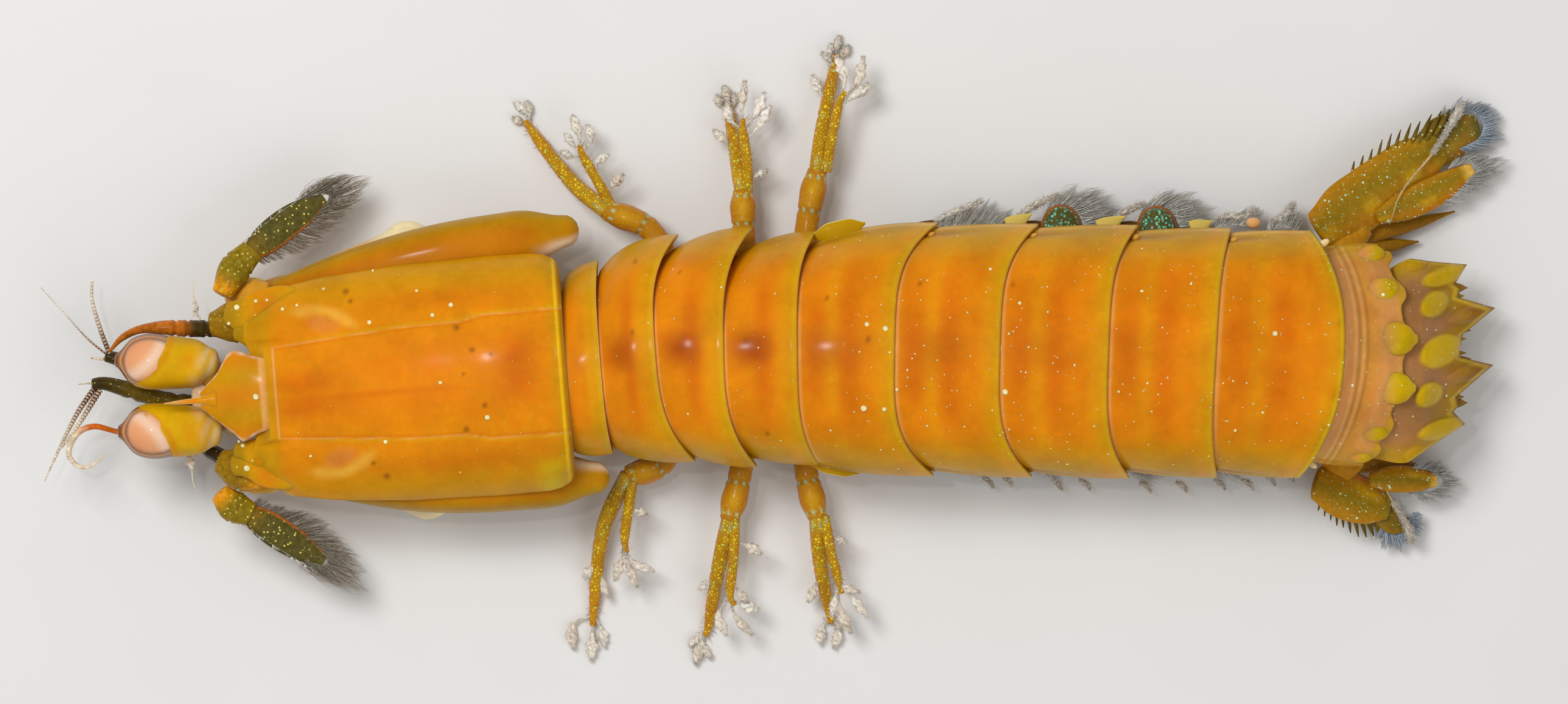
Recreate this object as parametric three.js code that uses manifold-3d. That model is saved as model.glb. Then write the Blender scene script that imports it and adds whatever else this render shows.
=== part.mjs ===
// Mantis shrimp, a smashing kind, as a still model at life size.
// Millimetres. X runs from head to tail, Y to the animal's right side, Z up.
// The floor is z = 0 and the origin lies under the middle of the whole animal.

import * as THREE from 'three';
import { mergeVertices } from 'three/addons/utils/BufferGeometryUtils.js';
import ManifoldModule from 'manifold-3d';

const wasm = await ManifoldModule();
wasm.setup();

// Driving dimensions
const GAP = 0.3;
const CARAPACE_LENGTH = 14.75;
const CARAPACE_HALF_WIDTH = 5.9;
const CARAPACE_FLOOR = 6.1;
const BELLY_HEIGHT = 2.6;
const SIDE_HEIGHT = 4.0;
const BACK_HEIGHT = 9.2;
const TRUNK_HALF_WIDTH = 6.25;
const TRUNK_SIDES = 18;
const TRUNK_LEAN = 0.09;
const CAP_SHARE = 0.85;

// The head part is turned about the neck, to the animal's left
const NECK_X = -10.65;
const NECK_Y = -0.88;
const HEAD_TURN = THREE.MathUtils.degToRad(4.56);

// Colours, as seen in life
const SHELL = new THREE.MeshStandardMaterial({ color: '#e0860f', roughness: 0.4 });
const SHELL_YELLOW = new THREE.MeshStandardMaterial({ color: '#d9a012', roughness: 0.4 });
const TAIL_SHELL = new THREE.MeshStandardMaterial({ color: '#c98540', roughness: 0.45 });
const LIMB_GOLD = new THREE.MeshStandardMaterial({ color: '#d8b020', roughness: 0.45 });
const DARK_OLIVE = new THREE.MeshStandardMaterial({ color: '#4d3f1a', roughness: 0.5 });
const CORNEA_PINK = new THREE.MeshStandardMaterial({ color: '#f0b583', roughness: 0.2 });

const point = (x, y, z) => new THREE.Vector3(x, y, z);
const { lerp, smoothstep, clamp } = THREE.MathUtils;
const UP = point(0, 0, 1);

// A smooth value from evenly spaced keys, for t from 0 to 1
function profile(keys, t) {
  if (keys.length === 1) return keys[0];
  const place = clamp(t, 0, 1) * (keys.length - 1);
  const low = Math.min(Math.floor(place), keys.length - 2);
  return lerp(keys[low], keys[low + 1], place - low);
}

// Rings of equal count, skinned into one closed surface that ends on two points.
// Upper and lower faces are split alike, so that a thin curved vane doesn't cross itself.
function skin(rings, first, last) {
  const sides = rings[0].length;
  const at = (ring, k) => 1 + ring * sides + (k % sides);
  const lastRing = rings.length - 1;
  const lastPoint = 1 + rings.length * sides;
  const index = [];
  for (let k = 0; k < sides; k += 1) {
    index.push(0, at(0, k), at(0, k + 1));
    index.push(lastPoint, at(lastRing, k + 1), at(lastRing, k));
  }
  for (let ring = 0; ring < lastRing; ring += 1) {
    for (let k = 0; k < sides; k += 1) {
      const [a, b] = [at(ring, k), at(ring, k + 1)];
      const [d, c] = [at(ring + 1, k), at(ring + 1, k + 1)];
      if (k < sides / 2) index.push(a, d, c, a, c, b);
      else index.push(a, d, b, b, d, c);
    }
  }
  return outwardGeometry([first, ...rings.flat(), last], index);
}

// A geometry from points and triangles, turned so that its faces point out
function outwardGeometry(points, index) {
  let volume = 0;
  for (let i = 0; i < index.length; i += 3) {
    const [a, b, c] = [points[index[i]], points[index[i + 1]], points[index[i + 2]]];
    volume += a.dot(b.clone().cross(c));
  }
  if (volume < 0) index.reverse();
  const geometry = new THREE.BufferGeometry();
  geometry.setFromPoints(points);
  geometry.setIndex(index);
  return geometry;
}

// One oval section: half width across, half height upwards, square when power is high
function oval(centre, across, upwards, halfWidth, halfHeight, sides, power) {
  const ring = [];
  for (let k = 0; k < sides; k += 1) {
    const angle = (2 * Math.PI * k) / sides;
    const c = Math.sign(Math.cos(angle)) * Math.abs(Math.cos(angle)) ** (2 / power);
    const s = Math.sign(Math.sin(angle)) * Math.abs(Math.sin(angle)) ** (2 / power);
    ring.push(centre.clone()
      .addScaledVector(across, c * halfWidth)
      .addScaledVector(upwards, s * halfHeight));
  }
  return ring;
}

// A limb, spine or vane: oval sections along a smooth curve.
// widths and heights are half sizes at even steps, roll turns the section about the curve,
// round is how far the ends bulge, and no point goes below the floor.
const NO_FLOOR = -99;

function limb(settings) {
  const { path, widths, heights, sides = 8, steps = 5, roll = 0, power = 2, round = 0.3 } = settings;
  const { floor = NO_FLOOR } = settings;
  const curve = new THREE.CatmullRomCurve3(path, false, 'centripetal');
  const rings = [];
  const ends = [];
  for (let step = 0; step <= steps; step += 1) {
    const t = step / steps;
    const centre = curve.getPointAt(t);
    const along = curve.getTangentAt(t);
    const across = UP.clone().cross(along).normalize();
    const upwards = along.clone().cross(across);
    across.applyAxisAngle(along, roll);
    upwards.applyAxisAngle(along, roll);
    const halfWidth = profile(widths, t);
    const halfHeight = profile(heights ?? widths, t);
    rings.push(oval(centre, across, upwards, halfWidth, halfHeight, sides, power));
    if (step === 0) ends.push(centre.clone().addScaledVector(along, -round * halfWidth));
    if (step === steps) ends.push(centre.clone().addScaledVector(along, round * halfWidth));
  }
  const geometry = skin(rings, ends[0], ends[1]);
  const place = geometry.attributes.position;
  for (let i = 0; i < place.count; i += 1) {
    place.setZ(i, Math.max(place.getZ(i), floor));
  }
  return geometry;
}

// Seeded draws, so that every build varies the locks alike
const DRAW_FACTOR = 16807;
const DRAW_MODULUS = 2147483647;
let seed = 4207;

function draw(low, high) {
  seed = (seed * DRAW_FACTOR) % DRAW_MODULUS;
  return lerp(low, high, seed / DRAW_MODULUS);
}

// One lock of fine setae: a flat tapered blade with its root sunk into what it grows from
const LOCK_SUNK = 0.35;
const LOCK_HALF_THICKNESS = 0.25;
const LOCK_ROOT_SHARE = 0.85;
const LOCK_TIP_SHARE = 0.35;
const LOCK_FLOOR = 0.02;

function lock(root, tip, { width, bend = 0, steps = 1, sides = 4 }) {
  const along = tip.clone().sub(root);
  const aside = point(-along.y, along.x, 0).multiplyScalar(bend);
  const start = root.clone().addScaledVector(along.clone().normalize(), -LOCK_SUNK);
  const middle = root.clone().lerp(tip, 0.5).add(aside);
  return limb({
    path: [start, middle, tip],
    widths: [...(steps > 1 ? [width * LOCK_ROOT_SHARE] : []), width, width * LOCK_TIP_SHARE],
    heights: [LOCK_HALF_THICKNESS, LOCK_HALF_THICKNESS * LOCK_TIP_SHARE],
    sides,
    steps,
    floor: LOCK_FLOOR,
  });
}

// A fringe of locks, from points along a root line to points along a tip line
const SHORTEST_LOCK = 0.88;
const WIDTH_CHANGE = 0.1;

function fringe({ roots, tips, count, width }) {
  const rootLine = new THREE.CatmullRomCurve3(roots, false, 'centripetal');
  const tipLine = new THREE.CatmullRomCurve3(tips, false, 'centripetal');
  const locks = [];
  for (let order = 0; order < count; order += 1) {
    const share = count > 1 ? order / (count - 1) : 0.5;
    const root = rootLine.getPointAt(share);
    const tip = root.clone().lerp(tipLine.getPointAt(share), draw(SHORTEST_LOCK, 1));
    locks.push(lock(root, tip, { width: width * draw(1 - WIDTH_CHANGE, 1 + WIDTH_CHANGE) }));
  }
  return locks;
}

// Two locks that fan out beside the tapered tuft in which a branch ends
const TUFT_SHARE = [0.64, 0.86];
const TUFT_TURN = [0.44, 0.66];
const TUFT_BEND = 0.08;

function tuft({ end, tip, width }) {
  const reach = tip.clone().sub(end);
  return [-1, 1].map((side) => {
    const turned = reach.clone().applyAxisAngle(UP, side * draw(...TUFT_TURN));
    const outer = end.clone().addScaledVector(turned, draw(...TUFT_SHARE));
    return lock(end, outer, { width, bend: -side * TUFT_BEND, steps: 2, sides: 3 });
  });
}

// An egg-shaped boss, longer along its own x
function boss(centre, halfLength, halfWidth, halfHeight, turn = 0, pitch = 0) {
  const geometry = new THREE.SphereGeometry(1, 7, 4);
  geometry.scale(halfLength, halfWidth, halfHeight);
  geometry.rotateY(pitch);
  geometry.rotateZ(turn);
  geometry.translate(centre.x, centre.y, centre.z);
  return geometry;
}

function solidOf(geometry) {
  const bare = geometry.clone();
  bare.deleteAttribute('normal');
  bare.deleteAttribute('uv');
  const merged = mergeVertices(bare, 1e-5);
  return new wasm.Manifold(new wasm.Mesh({
    numProp: 3,
    vertProperties: merged.attributes.position.array,
    triVerts: new Uint32Array(merged.index.array),
  }));
}

// The largest closed body of a solid, as a geometry
function bodyOf(solid) {
  const largest = solid.decompose().reduce((a, b) => (b.volume() > a.volume() ? b : a));
  const mesh = largest.getMesh();
  const geometry = new THREE.BufferGeometry();
  geometry.setAttribute('position', new THREE.BufferAttribute(mesh.vertProperties, 3));
  geometry.setIndex(new THREE.BufferAttribute(mesh.triVerts, 1));
  return geometry;
}

function fuse(...pieces) {
  const solids = pieces.flat().map(solidOf);
  return bodyOf(solids.reduce((whole, piece) => whole.add(piece)));
}

function cut(geometry, ...tools) {
  const solids = tools.flat().map(solidOf);
  return bodyOf(solids.reduce((whole, tool) => whole.subtract(tool), solidOf(geometry)));
}

const shrimp = new THREE.Group();
const headGroup = new THREE.Group();
headGroup.position.set(NECK_X, NECK_Y, 0);
headGroup.rotation.z = HEAD_TURN;
shrimp.add(headGroup);

function addPart(group, name, geometry, material) {
  const mesh = new THREE.Mesh(geometry, material);
  mesh.name = name;
  group.add(mesh);
}

const SIDES = [
  { tag: 'r', sign: 1 },
  { tag: 'l', sign: -1 },
];

// Trunk: the middle line bends from the head's direction into the tail's
const HEAD_SLOPE = Math.tan(HEAD_TURN);
const TAIL_SLOPE = -0.011;
const TAIL_OFFSET = 0.2;

function middleY(x) {
  const headLine = NECK_Y + HEAD_SLOPE * (x - NECK_X);
  const tailLine = TAIL_OFFSET + TAIL_SLOPE * x;
  return lerp(headLine, tailLine, smoothstep(x, -13, -5));
}

// Each somite ends on a rear line, with its side corners swept back by sweep.
// shoulder is the share of the half width at its front, tilt the slope of the line across.
const SOMITES = [
  { name: 'thoracic_somite_5', rear: -9.0, sweep: 0.2, power: 4, tilt: 0.08,
    shoulder: 0.9, halfWidth: 4.75, top: 8.4 },
  { name: 'thoracic_somite_6', rear: -6.3, sweep: 1.5, power: 3.4, tilt: 0.076,
    shoulder: 0.72, halfWidth: 5.6, top: 8.7 },
  { name: 'thoracic_somite_7', rear: -2.95, sweep: 1.5, power: 3.4, tilt: 0.02,
    shoulder: 0.72, halfWidth: 5.9, top: 8.9 },
  { name: 'thoracic_somite_8', rear: 0.65, sweep: 1.0, power: 4, tilt: 0.01,
    shoulder: 0.74, halfWidth: 5.75, top: 9.0 },
  { name: 'abdominal_somite_1', rear: 5.4, sweep: 2.1, power: 4, tilt: -0.02,
    shoulder: 0.72, halfWidth: TRUNK_HALF_WIDTH, top: BACK_HEIGHT },
  { name: 'abdominal_somite_2', rear: 10.55, sweep: 1.85, power: 4, tilt: -0.03,
    shoulder: 0.9, halfWidth: TRUNK_HALF_WIDTH, top: BACK_HEIGHT },
  { name: 'abdominal_somite_3', rear: 15.85, sweep: 1.4, power: 4, tilt: -0.04,
    shoulder: 0.92, halfWidth: TRUNK_HALF_WIDTH, top: BACK_HEIGHT },
  { name: 'abdominal_somite_4', rear: 21.1, sweep: 0.6, power: 4, tilt: -0.06,
    shoulder: 0.93, halfWidth: TRUNK_HALF_WIDTH - 0.1, top: BACK_HEIGHT - 0.1 },
  { name: 'abdominal_somite_5', rear: 27.4, sweep: -1.7, power: 2.4, tilt: -0.05,
    shoulder: 0.94, halfWidth: TRUNK_HALF_WIDTH - 0.15, top: BACK_HEIGHT - 0.6 },
  { name: 'abdominal_somite_6', rear: 30.5, sweep: -1.5, power: 2, tilt: -0.07,
    shoulder: 0.9, halfWidth: 5.5, top: BACK_HEIGHT - 2.0 },
];
const SOMITE_STEP = 0.35;
const TOP_RISE = 2.5;
const SIDE_SPREAD = 0.65;
const SOMITE_STATIONS = [0, 0.3, 1];
const SECTION_POWER = 2.25;
const BELLY_POWER = 3.2;
const TAIL_BELLY_RISE = 0.6;
const CORNER_SPREAD = 1.9;
const CAP_ROOM = 1.7;

function rearLine(somite, y) {
  const side = (y - middleY(somite.rear)) / somite.halfWidth;
  const swept = somite.sweep * Math.min(1, Math.abs(side)) ** somite.power;
  return somite.rear + swept - somite.tilt * side * somite.halfWidth;
}

// The gap along x grows where the line before is swept, so that it stays as wide across it
function cornerRoom(somite, y) {
  if (!somite) return 1;
  const side = Math.min(1, Math.abs(y - middleY(somite.rear)) / somite.halfWidth);
  const slope = (somite.sweep * somite.power * side ** (somite.power - 1)) / somite.halfWidth;
  return 1 + CORNER_SPREAD * (Math.sqrt(1 + slope * slope) - 1);
}

function neckLine(y) {
  return NECK_X - HEAD_SLOPE * (y - NECK_Y);
}

function bellyHeight(x) {
  return BELLY_HEIGHT + TAIL_BELLY_RISE * smoothstep(x, 23, 28);
}

function somiteGeometry(somite, before) {
  const frontLine = (y) => (before ? rearLine(before, y) : neckLine(y)) + GAP * cornerRoom(before, y);
  const frontX = (before ? before.rear : NECK_X) + GAP;
  const frontTop = (before ? before.top : somite.top) - SOMITE_STEP;
  const rings = SOMITE_STATIONS.map((station) => {
    const x = lerp(frontX, somite.rear, station);
    const spread = Math.sin((station * Math.PI) / 2) ** SIDE_SPREAD;
    const halfWidth = somite.halfWidth * lerp(somite.shoulder, 1, spread);
    const top = lerp(frontTop, somite.top, Math.min(1, station * TOP_RISE));
    const belly = bellyHeight(x);
    const ring = [];
    for (let k = 0; k < TRUNK_SIDES; k += 1) {
      const angle = (2 * Math.PI * k) / TRUNK_SIDES;
      const upper = Math.sin(angle) >= 0;
      const power = upper ? SECTION_POWER : BELLY_POWER;
      const height = upper ? top - SIDE_HEIGHT : SIDE_HEIGHT - belly;
      const c = Math.sign(Math.cos(angle)) * Math.abs(Math.cos(angle)) ** (2 / power);
      const s = Math.sign(Math.sin(angle)) * Math.abs(Math.sin(angle)) ** (2 / power);
      const z = SIDE_HEIGHT + height * s;
      const y = middleY(x) + halfWidth * c - TRUNK_LEAN * (z - SIDE_HEIGHT);
      ring.push(point(lerp(frontLine(y), rearLine(somite, y), station), y, z));
    }
    return ring;
  });
  const front = rings[0];
  const rear = rings[rings.length - 1];
  const frontCap = innerRing(front, before, GAP * CAP_ROOM);
  const rearCap = innerRing(rear, somite, 0);
  return skin([frontCap.ring, ...rings, rearCap.ring], frontCap.centre, rearCap.centre);
}

// The ring inside an end face: flat under swept corners, on the line itself where it bulges
function innerRing(rim, somite, gap) {
  const centre = rim.reduce((sum, p) => sum.add(p), point(0, 0, 0)).divideScalar(rim.length);
  const faceX = (y) => {
    if (!somite) return neckLine(y) + gap;
    if (somite.sweep < 0) return rearLine(somite, y) + gap;
    return somite.rear - somite.tilt * (y - middleY(somite.rear)) + gap;
  };
  const ring = rim.map((p) => {
    const inner = centre.clone().lerp(p, CAP_SHARE);
    inner.x = faceX(inner.y);
    return inner;
  });
  centre.x = faceX(centre.y);
  return { ring, centre };
}

// Bosses on the rear of the sixth abdominal somite: share of the half width, half sizes
const TAIL_BOSSES = [
  { across: -1.75, rearX: 29.9, z: 6.55, length: 1.3, width: 0.85 },
  { across: 0.75, rearX: 30.1, z: 6.6, length: 1.3, width: 0.85 },
  { across: -3.75, rearX: 28.9, z: 5.75, length: 1.3, width: 0.75 },
  { across: 2.95, rearX: 29.2, z: 5.9, length: 1.3, width: 0.75 },
];

SOMITES.forEach((somite, order) => {
  const body = somiteGeometry(somite, SOMITES[order - 1]);
  const material = order < 9 ? SHELL : TAIL_SHELL;
  if (somite.name === 'abdominal_somite_1') {
    addPart(shrimp, somite.name, fuse(body, ...sidePlates()), material);
  } else if (somite.name === 'abdominal_somite_6') {
    const bosses = TAIL_BOSSES.map((b) => boss(
      point(b.rearX - 0.6, b.across, b.z), b.length, b.width, 0.65, 0, 0.35));
    addPart(shrimp, somite.name, fuse(body, ...bosses), material);
  } else {
    addPart(shrimp, somite.name, body, material);
  }
});

// The small oval plate at each front corner of the first abdominal somite
function sidePlates() {
  return SIDES.map(({ sign }) => {
    const y = sign > 0 ? 5.85 : -5.5;
    return limb({
      path: [point(1.75, y - sign * 0.55, 4.6), point(2.8, y, 4.5), point(3.9, y + sign * 0.3, 4.4)],
      widths: [0.35, 0.62, 0.3],
      heights: [0.25, 0.35, 0.25],
      steps: 3,
      sides: 6,
      roll: sign * -0.5,
    });
  });
}

// Carapace: a shield with a flat underside, in the head's own frame
const CARAPACE_STATIONS = [
  { share: 0, halfWidth: 0.72, top: 7.35 },
  { share: 0.04, halfWidth: 0.83, top: 7.5 },
  { share: 0.2, halfWidth: 0.92, top: 7.95 },
  { share: 0.45, halfWidth: 0.98, top: 8.45 },
  { share: 0.75, halfWidth: 1, top: 8.75 },
  { share: 0.92, halfWidth: 0.975, top: 8.75 },
  { share: 0.98, halfWidth: 0.92, top: 8.7 },
  { share: 1, halfWidth: 0.85, top: 8.62 },
];
const CARAPACE_EDGE = 0.5;
const GROOVE_SHARE = 0.5;
const GROOVE_DEPTH = 0.16;

function carapaceGeometry() {
  // shares of the half width across the top, with one point in each long groove
  const across = [1, 0.965, 0.86, 0.7, 0.56, GROOVE_SHARE, 0.44, 0.2, 0];
  const shares = [...across, ...across.slice(0, -1).reverse().map((s) => -s)];
  const rings = CARAPACE_STATIONS.map((station) => {
    const x = -CARAPACE_LENGTH * (1 - station.share);
    const halfWidth = CARAPACE_HALF_WIDTH * station.halfWidth;
    const rise = station.top - CARAPACE_FLOOR - CARAPACE_EDGE;
    const ring = shares.map((share) => {
      const arch = (1 - Math.abs(share) ** 2.4) ** (1 / 2.4);
      const groove = Math.abs(share) === GROOVE_SHARE ? GROOVE_DEPTH : 0;
      const middle = Math.abs(share) < GROOVE_SHARE ? 0.08 : 0;
      const z = CARAPACE_FLOOR + CARAPACE_EDGE + rise * arch - groove + middle;
      return point(x, share * halfWidth, z);
    });
    for (const share of [-0.96, -0.5, 0, 0.5, 0.96]) {
      ring.push(point(x, share * halfWidth, CARAPACE_FLOOR));
    }
    return ring;
  });
  const middleZ = CARAPACE_FLOOR + 1;
  return skin(rings, point(-CARAPACE_LENGTH, 0, middleZ), point(0, 0, middleZ));
}

addPart(headGroup, 'carapace', carapaceGeometry(), SHELL);

// Rostral plate with its long middle spine
const ROSTRUM_REAR = -CARAPACE_LENGTH - GAP;
const ROSTRUM_FRONT = -17.2;
const SPINE_TIP = -19.84;
const ROSTRUM_HALF_WIDTH = 2.14;

addPart(headGroup, 'rostral_plate', fuse(
  limb({
    path: [point(ROSTRUM_REAR, 0, 6.85), point(-16.1, 0, 6.8), point(ROSTRUM_FRONT, 0, 6.75)],
    widths: [2.05, ROSTRUM_HALF_WIDTH, ROSTRUM_HALF_WIDTH - 0.1, 1.2],
    heights: [0.4, 0.38, 0.35, 0.3],
    power: 2.6,
    sides: 12,
    steps: 3,
    round: 0,
  }),
  limb({
    path: [point(-16.6, -0.05, 6.85), point(-18.2, -0.07, 6.95), point(SPINE_TIP, -0.08, 7.05)],
    widths: [0.55, 0.33, 0.12],
    heights: [0.3, 0.25, 0.12],
    steps: 3,
    sides: 6,
  }),
), SHELL_YELLOW);

// The body under the carapace, which carries eyes, feelers and front limbs
const CORE_FRONT = -16.9;
const CORE_REAR = -0.05;

addPart(headGroup, 'head', limb({
  path: [point(CORE_FRONT, 0, 4.45), point(-12.5, 0, 4.2), point(-6, 0, 4.2), point(CORE_REAR, 0, 4.2)],
  widths: [2.4, 2.2, 2.6, 2.9, 3.1, 3.1, 3.1],
  heights: [1.3, 1.45, 1.6, 1.6, 1.6, 1.6, 1.6],
  power: 3,
  sides: 12,
  steps: 6,
  round: 0,
}), SHELL_YELLOW);

// Eyes: a stalk and a cornea, parted by a slanting plane
const EYES = {
  r: { base: point(-28.2, -0.6, 5.3), tip: point(-32.65, -0.4, 5.75), parting: point(-31.1, -0.4, 5.7) },
  l: { base: point(-28.05, -3.85, 5.3), tip: point(-32.5, -3.92, 5.75), parting: point(-30.9, -3.9, 5.7) },
};
const EYE_WIDTHS = [0.85, 1.2, 1.26, 1.3, 1.36, 1.36, 1.22, 0.8];
const PARTING_SLANT = THREE.MathUtils.degToRad(40);
const EYE_UPTURN = 0.12;

function halfSpace(through, outward) {
  const geometry = new THREE.BoxGeometry(20, 20, 20);
  geometry.translate(10, 0, 0);
  geometry.applyQuaternion(new THREE.Quaternion().setFromUnitVectors(point(1, 0, 0), outward));
  geometry.translate(through.x, through.y, through.z);
  return geometry;
}

for (const { tag, sign } of SIDES) {
  const eye = EYES[tag];
  const whole = limb({ path: [eye.base, eye.tip], widths: EYE_WIDTHS, sides: 11, steps: 7, round: 0.35 });
  const forward = point(-Math.cos(PARTING_SLANT), sign * Math.sin(PARTING_SLANT), EYE_UPTURN).normalize();
  const behind = forward.clone().negate();
  const corneaBase = eye.parting.clone().addScaledVector(forward, GAP);
  addPart(shrimp, `eyestalk_${tag}`, cut(whole, halfSpace(eye.parting, forward)), SHELL_YELLOW);
  addPart(shrimp, `cornea_${tag}`, cut(whole, halfSpace(corneaBase, behind)), CORNEA_PINK);
}

// Antennules: a jointed stem with three lashes each
const ANTENNULES = {
  r: {
    stem: [point(-28.0, -1.3, 3.75), point(-30.8, -0.9, 3.5), point(-33.4, -0.45, 3.5)],
    lashes: [
      [point(-33.2, -0.4, 3.6), point(-33.7, 1.0, 3.8), point(-34.05, 2.3, 3.8), point(-34.2, 3.5, 3.7)],
      [point(-33.3, -0.4, 3.4), point(-35.0, 1.2, 3.3), point(-36.8, 3.2, 3.1)],
      [point(-33.2, -0.5, 3.4), point(-34.3, -0.55, 3.1), point(-35.4, -0.3, 2.9)],
    ],
  },
  l: {
    stem: [point(-27.9, -2.75, 4.0), point(-31.0, -2.25, 4.2), point(-34.1, -1.65, 4.2)],
    lashes: [
      [point(-33.9, -1.75, 4.1), point(-34.9, -3.0, 3.9), point(-35.7, -4.3, 3.6), point(-36.75, -6.8, 3.2)],
      [point(-33.9, -1.7, 4.2), point(-34.6, -2.6, 4.3), point(-35.3, -3.7, 4.2)],
      [point(-33.9, -1.6, 4.2), point(-34.9, -1.75, 4.1), point(-35.9, -2.4, 3.9)],
    ],
  },
};

for (const { tag } of SIDES) {
  const { stem, lashes } = ANTENNULES[tag];
  const stemPiece = limb({ path: stem, widths: [0.4, 0.42, 0.38, 0.42, 0.36], sides: 7, steps: 5 });
  const lashPieces = lashes.map((path) => limb({
    path, widths: [0.27, 0.24, 0.2, 0.12], sides: 4, steps: 5, round: 0.4 }));
  addPart(shrimp, `antennule_${tag}`, fuse(stemPiece, ...lashPieces), DARK_OLIVE);
}

// Antennae: a broad base piece on the head, and a stem that runs out into one long lash
const ANTENNAE = {
  r: {
    base: [point(-25.9, 1.6, 5.0), point(-27.2, 1.48, 4.95), point(-28.2, 1.42, 4.8)],
    lash: [point(-27.8, 1.35, 4.4), point(-29.2, 1.4, 4.2), point(-30.9, 1.3, 4.2), point(-32.2, 1.1, 4.3),
      point(-33.3, 0.6, 4.5), point(-34.1, -0.3, 4.7)],
    lashWidths: [0.42, 0.42, 0.4, 0.28, 0.25, 0.2, 0.1],
    lashSteps: 9,
  },
  l: {
    base: [point(-25.7, -5.98, 5.0), point(-26.8, -5.76, 4.95), point(-27.8, -5.4, 4.8)],
    lash: [point(-27.55, -5.3, 4.5), point(-28.8, -4.7, 3.75), point(-30.6, -4.35, 3.6),
      point(-32.9, -3.95, 3.9), point(-34.1, -3.75, 4.2), point(-35.0, -4.1, 4.3), point(-35.3, -4.85, 4.3),
      point(-34.9, -5.5, 4.2), point(-34.3, -5.65, 4.1), point(-33.5, -5.05, 4.0)],
    lashWidths: [0.42, 0.4, 0.28, 0.26, 0.26, 0.24, 0.2, 0.1],
    lashSteps: 15,
  },
};

for (const { tag } of SIDES) {
  const { base, lash, lashWidths, lashSteps } = ANTENNAE[tag];
  addPart(shrimp, `antenna_${tag}`, fuse(
    limb({ path: base, widths: [0.9, 1.05, 0.95, 0.7], heights: [0.6, 0.65, 0.6, 0.5], sides: 7, steps: 3 }),
    limb({ path: lash, widths: lashWidths, sides: 5, steps: lashSteps }),
  ), DARK_OLIVE);
}

// Antennal scales: a short base, an oval blade and the fringe round its tip and inner edge
const SCALES = {
  r: {
    base: [point(-27.7, 2.9, 4.5), point(-27.1, 4.1, 4.2), point(-26.3, 5.0, 4.0)],
    blade: [point(-26.6, 4.7, 4.0), point(-24.7, 6.3, 3.6), point(-22.8, 7.6, 3.1)],
    roots: [point(-23.4, 7.6, 3.1), point(-22.7, 7.75, 3.0), point(-22.8, 7.2, 3.1), point(-24.0, 6.2, 3.4),
      point(-25.5, 5.1, 3.7)],
    tips: [point(-21.6, 9.05, 2.5), point(-20.2, 8.9, 2.4), point(-20.7, 7.45, 2.5), point(-22.6, 5.65, 2.9),
      point(-24.9, 4.75, 3.4)],
  },
  l: {
    base: [point(-27.8, -7.0, 4.5), point(-27.2, -7.6, 4.2), point(-26.4, -8.0, 4.0)],
    blade: [point(-26.7, -7.8, 4.0), point(-24.8, -9.1, 3.6), point(-22.8, -10.35, 3.1)],
    roots: [point(-23.4, -10.3, 3.1), point(-22.7, -10.4, 3.0), point(-22.9, -9.9, 3.1),
      point(-24.2, -9.0, 3.4), point(-25.8, -7.9, 3.7)],
    tips: [point(-21.5, -11.9, 2.5), point(-20.4, -12.1, 2.4), point(-20.8, -10.2, 2.5),
      point(-22.6, -8.35, 2.9), point(-24.8, -7.75, 3.4)],
  },
};
const SCALE_LOCKS = 10;
const SCALE_LOCK_WIDTH = 0.19;

for (const { tag } of SIDES) {
  const { base, blade, roots, tips } = SCALES[tag];
  addPart(shrimp, `antennal_scale_${tag}`, fuse(
    limb({ path: base, widths: [0.6, 0.8, 0.65], heights: [0.4, 0.45, 0.35], sides: 8, steps: 3 }),
    limb({ path: blade, widths: [0.5, 0.72, 0.72, 0.35], heights: [0.3, 0.3, 0.27, 0.24], steps: 5 }),
    ...fringe({ roots, tips, count: SCALE_LOCKS, width: SCALE_LOCK_WIDTH }),
  ), DARK_OLIVE);
}

// Raptorial limbs, in the head's frame: the arm lies beside the carapace with its inner end behind,
// the striking segment is folded back under it and the finger along that, heel outwards
const RAPTORIAL = {
  r: {
    arm: [point(0.35, 6.85, 4.1), point(-6.8, 6.1, 4.1), point(-13.9, 4.9, 3.9)],
    heelY: 7.19,
    handY: 4.95,
  },
  l: {
    arm: [point(0.9, -5.4, 4.1), point(-7.9, -5.0, 4.1), point(-13.9, -4.0, 3.9)],
    heelY: -6.02,
    handY: -3.7,
  },
};
const ARM_WIDTHS = [0.8, 1.35, 1.45, 1.48, 1.45, 1.35, 1.2, 1.0, 0.75];
const ARM_HEIGHTS = [0.9, 1.45, 1.6, 1.6, 1.55, 1.5, 1.4, 1.2, 0.85];
const SHOULDER_X = -1.7;
const SHOULDER_SUNK = 0.7;
const SHOULDER_INNER = 3.42;
const SHOULDER_HEIGHT = 4.2;
const WRIST_FRONT = -16.0;
const WRIST_ROOM = 0.88;
const HEEL_X = -7.1;

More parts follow.
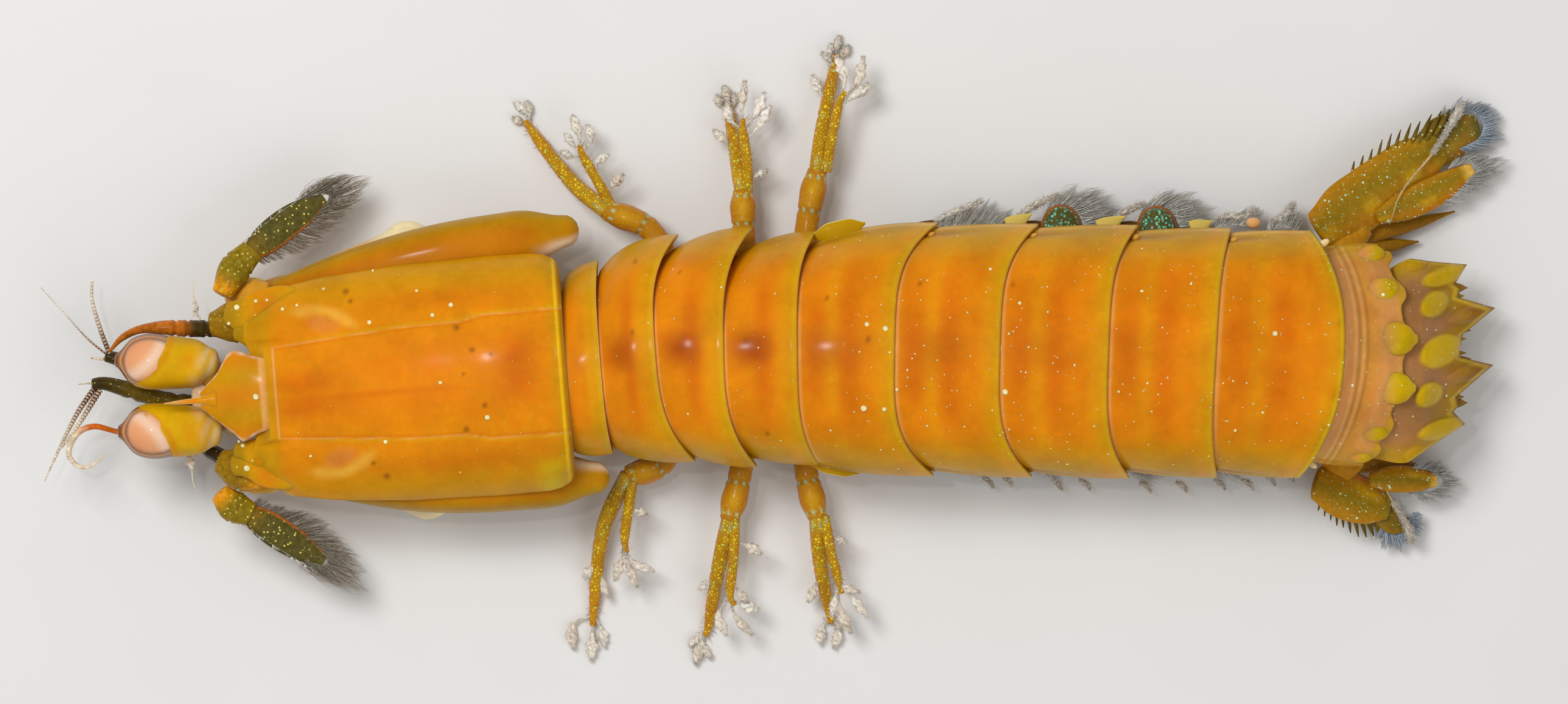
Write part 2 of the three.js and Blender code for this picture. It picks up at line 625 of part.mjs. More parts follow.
for (const { tag, sign } of SIDES) {
  const { arm, heelY, handY } = RAPTORIAL[tag];
  const armRoot = arm[0];
  const armTip = arm[2];
  addPart(headGroup, `raptorial_merus_${tag}`, fuse(
    limb({
      path: arm,
      widths: ARM_WIDTHS,
      heights: ARM_HEIGHTS,
      sides: 12,
      steps: 8,
      power: 2.2,
      round: 0.8,
    }),
    limb({
      path: [
        point(SHOULDER_X, armRoot.y - sign * SHOULDER_SUNK, SHOULDER_HEIGHT),
        point(SHOULDER_X, sign * SHOULDER_INNER, SHOULDER_HEIGHT),
      ],
      widths: [0.9, 0.8],
      sides: 8,
      steps: 1,
      round: 0,
    }),
  ), SHELL_YELLOW);
  addPart(headGroup, `raptorial_carpus_${tag}`, limb({
    path: [point(armTip.x - WRIST_ROOM, armTip.y, 3.5), point(WRIST_FRONT, armTip.y, 2.7)],
    widths: [0.5, 0.85, 0.85, 0.5],
    heights: [0.55, 0.75, 0.65, 0.4],
    sides: 10,
    steps: 4,
    round: 0.2,
  }), SHELL_YELLOW);
  addPart(headGroup, `raptorial_propodus_${tag}`, limb({
    path: [point(-15.4, armTip.y, 1.42), point(-12.5, handY + sign * 0.1, 1.0), point(-8.3, handY, 1.15)],
    widths: [0.6, 0.8, 0.85, 0.85, 0.8, 0.6],
    heights: [0.65, 0.85, 1.0, 1.05, 1.0, 0.7],
    sides: 10,
    steps: 6,
    floor: 0,
  }), SHELL_YELLOW);
  addPart(headGroup, `raptorial_dactylus_${tag}`, limb({
    path: [point(HEEL_X + 0.75, heelY - sign * 0.25, 1.25), point(HEEL_X, heelY, 1.25),
      point(-9.5, heelY - sign * 0.15, 1.15), point(-13.6, heelY - sign * 0.95, 0.95)],
    widths: [0.4, 0.85, 0.55, 0.42, 0.35, 0.28, 0.1],
    heights: [0.45, 0.8, 0.55, 0.45, 0.4, 0.3, 0.12],
    sides: 8,
    steps: 8,
  }), SHELL_YELLOW);
}

// Maxillipeds three to five, folded under the head, each swelling into its oval hand
const MAXILLIPEDS = [
  { order: 3, root: -7.2, across: 0.62, rootHeight: 2.05 },
  { order: 4, root: -4.9, across: 1.58, rootHeight: 2.15 },
  { order: 5, root: -2.6, across: 2.5, rootHeight: 2.3 },
];
const HAND_WIDTHS = [0.3, 0.28, 0.26, 0.25, 0.34, 0.36, 0.3, 0.1];
const HAND_HEIGHTS = [0.3, 0.28, 0.26, 0.3, 0.5, 0.5, 0.35, 0.1];
const MAXILLIPED_LENGTH = 5;

for (const { tag, sign } of SIDES) {
  for (const { order, root, across, rootHeight } of MAXILLIPEDS) {
    const y = sign * across;
    addPart(headGroup, `maxilliped_${order}_${tag}`, limb({
      path: [point(root, y, rootHeight), point(root - 1.4, y, 1.15), point(root - 3.4, y, 0.75),
        point(root - MAXILLIPED_LENGTH, y, 0.5)],
      widths: HAND_WIDTHS,
      heights: HAND_HEIGHTS,
      sides: 6,
      steps: 6,
    }), LIMB_GOLD);
  }
}

// Walking legs: a stout base, an inner leg that reaches the floor and a slimmer outer branch.
// Both end in tufts, and small tufts stand off their sides: branch, share along it, turn and reach.
const LEGS = [
  { name: 'walking_leg_1_r', root: [-5.6, 4.1], hip: [-6.7, 6.1], fork: [-8.8, 7.0],
    inner: [-10.4, 8.3], toe: [-12.75, 11.3], innerTuft: [-13.4, 12.4],
    outerStart: [-8.5, 7.1], outer: [-9.2, 8.4], outerEnd: [-10.05, 9.9], outerTuft: [-10.5, 11.7],
    sideTufts: [['outer', 0.25, -1.2, 1.3], ['outer', 0.6, -1.1, 1.2], ['outer', 0.95, 0.9, 1.1]] },
  { name: 'walking_leg_2_r', root: [-1.9, 4.2], hip: [-2.0, 6.2], fork: [-2.05, 8.0],
    inner: [-2.4, 10.1], toe: [-2.75, 12.1], innerTuft: [-3.0, 13.2],
    outerStart: [-1.8, 8.0], outer: [-1.85, 9.6], outerEnd: [-2.05, 11.1], outerTuft: [-1.95, 13.4],
    sideTufts: [['inner', 0.5, 0.7, 1.4], ['outer', 0.8, -0.8, 2.1], ['outer', 0.2, -1.2, 1.0]] },
  { name: 'walking_leg_3_r', root: [1.0, 4.2], hip: [1.15, 6.3], fork: [1.65, 9.0],
    inner: [2.05, 11.8], toe: [2.6, 14.6], innerTuft: [2.75, 15.7],
    outerStart: [2.1, 9.0], outer: [2.4, 10.8], outerEnd: [2.8, 12.5], outerTuft: [3.95, 14.6],
    sideTufts: [['inner', 0.6, 0.7, 1.5], ['outer', 0.85, -0.7, 2.0], ['inner', 0.9, 0.8, 1.0]] },
  { name: 'walking_leg_1_l', root: [-5.3, -3.8], hip: [-6.1, -5.6], fork: [-7.75, -6.1],
    inner: [-8.95, -8.7], toe: [-9.5, -13.2], innerTuft: [-9.6, -15.3],
    outerStart: [-7.5, -6.3], outer: [-7.75, -8.0], outerEnd: [-7.9, -9.5], outerTuft: [-7.3, -11.6],
    sideTufts: [['inner', 0.6, -0.5, 1.2], ['inner', 0.65, 0.4, 1.6], ['outer', 0.4, 1.2, 1.0]] },
  { name: 'walking_leg_2_l', root: [-2.0, -3.9], hip: [-2.15, -5.9], fork: [-2.7, -8.3],
    inner: [-3.3, -11.0], toe: [-3.8, -13.8], innerTuft: [-4.4, -15.5],
    outerStart: [-2.45, -8.3], outer: [-2.5, -10.2], outerEnd: [-2.65, -12.2], outerTuft: [-1.6, -14.0],
    sideTufts: [['inner', 0.5, -0.7, 1.1], ['outer', 0.3, 1.2, 1.4], ['outer', 0.8, 0.7, 1.2]] },
  { name: 'walking_leg_3_l', root: [1.0, -3.9], hip: [1.1, -5.9], fork: [1.65, -8.2],
    inner: [1.85, -10.8], toe: [2.3, -13.2], innerTuft: [2.5, -14.7],
    outerStart: [2.0, -8.2], outer: [2.35, -10.0], outerEnd: [2.75, -11.5], outerTuft: [3.3, -13.9],
    sideTufts: [['inner', 0.55, -0.6, 1.5], ['outer', 0.3, 1.1, 0.9], ['outer', 0.85, 0.6, 1.4]] },
];
const ROOT_HEIGHT = 1.88;
const HIP_HEIGHT = 2.0;
const FORK_HEIGHT = 1.95;
const SHIN_HEIGHT = 1.25;
const OUTER_RISE = 2.25;
const OUTER_HEIGHT = 2.05;
const TOE_HEIGHT = 0.24;
const TUFT_RISE = 0.05;
const OUTER_DROP = 0.3;
const TUFT_WIDTH = 0.24;

for (const leg of LEGS) {
  const at = ([x, y], z) => point(x, y, z);
  const ends = {
    inner: { end: at(leg.toe, TOE_HEIGHT), tip: at(leg.innerTuft, TOE_HEIGHT + TUFT_RISE) },
    outer: { end: at(leg.outerEnd, OUTER_HEIGHT), tip: at(leg.outerTuft, OUTER_HEIGHT - OUTER_DROP) },
  };
  const branches = {
    inner: [at(leg.fork, FORK_HEIGHT), at(leg.inner, SHIN_HEIGHT), ends.inner.end],
    outer: [at(leg.outerStart, FORK_HEIGHT), at(leg.outer, OUTER_RISE), ends.outer.end],
  };
  const sideLocks = leg.sideTufts.map(([branch, share, turn, reach]) => {
    const curve = new THREE.CatmullRomCurve3(branches[branch], false, 'centripetal');
    const root = curve.getPointAt(share);
    const aside = curve.getTangentAt(share).setZ(0).normalize().applyAxisAngle(UP, turn);
    return lock(root, root.clone().addScaledVector(aside, reach), { width: TUFT_WIDTH, sides: 3 });
  });
  addPart(shrimp, leg.name, fuse(
    limb({
      path: [at(leg.root, ROOT_HEIGHT), at(leg.hip, HIP_HEIGHT), at(leg.fork, FORK_HEIGHT)],
      widths: [0.7, 0.66, 0.6, 0.64, 0.5],
      heights: [0.62, 0.6, 0.56, 0.6, 0.45],
      sides: 6,
      steps: 4,
    }),
    limb({
      path: [...branches.inner, ends.inner.tip],
      widths: [0.42, 0.4, 0.37, 0.33, 0.28, 0.1],
      sides: 6,
      steps: 5,
      floor: 0,
    }),
    limb({
      path: [...branches.outer, ends.outer.tip],
      widths: [0.3, 0.28, 0.26, 0.27, 0.1],
      sides: 5,
      steps: 4,
    }),
    ...tuft({ ...ends.inner, width: TUFT_WIDTH }),
    ...tuft({ ...ends.outer, width: TUFT_WIDTH }),
    ...sideLocks,
  ), LIMB_GOLD);
}

// Swimming legs under the first five abdominal somites: a base, an inner flap, and an outer flap
// whose end shows beside the body and bears a fringe
const SWIMMERETS = [
  { order: 1, x: 4.0, reach: 1,
    rightFlap: [9.0, 6.5], rightTips: [[10.0, 7.75], [11.0, 8.05], [11.7, 7.2]],
    leftFlap: [8.9, -5.5], leftTips: [[10.4, -6.7], [11.3, -6.6]] },
  { order: 2, x: 9.1, reach: 1,
    rightFlap: [13.9, 6.7], rightTips: [[13.5, 8.15], [15.2, 8.6], [17.0, 7.6]],
    leftFlap: [13.4, -5.6], leftTips: [[13.8, -6.8], [15.2, -6.8]] },
  { order: 3, x: 14.1, reach: 1,
    rightFlap: [18.5, 6.6], rightTips: [[18.6, 7.95], [20.2, 8.3], [21.5, 7.3]],
    leftFlap: [17.9, -5.7], leftTips: [[18.2, -6.9], [20.0, -6.9]] },
  { order: 4, x: 18.8, reach: 0.8,
    rightFlap: [22.0, 6.3], rightTips: [[22.3, 7.1], [23.3, 7.5], [24.0, 6.9]],
    leftFlap: [21.6, -5.6], leftTips: [[21.9, -6.8], [23.3, -6.8]] },
  { order: 5, x: 23.2, reach: 0.45,
    rightFlap: [25.1, 6.2], rightTips: [[24.8, 7.6], [25.5, 7.4], [26.0, 6.9]],
    leftFlap: [24.9, -5.5], leftTips: [[24.4, -6.6], [25.3, -6.4]] },
];
const SWIMMERET_ROOT = 1.87;
const FLAP_HALF_THICKNESS = 0.26;
const FLAP_LOW = 1.0;
const FRINGE_LOW = 0.9;
const INNER_FLAP_LENGTH = 4.4;
const RIGHT_LOCKS = 4;
const LEFT_LOCKS = 2;
const FLAP_LOCK_WIDTH = 0.26;

for (const { tag, sign } of SIDES) {
  for (const swimmeret of SWIMMERETS) {
    const { order, x, reach } = swimmeret;
    const [flapX, flapY] = sign > 0 ? swimmeret.rightFlap : swimmeret.leftFlap;
    const tips = sign > 0 ? swimmeret.rightTips : swimmeret.leftTips;
    addPart(shrimp, `pleopod_${order}_${tag}`, fuse(
      limb({
        path: [point(x, sign * 2.1, SWIMMERET_ROOT), point(x + 0.4, sign * 4.1, 1.65),
          point(x + 1.6, flapY * 0.83, 1.35), point(flapX, flapY, FLAP_LOW)],
        widths: [0.8, 0.85, 0.85, 0.9, 0.45],
        heights: [0.5, 0.42, 0.3, 0.26, 0.25],
        sides: 6,
        steps: 4,
      }),
      limb({
        path: [point(x + 0.2, sign * 3.0, 1.4), point(x + INNER_FLAP_LENGTH * reach, sign * 2.9, 0.6)],
        widths: [0.7, 1.2, 0.5],
        heights: [FLAP_HALF_THICKNESS],
        sides: 4,
        steps: 2,
      }),
      ...fringe({
        roots: [point(flapX - 0.9 * reach, flapY + sign * 0.05, FLAP_LOW + 0.05),
          point(flapX, flapY, FLAP_LOW)],
        tips: tips.map(([tipX, tipY]) => point(tipX, tipY, FRINGE_LOW)),
        count: sign > 0 ? RIGHT_LOCKS : LEFT_LOCKS,
        width: FLAP_LOCK_WIDTH,
      }),
    ), LIMB_GOLD);
  }
}

// Telson: a thick plate that slopes to the floor, its rear edge cut into teeth.
// Stations run across it, from the middle notch outwards: offset and rear edge
const TELSON_FRONT = 31.45;
const TELSON_FRONT_SWEEP = -1.35;
const TELSON_TOP = 5.85;
const TELSON_FALL = 0.9;
const TELSON_MIDDLE = -0.25;
const TELSON_SHIFT = 0.27;
const TELSON_STATIONS = [
  { across: 0, rear: 33.45 },
  { across: 0.55, rear: 33.55 },
  { across: 1.4, rear: 35.3 },
  { across: 2.45, rear: 33.35 },
  { across: 2.9, rear: 33.5 },
  { across: 3.15, rear: 33.2 },
  { across: 3.95, rear: 33.85 },
  { across: 4.5, rear: 32.2 },
  { across: 5.0, rear: 30.9 },
];
const TELSON_DEPTHS = [1.9, 1.7, 1.3, 0.75];

function telsonTop(x, across) {
  return TELSON_TOP - TELSON_FALL * (x - TELSON_FRONT) - 0.055 * across * across;
}

function telsonGeometry() {
  const right = TELSON_STATIONS.slice(1);
  const left = right.map(({ across, rear }) => ({ across: -across, rear: rear - 0.1 })).reverse();
  const rings = [...left, TELSON_STATIONS[0], ...right].map(({ across, rear }) => {
    const front = TELSON_FRONT + TELSON_FRONT_SWEEP * (across / 5) ** 2;
    const top = [];
    const bottom = [];
    TELSON_DEPTHS.forEach((depth, row) => {
      const x = lerp(front, rear, row / (TELSON_DEPTHS.length - 1));
      const y = TELSON_MIDDLE + across + TELSON_SHIFT * (x - TELSON_FRONT);
      const z = telsonTop(x, across);
      top.push(point(x, y, z));
      bottom.unshift(point(x, y, z - depth * (1 - 0.3 * (across / 5) ** 2)));
    });
    return [...top, ...bottom];
  });
  const middleOf = (ring) => ring.reduce((sum, p) => sum.add(p), point(0, 0, 0)).divideScalar(ring.length);
  return skin(rings, middleOf(rings[0]), middleOf(rings[rings.length - 1]));
}

// Bosses on the telson: the middle one, one each side and one along each tooth
const TELSON_BOSSES = [
  { x: 32.3, across: 0.0, length: 1.35, width: 0.95, height: 0.75 },
  { x: 31.9, across: 2.2, length: 0.95, width: 0.75, height: 0.55 },
  { x: 31.8, across: -2.1, length: 0.95, width: 0.75, height: 0.55 },
  { x: 32.6, across: 3.7, length: 1.1, width: 0.5, height: 0.45 },
  { x: 32.4, across: -3.8, length: 1.1, width: 0.5, height: 0.45 },
];
const TELSON_PITCH = Math.atan(TELSON_FALL);

addPart(shrimp, 'telson', fuse(
  telsonGeometry(),
  ...TELSON_BOSSES.map(({ x, across, length, width, height }) => boss(
    point(x, TELSON_MIDDLE + across + TELSON_SHIFT * (x - TELSON_FRONT), telsonTop(x, across)),
    length, width, height, 0, TELSON_PITCH)),
), TAIL_SHELL);

// Uropods: a base with two long spines, an outer branch in two segments with movable spines along
// its edge and a fringed end, and an inner paddle with its own fringe
const UROPODS = {
  r: {
    base: [point(27.2, 4.2, 2.35), point(28.0, 5.6, 2.0), point(28.6, 6.3, 2.0)],
    spines: [[point(28.4, 5.7, 1.6), point(31.0, 6.3, 0.8), point(33.4, 7.0, 0.5)],
      [point(28.4, 5.2, 1.5), point(30.0, 5.3, 0.8), point(31.6, 5.5, 0.45)]],
    outer: [point(27.1, 7.6, 2.7), point(29.5, 9.0, 2.0), point(32.6, 11.0, 1.2)],
    outerWidths: [0.9, 1.5, 1.45, 0.9],
    outerRoll: 0.15,
    distal: [point(32.2, 10.8, 1.25), point(33.3, 11.2, 1.0), point(34.3, 11.3, 0.85)],
    distalWidths: [0.6, 0.85, 0.6],
    distalRoots: [point(33.4, 11.75, 1.0), point(34.2, 11.7, 0.9), point(34.7, 11.3, 0.8),
      point(34.2, 10.9, 0.85)],
    distalTips: [point(33.9, 12.8, 0.6), point(34.9, 12.6, 0.55), point(35.9, 11.6, 0.5),
      point(35.9, 10.6, 0.55)],
    distalLocks: 6,
    edgeRoots: [point(28.6, 9.2, 2.3), point(30.4, 10.35, 1.95), point(32.2, 11.3, 1.5)],
    edgeTips: [point(28.9, 10.2, 2.4), point(31.2, 11.3, 2.0), point(33.0, 12.0, 1.6)],
    edgeSpines: 7,
    inner: [point(29.45, 6.68, 2.3), point(32.0, 7.8, 1.8), point(34.2, 9.1, 1.1)],
    innerWidths: [0.45, 0.75, 0.72, 0.4],
    innerRoll: 0.15,
    innerRoots: [point(34.1, 9.4, 1.15), point(34.5, 9.1, 1.05), point(34.0, 8.7, 1.2),
      point(33.0, 8.0, 1.5)],
    innerTips: [point(35.5, 9.95, 0.85), point(36.7, 9.4, 0.8), point(35.7, 8.5, 0.85),
      point(34.1, 7.75, 1.2)],
    innerLocks: 6,
  },
  l: {
    base: [point(27.0, -4.2, 2.35), point(27.7, -5.4, 2.0), point(28.2, -6.0, 1.9)],
    spines: [[point(28.0, -5.5, 1.5), point(30.8, -5.7, 0.8), point(32.8, -6.0, 0.5)],
      [point(28.0, -5.1, 1.4), point(29.8, -5.0, 0.75), point(31.2, -5.1, 0.45)]],
    outer: [point(26.6, -7.42, 2.5), point(28.4, -7.8, 1.95), point(30.0, -8.2, 1.3)],
    outerWidths: [0.7, 1.1, 1.0, 0.6],
    outerRoll: 0.6,
    distal: [point(29.6, -8.1, 1.4), point(30.4, -8.4, 1.1), point(31.0, -8.6, 0.9)],
    distalWidths: [0.5, 0.65, 0.4],
    distalRoots: [point(29.9, -8.6, 1.2), point(30.6, -8.8, 1.0), point(31.1, -8.6, 0.9),
      point(31.1, -8.2, 1.0)],
    distalTips: [point(29.7, -9.6, 0.8), point(30.9, -10.0, 0.6), point(31.9, -9.3, 0.6),
      point(31.9, -7.9, 0.8)],
    distalLocks: 5,
    edgeRoots: [point(26.9, -8.0, 1.95), point(28.1, -8.42, 1.5), point(29.1, -8.55, 1.15)],
    edgeTips: [point(26.7, -8.7, 1.6), point(28.1, -9.35, 1.1), point(29.4, -9.5, 0.8)],
    edgeSpines: 6,
    inner: [point(29.1, -6.35, 2.3), point(30.8, -6.3, 1.9), point(32.4, -6.4, 1.45)],
    innerWidths: [0.4, 0.66, 0.62, 0.35],
    innerRoll: 0.2,
    innerRoots: [point(32.2, -6.1, 1.5), point(32.7, -6.4, 1.4), point(32.2, -6.8, 1.45),
      point(31.4, -6.9, 1.6)],
    innerTips: [point(33.6, -5.7, 1.2), point(34.1, -6.4, 1.1), point(33.5, -7.2, 1.2),
      point(32.4, -7.5, 1.4)],
    innerLocks: 5,
  },
};
const EDGE_SPINE_HALF_WIDTH = 0.2;
const EDGE_SPINE_SUNK = 0.5;
const TAIL_LOCK_WIDTH = 0.22;

// Movable spines along the outer edge, longer towards the rear
function edgeSpines({ edgeRoots, edgeTips, edgeSpines: count }) {
  const rootLine = new THREE.CatmullRomCurve3(edgeRoots, false, 'centripetal');
  const tipLine = new THREE.CatmullRomCurve3(edgeTips, false, 'centripetal');
  const spines = [];
  for (let order = 0; order < count; order += 1) {
    const share = order / (count - 1);
    const root = rootLine.getPointAt(share);
    const tip = tipLine.getPointAt(share);
    const start = root.clone().lerp(tip, -EDGE_SPINE_SUNK);
    const half = EDGE_SPINE_HALF_WIDTH * lerp(0.85, 1.15, share);
    spines.push(limb({ path: [start, tip], widths: [half, half * 0.3], sides: 3, steps: 1, round: 0.6 }));
  }
  return spines;
}

for (const { tag, sign } of SIDES) {
  const tail = UROPODS[tag];
  addPart(shrimp, `uropod_protopod_${tag}`, fuse(
    limb({ path: tail.base, widths: [1.0, 1.0, 0.8], heights: [0.7, 0.65, 0.5], sides: 8, steps: 3 }),
    ...tail.spines.map((path) => limb({ path, widths: [0.5, 0.4, 0.1], sides: 5, steps: 3, floor: 0 })),
  ), LIMB_GOLD);
  addPart(shrimp, `uropod_exopod_${tag}`, fuse(
    limb({ path: tail.outer, widths: tail.outerWidths, heights: [0.35, 0.4, 0.35, 0.25],
      sides: 8, steps: 5, roll: sign * tail.outerRoll }),
    limb({ path: tail.distal, widths: tail.distalWidths, heights: [0.26], sides: 6, steps: 3,
      roll: sign * tail.outerRoll }),
    ...edgeSpines(tail),
    ...fringe({ roots: tail.distalRoots, tips: tail.distalTips, count: tail.distalLocks,
      width: TAIL_LOCK_WIDTH }),
  ), LIMB_GOLD);
  addPart(shrimp, `uropod_endopod_${tag}`, fuse(
    limb({ path: tail.inner, widths: tail.innerWidths, heights: [0.3, 0.3, 0.27], sides: 8, steps: 4,
      roll: sign * tail.innerRoll }),
    ...fringe({ roots: tail.innerRoots, tips: tail.innerTips, count: tail.innerLocks,
      width: TAIL_LOCK_WIDTH }),
  ), LIMB_GOLD);
}

export default shrimp;
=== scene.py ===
import math

import bpy
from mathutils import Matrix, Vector
import numpy as np


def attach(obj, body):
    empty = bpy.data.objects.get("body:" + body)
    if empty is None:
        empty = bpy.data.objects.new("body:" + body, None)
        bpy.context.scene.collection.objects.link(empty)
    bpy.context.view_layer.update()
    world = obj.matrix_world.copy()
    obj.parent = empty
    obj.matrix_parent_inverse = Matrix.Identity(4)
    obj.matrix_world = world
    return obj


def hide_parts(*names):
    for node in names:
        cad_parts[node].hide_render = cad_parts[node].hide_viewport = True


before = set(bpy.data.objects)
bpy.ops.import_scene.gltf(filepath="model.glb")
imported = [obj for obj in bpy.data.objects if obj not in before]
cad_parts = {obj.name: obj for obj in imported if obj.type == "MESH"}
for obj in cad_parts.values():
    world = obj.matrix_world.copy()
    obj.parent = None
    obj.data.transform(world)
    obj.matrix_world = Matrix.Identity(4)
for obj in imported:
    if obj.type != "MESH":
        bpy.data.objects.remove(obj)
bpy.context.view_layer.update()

# Mantis shrimp, dressed over the frame. Lengths are millimetres until a piece is made, then metres.
# X runs from head to tail, Y to the animal's right side, Z up, with the floor at 0.
MM = 0.001
BODY = "root"
DRAW = np.random.default_rng(4207)
TURN = 2 * math.pi

# Driving dimensions, the same as the frame's
GAP = 0.3
CARAPACE_LENGTH = 14.75
CARAPACE_HALF_WIDTH = 5.9
BELLY_HEIGHT = 2.6
SIDE_HEIGHT = 4.0
BACK_HEIGHT = 9.2
TRUNK_HALF_WIDTH = 6.25
TRUNK_LEAN = 0.09
NECK_X = -10.65
NECK_Y = -0.88
HEAD_TURN = math.radians(4.56)
SIDES = (("r", 1), ("l", -1))
UP = np.array([0.0, 0.0, 1.0])


def srgb(red, green, blue):
    """A colour as the eye reads it, 0 to 255, as linear light."""
    c = np.array([red, green, blue]) / 255
    return np.where(c <= 0.04045, c / 12.92, ((c + 0.055) / 1.055) ** 2.4)


ORANGE = srgb(226, 126, 6)
DEEP_ORANGE = srgb(204, 88, 4)
AMBER = srgb(222, 148, 10)
OLIVE_YELLOW = srgb(190, 148, 6)
RIM_YELLOW = srgb(205, 176, 20)
PALE_LINE = srgb(236, 178, 110)
PALE_YELLOW = srgb(236, 184, 74)
MAUVE = srgb(212, 146, 78)
TELSON_MAUVE = srgb(168, 118, 70)
BOSS_YELLOW = srgb(206, 168, 4)
TOOTH_BROWN = srgb(140, 98, 12)
BELLY_CREAM = srgb(226, 190, 128)
MEMBRANE = srgb(226, 206, 178)
CREAM = srgb(246, 226, 170)
PIT = srgb(120, 66, 8)
EYE_YELLOW = srgb(222, 170, 10)
CORNEA_PEACH = srgb(236, 168, 118)
# A pale pearl for a painted glint on the cornea
CORNEA_PEARL_GLINT = srgb(248, 216, 190)
# Brown for the painted shade round the cornea
CORNEA_SHADE_BROWN = srgb(112, 60, 26)
FEELER_DARK = srgb(66, 50, 18)
FEELER_BROWN = srgb(150, 84, 20)
FEELER_PALE = srgb(226, 206, 176)
SCALE_OLIVE = srgb(92, 84, 36)
SCALE_EDGE = srgb(178, 98, 34)
LEG_GOLD = srgb(222, 176, 20)
LEG_ORANGE = srgb(206, 136, 14)
LEG_OLIVE = srgb(150, 112, 14)
TEAL_WHITE = srgb(168, 214, 176)
UROPOD_AMBER = srgb(176, 122, 14)
UROPOD_OLIVE = srgb(140, 116, 18)
FLAP_BROWN = srgb(112, 78, 26)
SETA_GREY = srgb(206, 200, 192)
SETA_BROWN = srgb(160, 146, 128)
SETA_BLUE = srgb(178, 186, 196)
PEARL_GREEN = srgb(214, 226, 180)
FLUFF_WHITE = srgb(240, 232, 220)


def vec(*numbers):
    return np.array(numbers, float)


def mix(a, b, share):
    return a + (b - a) * share


def layers(tone, *coats):
    """A colour under further colours, each with its share at every point."""
    for other, share in coats:
        tone = tone + (other - tone) * np.clip(share, 0, 1)[..., None]
    return tone


def ease(x, low, high):
    share = np.clip((x - low) / (high - low), 0, 1)
    return share * share * (3 - 2 * share)


def bump(x, centre, reach):
    """1 at the centre, falling smoothly to 0 at reach to either side."""
    return 1 - ease(np.abs(x - centre), 0, reach)


def signed_power(value, power):
    return np.sign(value) * np.abs(value) ** power


def unit(v):
    return v / np.maximum(np.linalg.norm(v, axis=-1, keepdims=True), 1e-12)


def turned(p, c, s):
    """Points turned about the upright, by the cosine and sine of the angle."""
    return np.stack([c * p[..., 0] - s * p[..., 1], s * p[..., 0] + c * p[..., 1], p[..., 2]], -1)


def from_head(p):
    """Points carried from the head's own frame into the animal's."""
    p = np.asarray(p, float)
    c, s = math.cos(HEAD_TURN), math.sin(HEAD_TURN)
    x, y = p[..., 0], p[..., 1]
    return np.stack([NECK_X + c * x - s * y, NECK_Y + s * x + c * y, p[..., 2]], -1)


def profile(keys, t):
    """A smooth value from evenly spaced keys, for t from 0 to 1."""
    keys = np.asarray(keys, float)
    t = np.asarray(t, float)
    if len(keys) == 1:
        return np.full(t.shape, keys[0])
    last = len(keys) - 1
    place = np.clip(t, 0, 1) * last
    low = np.minimum(place.astype(int), last - 1)
    w = place - low
    before, a = keys[np.maximum(low - 1, 0)], keys[low]
    b, after = keys[low + 1], keys[np.minimum(low + 2, last)]
    bend = (b - before) * w + (2 * before - 5 * a + 4 * b - after) * w ** 2
    return a + 0.5 * (bend + (3 * a - before - 3 * b + after) * w ** 3)


class Path:
    """A centripetal Catmull-Rom curve through points, measured along its length."""

    FINE = 24
    STEP = 0.004

    def __init__(self, points):
        p = np.asarray(points, float)
        p = np.vstack([2 * p[0] - p[1], p, 2 * p[-1] - p[-2]])
        w = np.linspace(0, 1, self.FINE, endpoint=False)[:, None]
        pieces = []
        for a, b, c, d in zip(p, p[1:], p[2:], p[3:]):
            before, span, after = (np.sqrt(np.linalg.norm(v)) for v in (b - a, c - b, d - c))
            leave = ((b - a) / before - (c - a) / (before + span) + (c - b) / span) * span
            arrive = ((c - b) / span - (d - b) / (span + after) + (d - c) / after) * span
            pieces.append(b + leave * w + (3 * (c - b) - 2 * leave - arrive) * w ** 2
                          + (2 * (b - c) + leave + arrive) * w ** 3)
        self.points = np.vstack([*pieces, p[-2:-1]])
        steps = np.linalg.norm(np.diff(self.points, axis=0), axis=1)
        self.length = steps.sum()
        self.share = np.concatenate([[0], np.cumsum(steps)]) / self.length

    def at(self, t):
        return np.stack([np.interp(t, self.share, self.points[:, k]) for k in range(3)], -1)

    def along(self, t):
        return unit(self.at(np.minimum(t + self.STEP, 1)) - self.at(np.maximum(t - self.STEP, 0)))


PATCH = 0.003
PATCH_SPAN = 0.02


class Form:
    """Points and faces of one surface in millimetres, with a colour and two shares for each point."""

    def __init__(self, points, quads, tris, along=None, around=None):
        self.points = points
        self.quads = quads
        self.tris = tris
        count = len(points)
        self.along = np.zeros(count) if along is None else along
        self.around = np.zeros(count) if around is None else around
        self.tone = np.ones((count, 3))
        self.fleck = np.zeros(count)
        self.patch = None

    def paint(self, tone, *coats, fleck=0.0):
        """Gives the points their colour and how strongly the material's own pattern shows there."""
        self.tone = np.broadcast_to(layers(tone, *coats), self.tone.shape).copy()
        self.fleck = np.broadcast_to(fleck, self.fleck.shape).copy()
        return self

    def beside(self, sign=1):
        """-1 to 1 across a limb, positive towards the side that the sign names."""
        return np.cos(TURN * self.around) * sign

    def unwrapped(self, corner):
        """Lays the form out on a small place of the baked layer."""
        shares = zip(corner, (self.along, self.around))
        self.patch = np.stack([start + share * PATCH_SPAN for start, share in shares], -1)
        return self

    def in_animal(self):
        self.points = from_head(self.points)
        return self


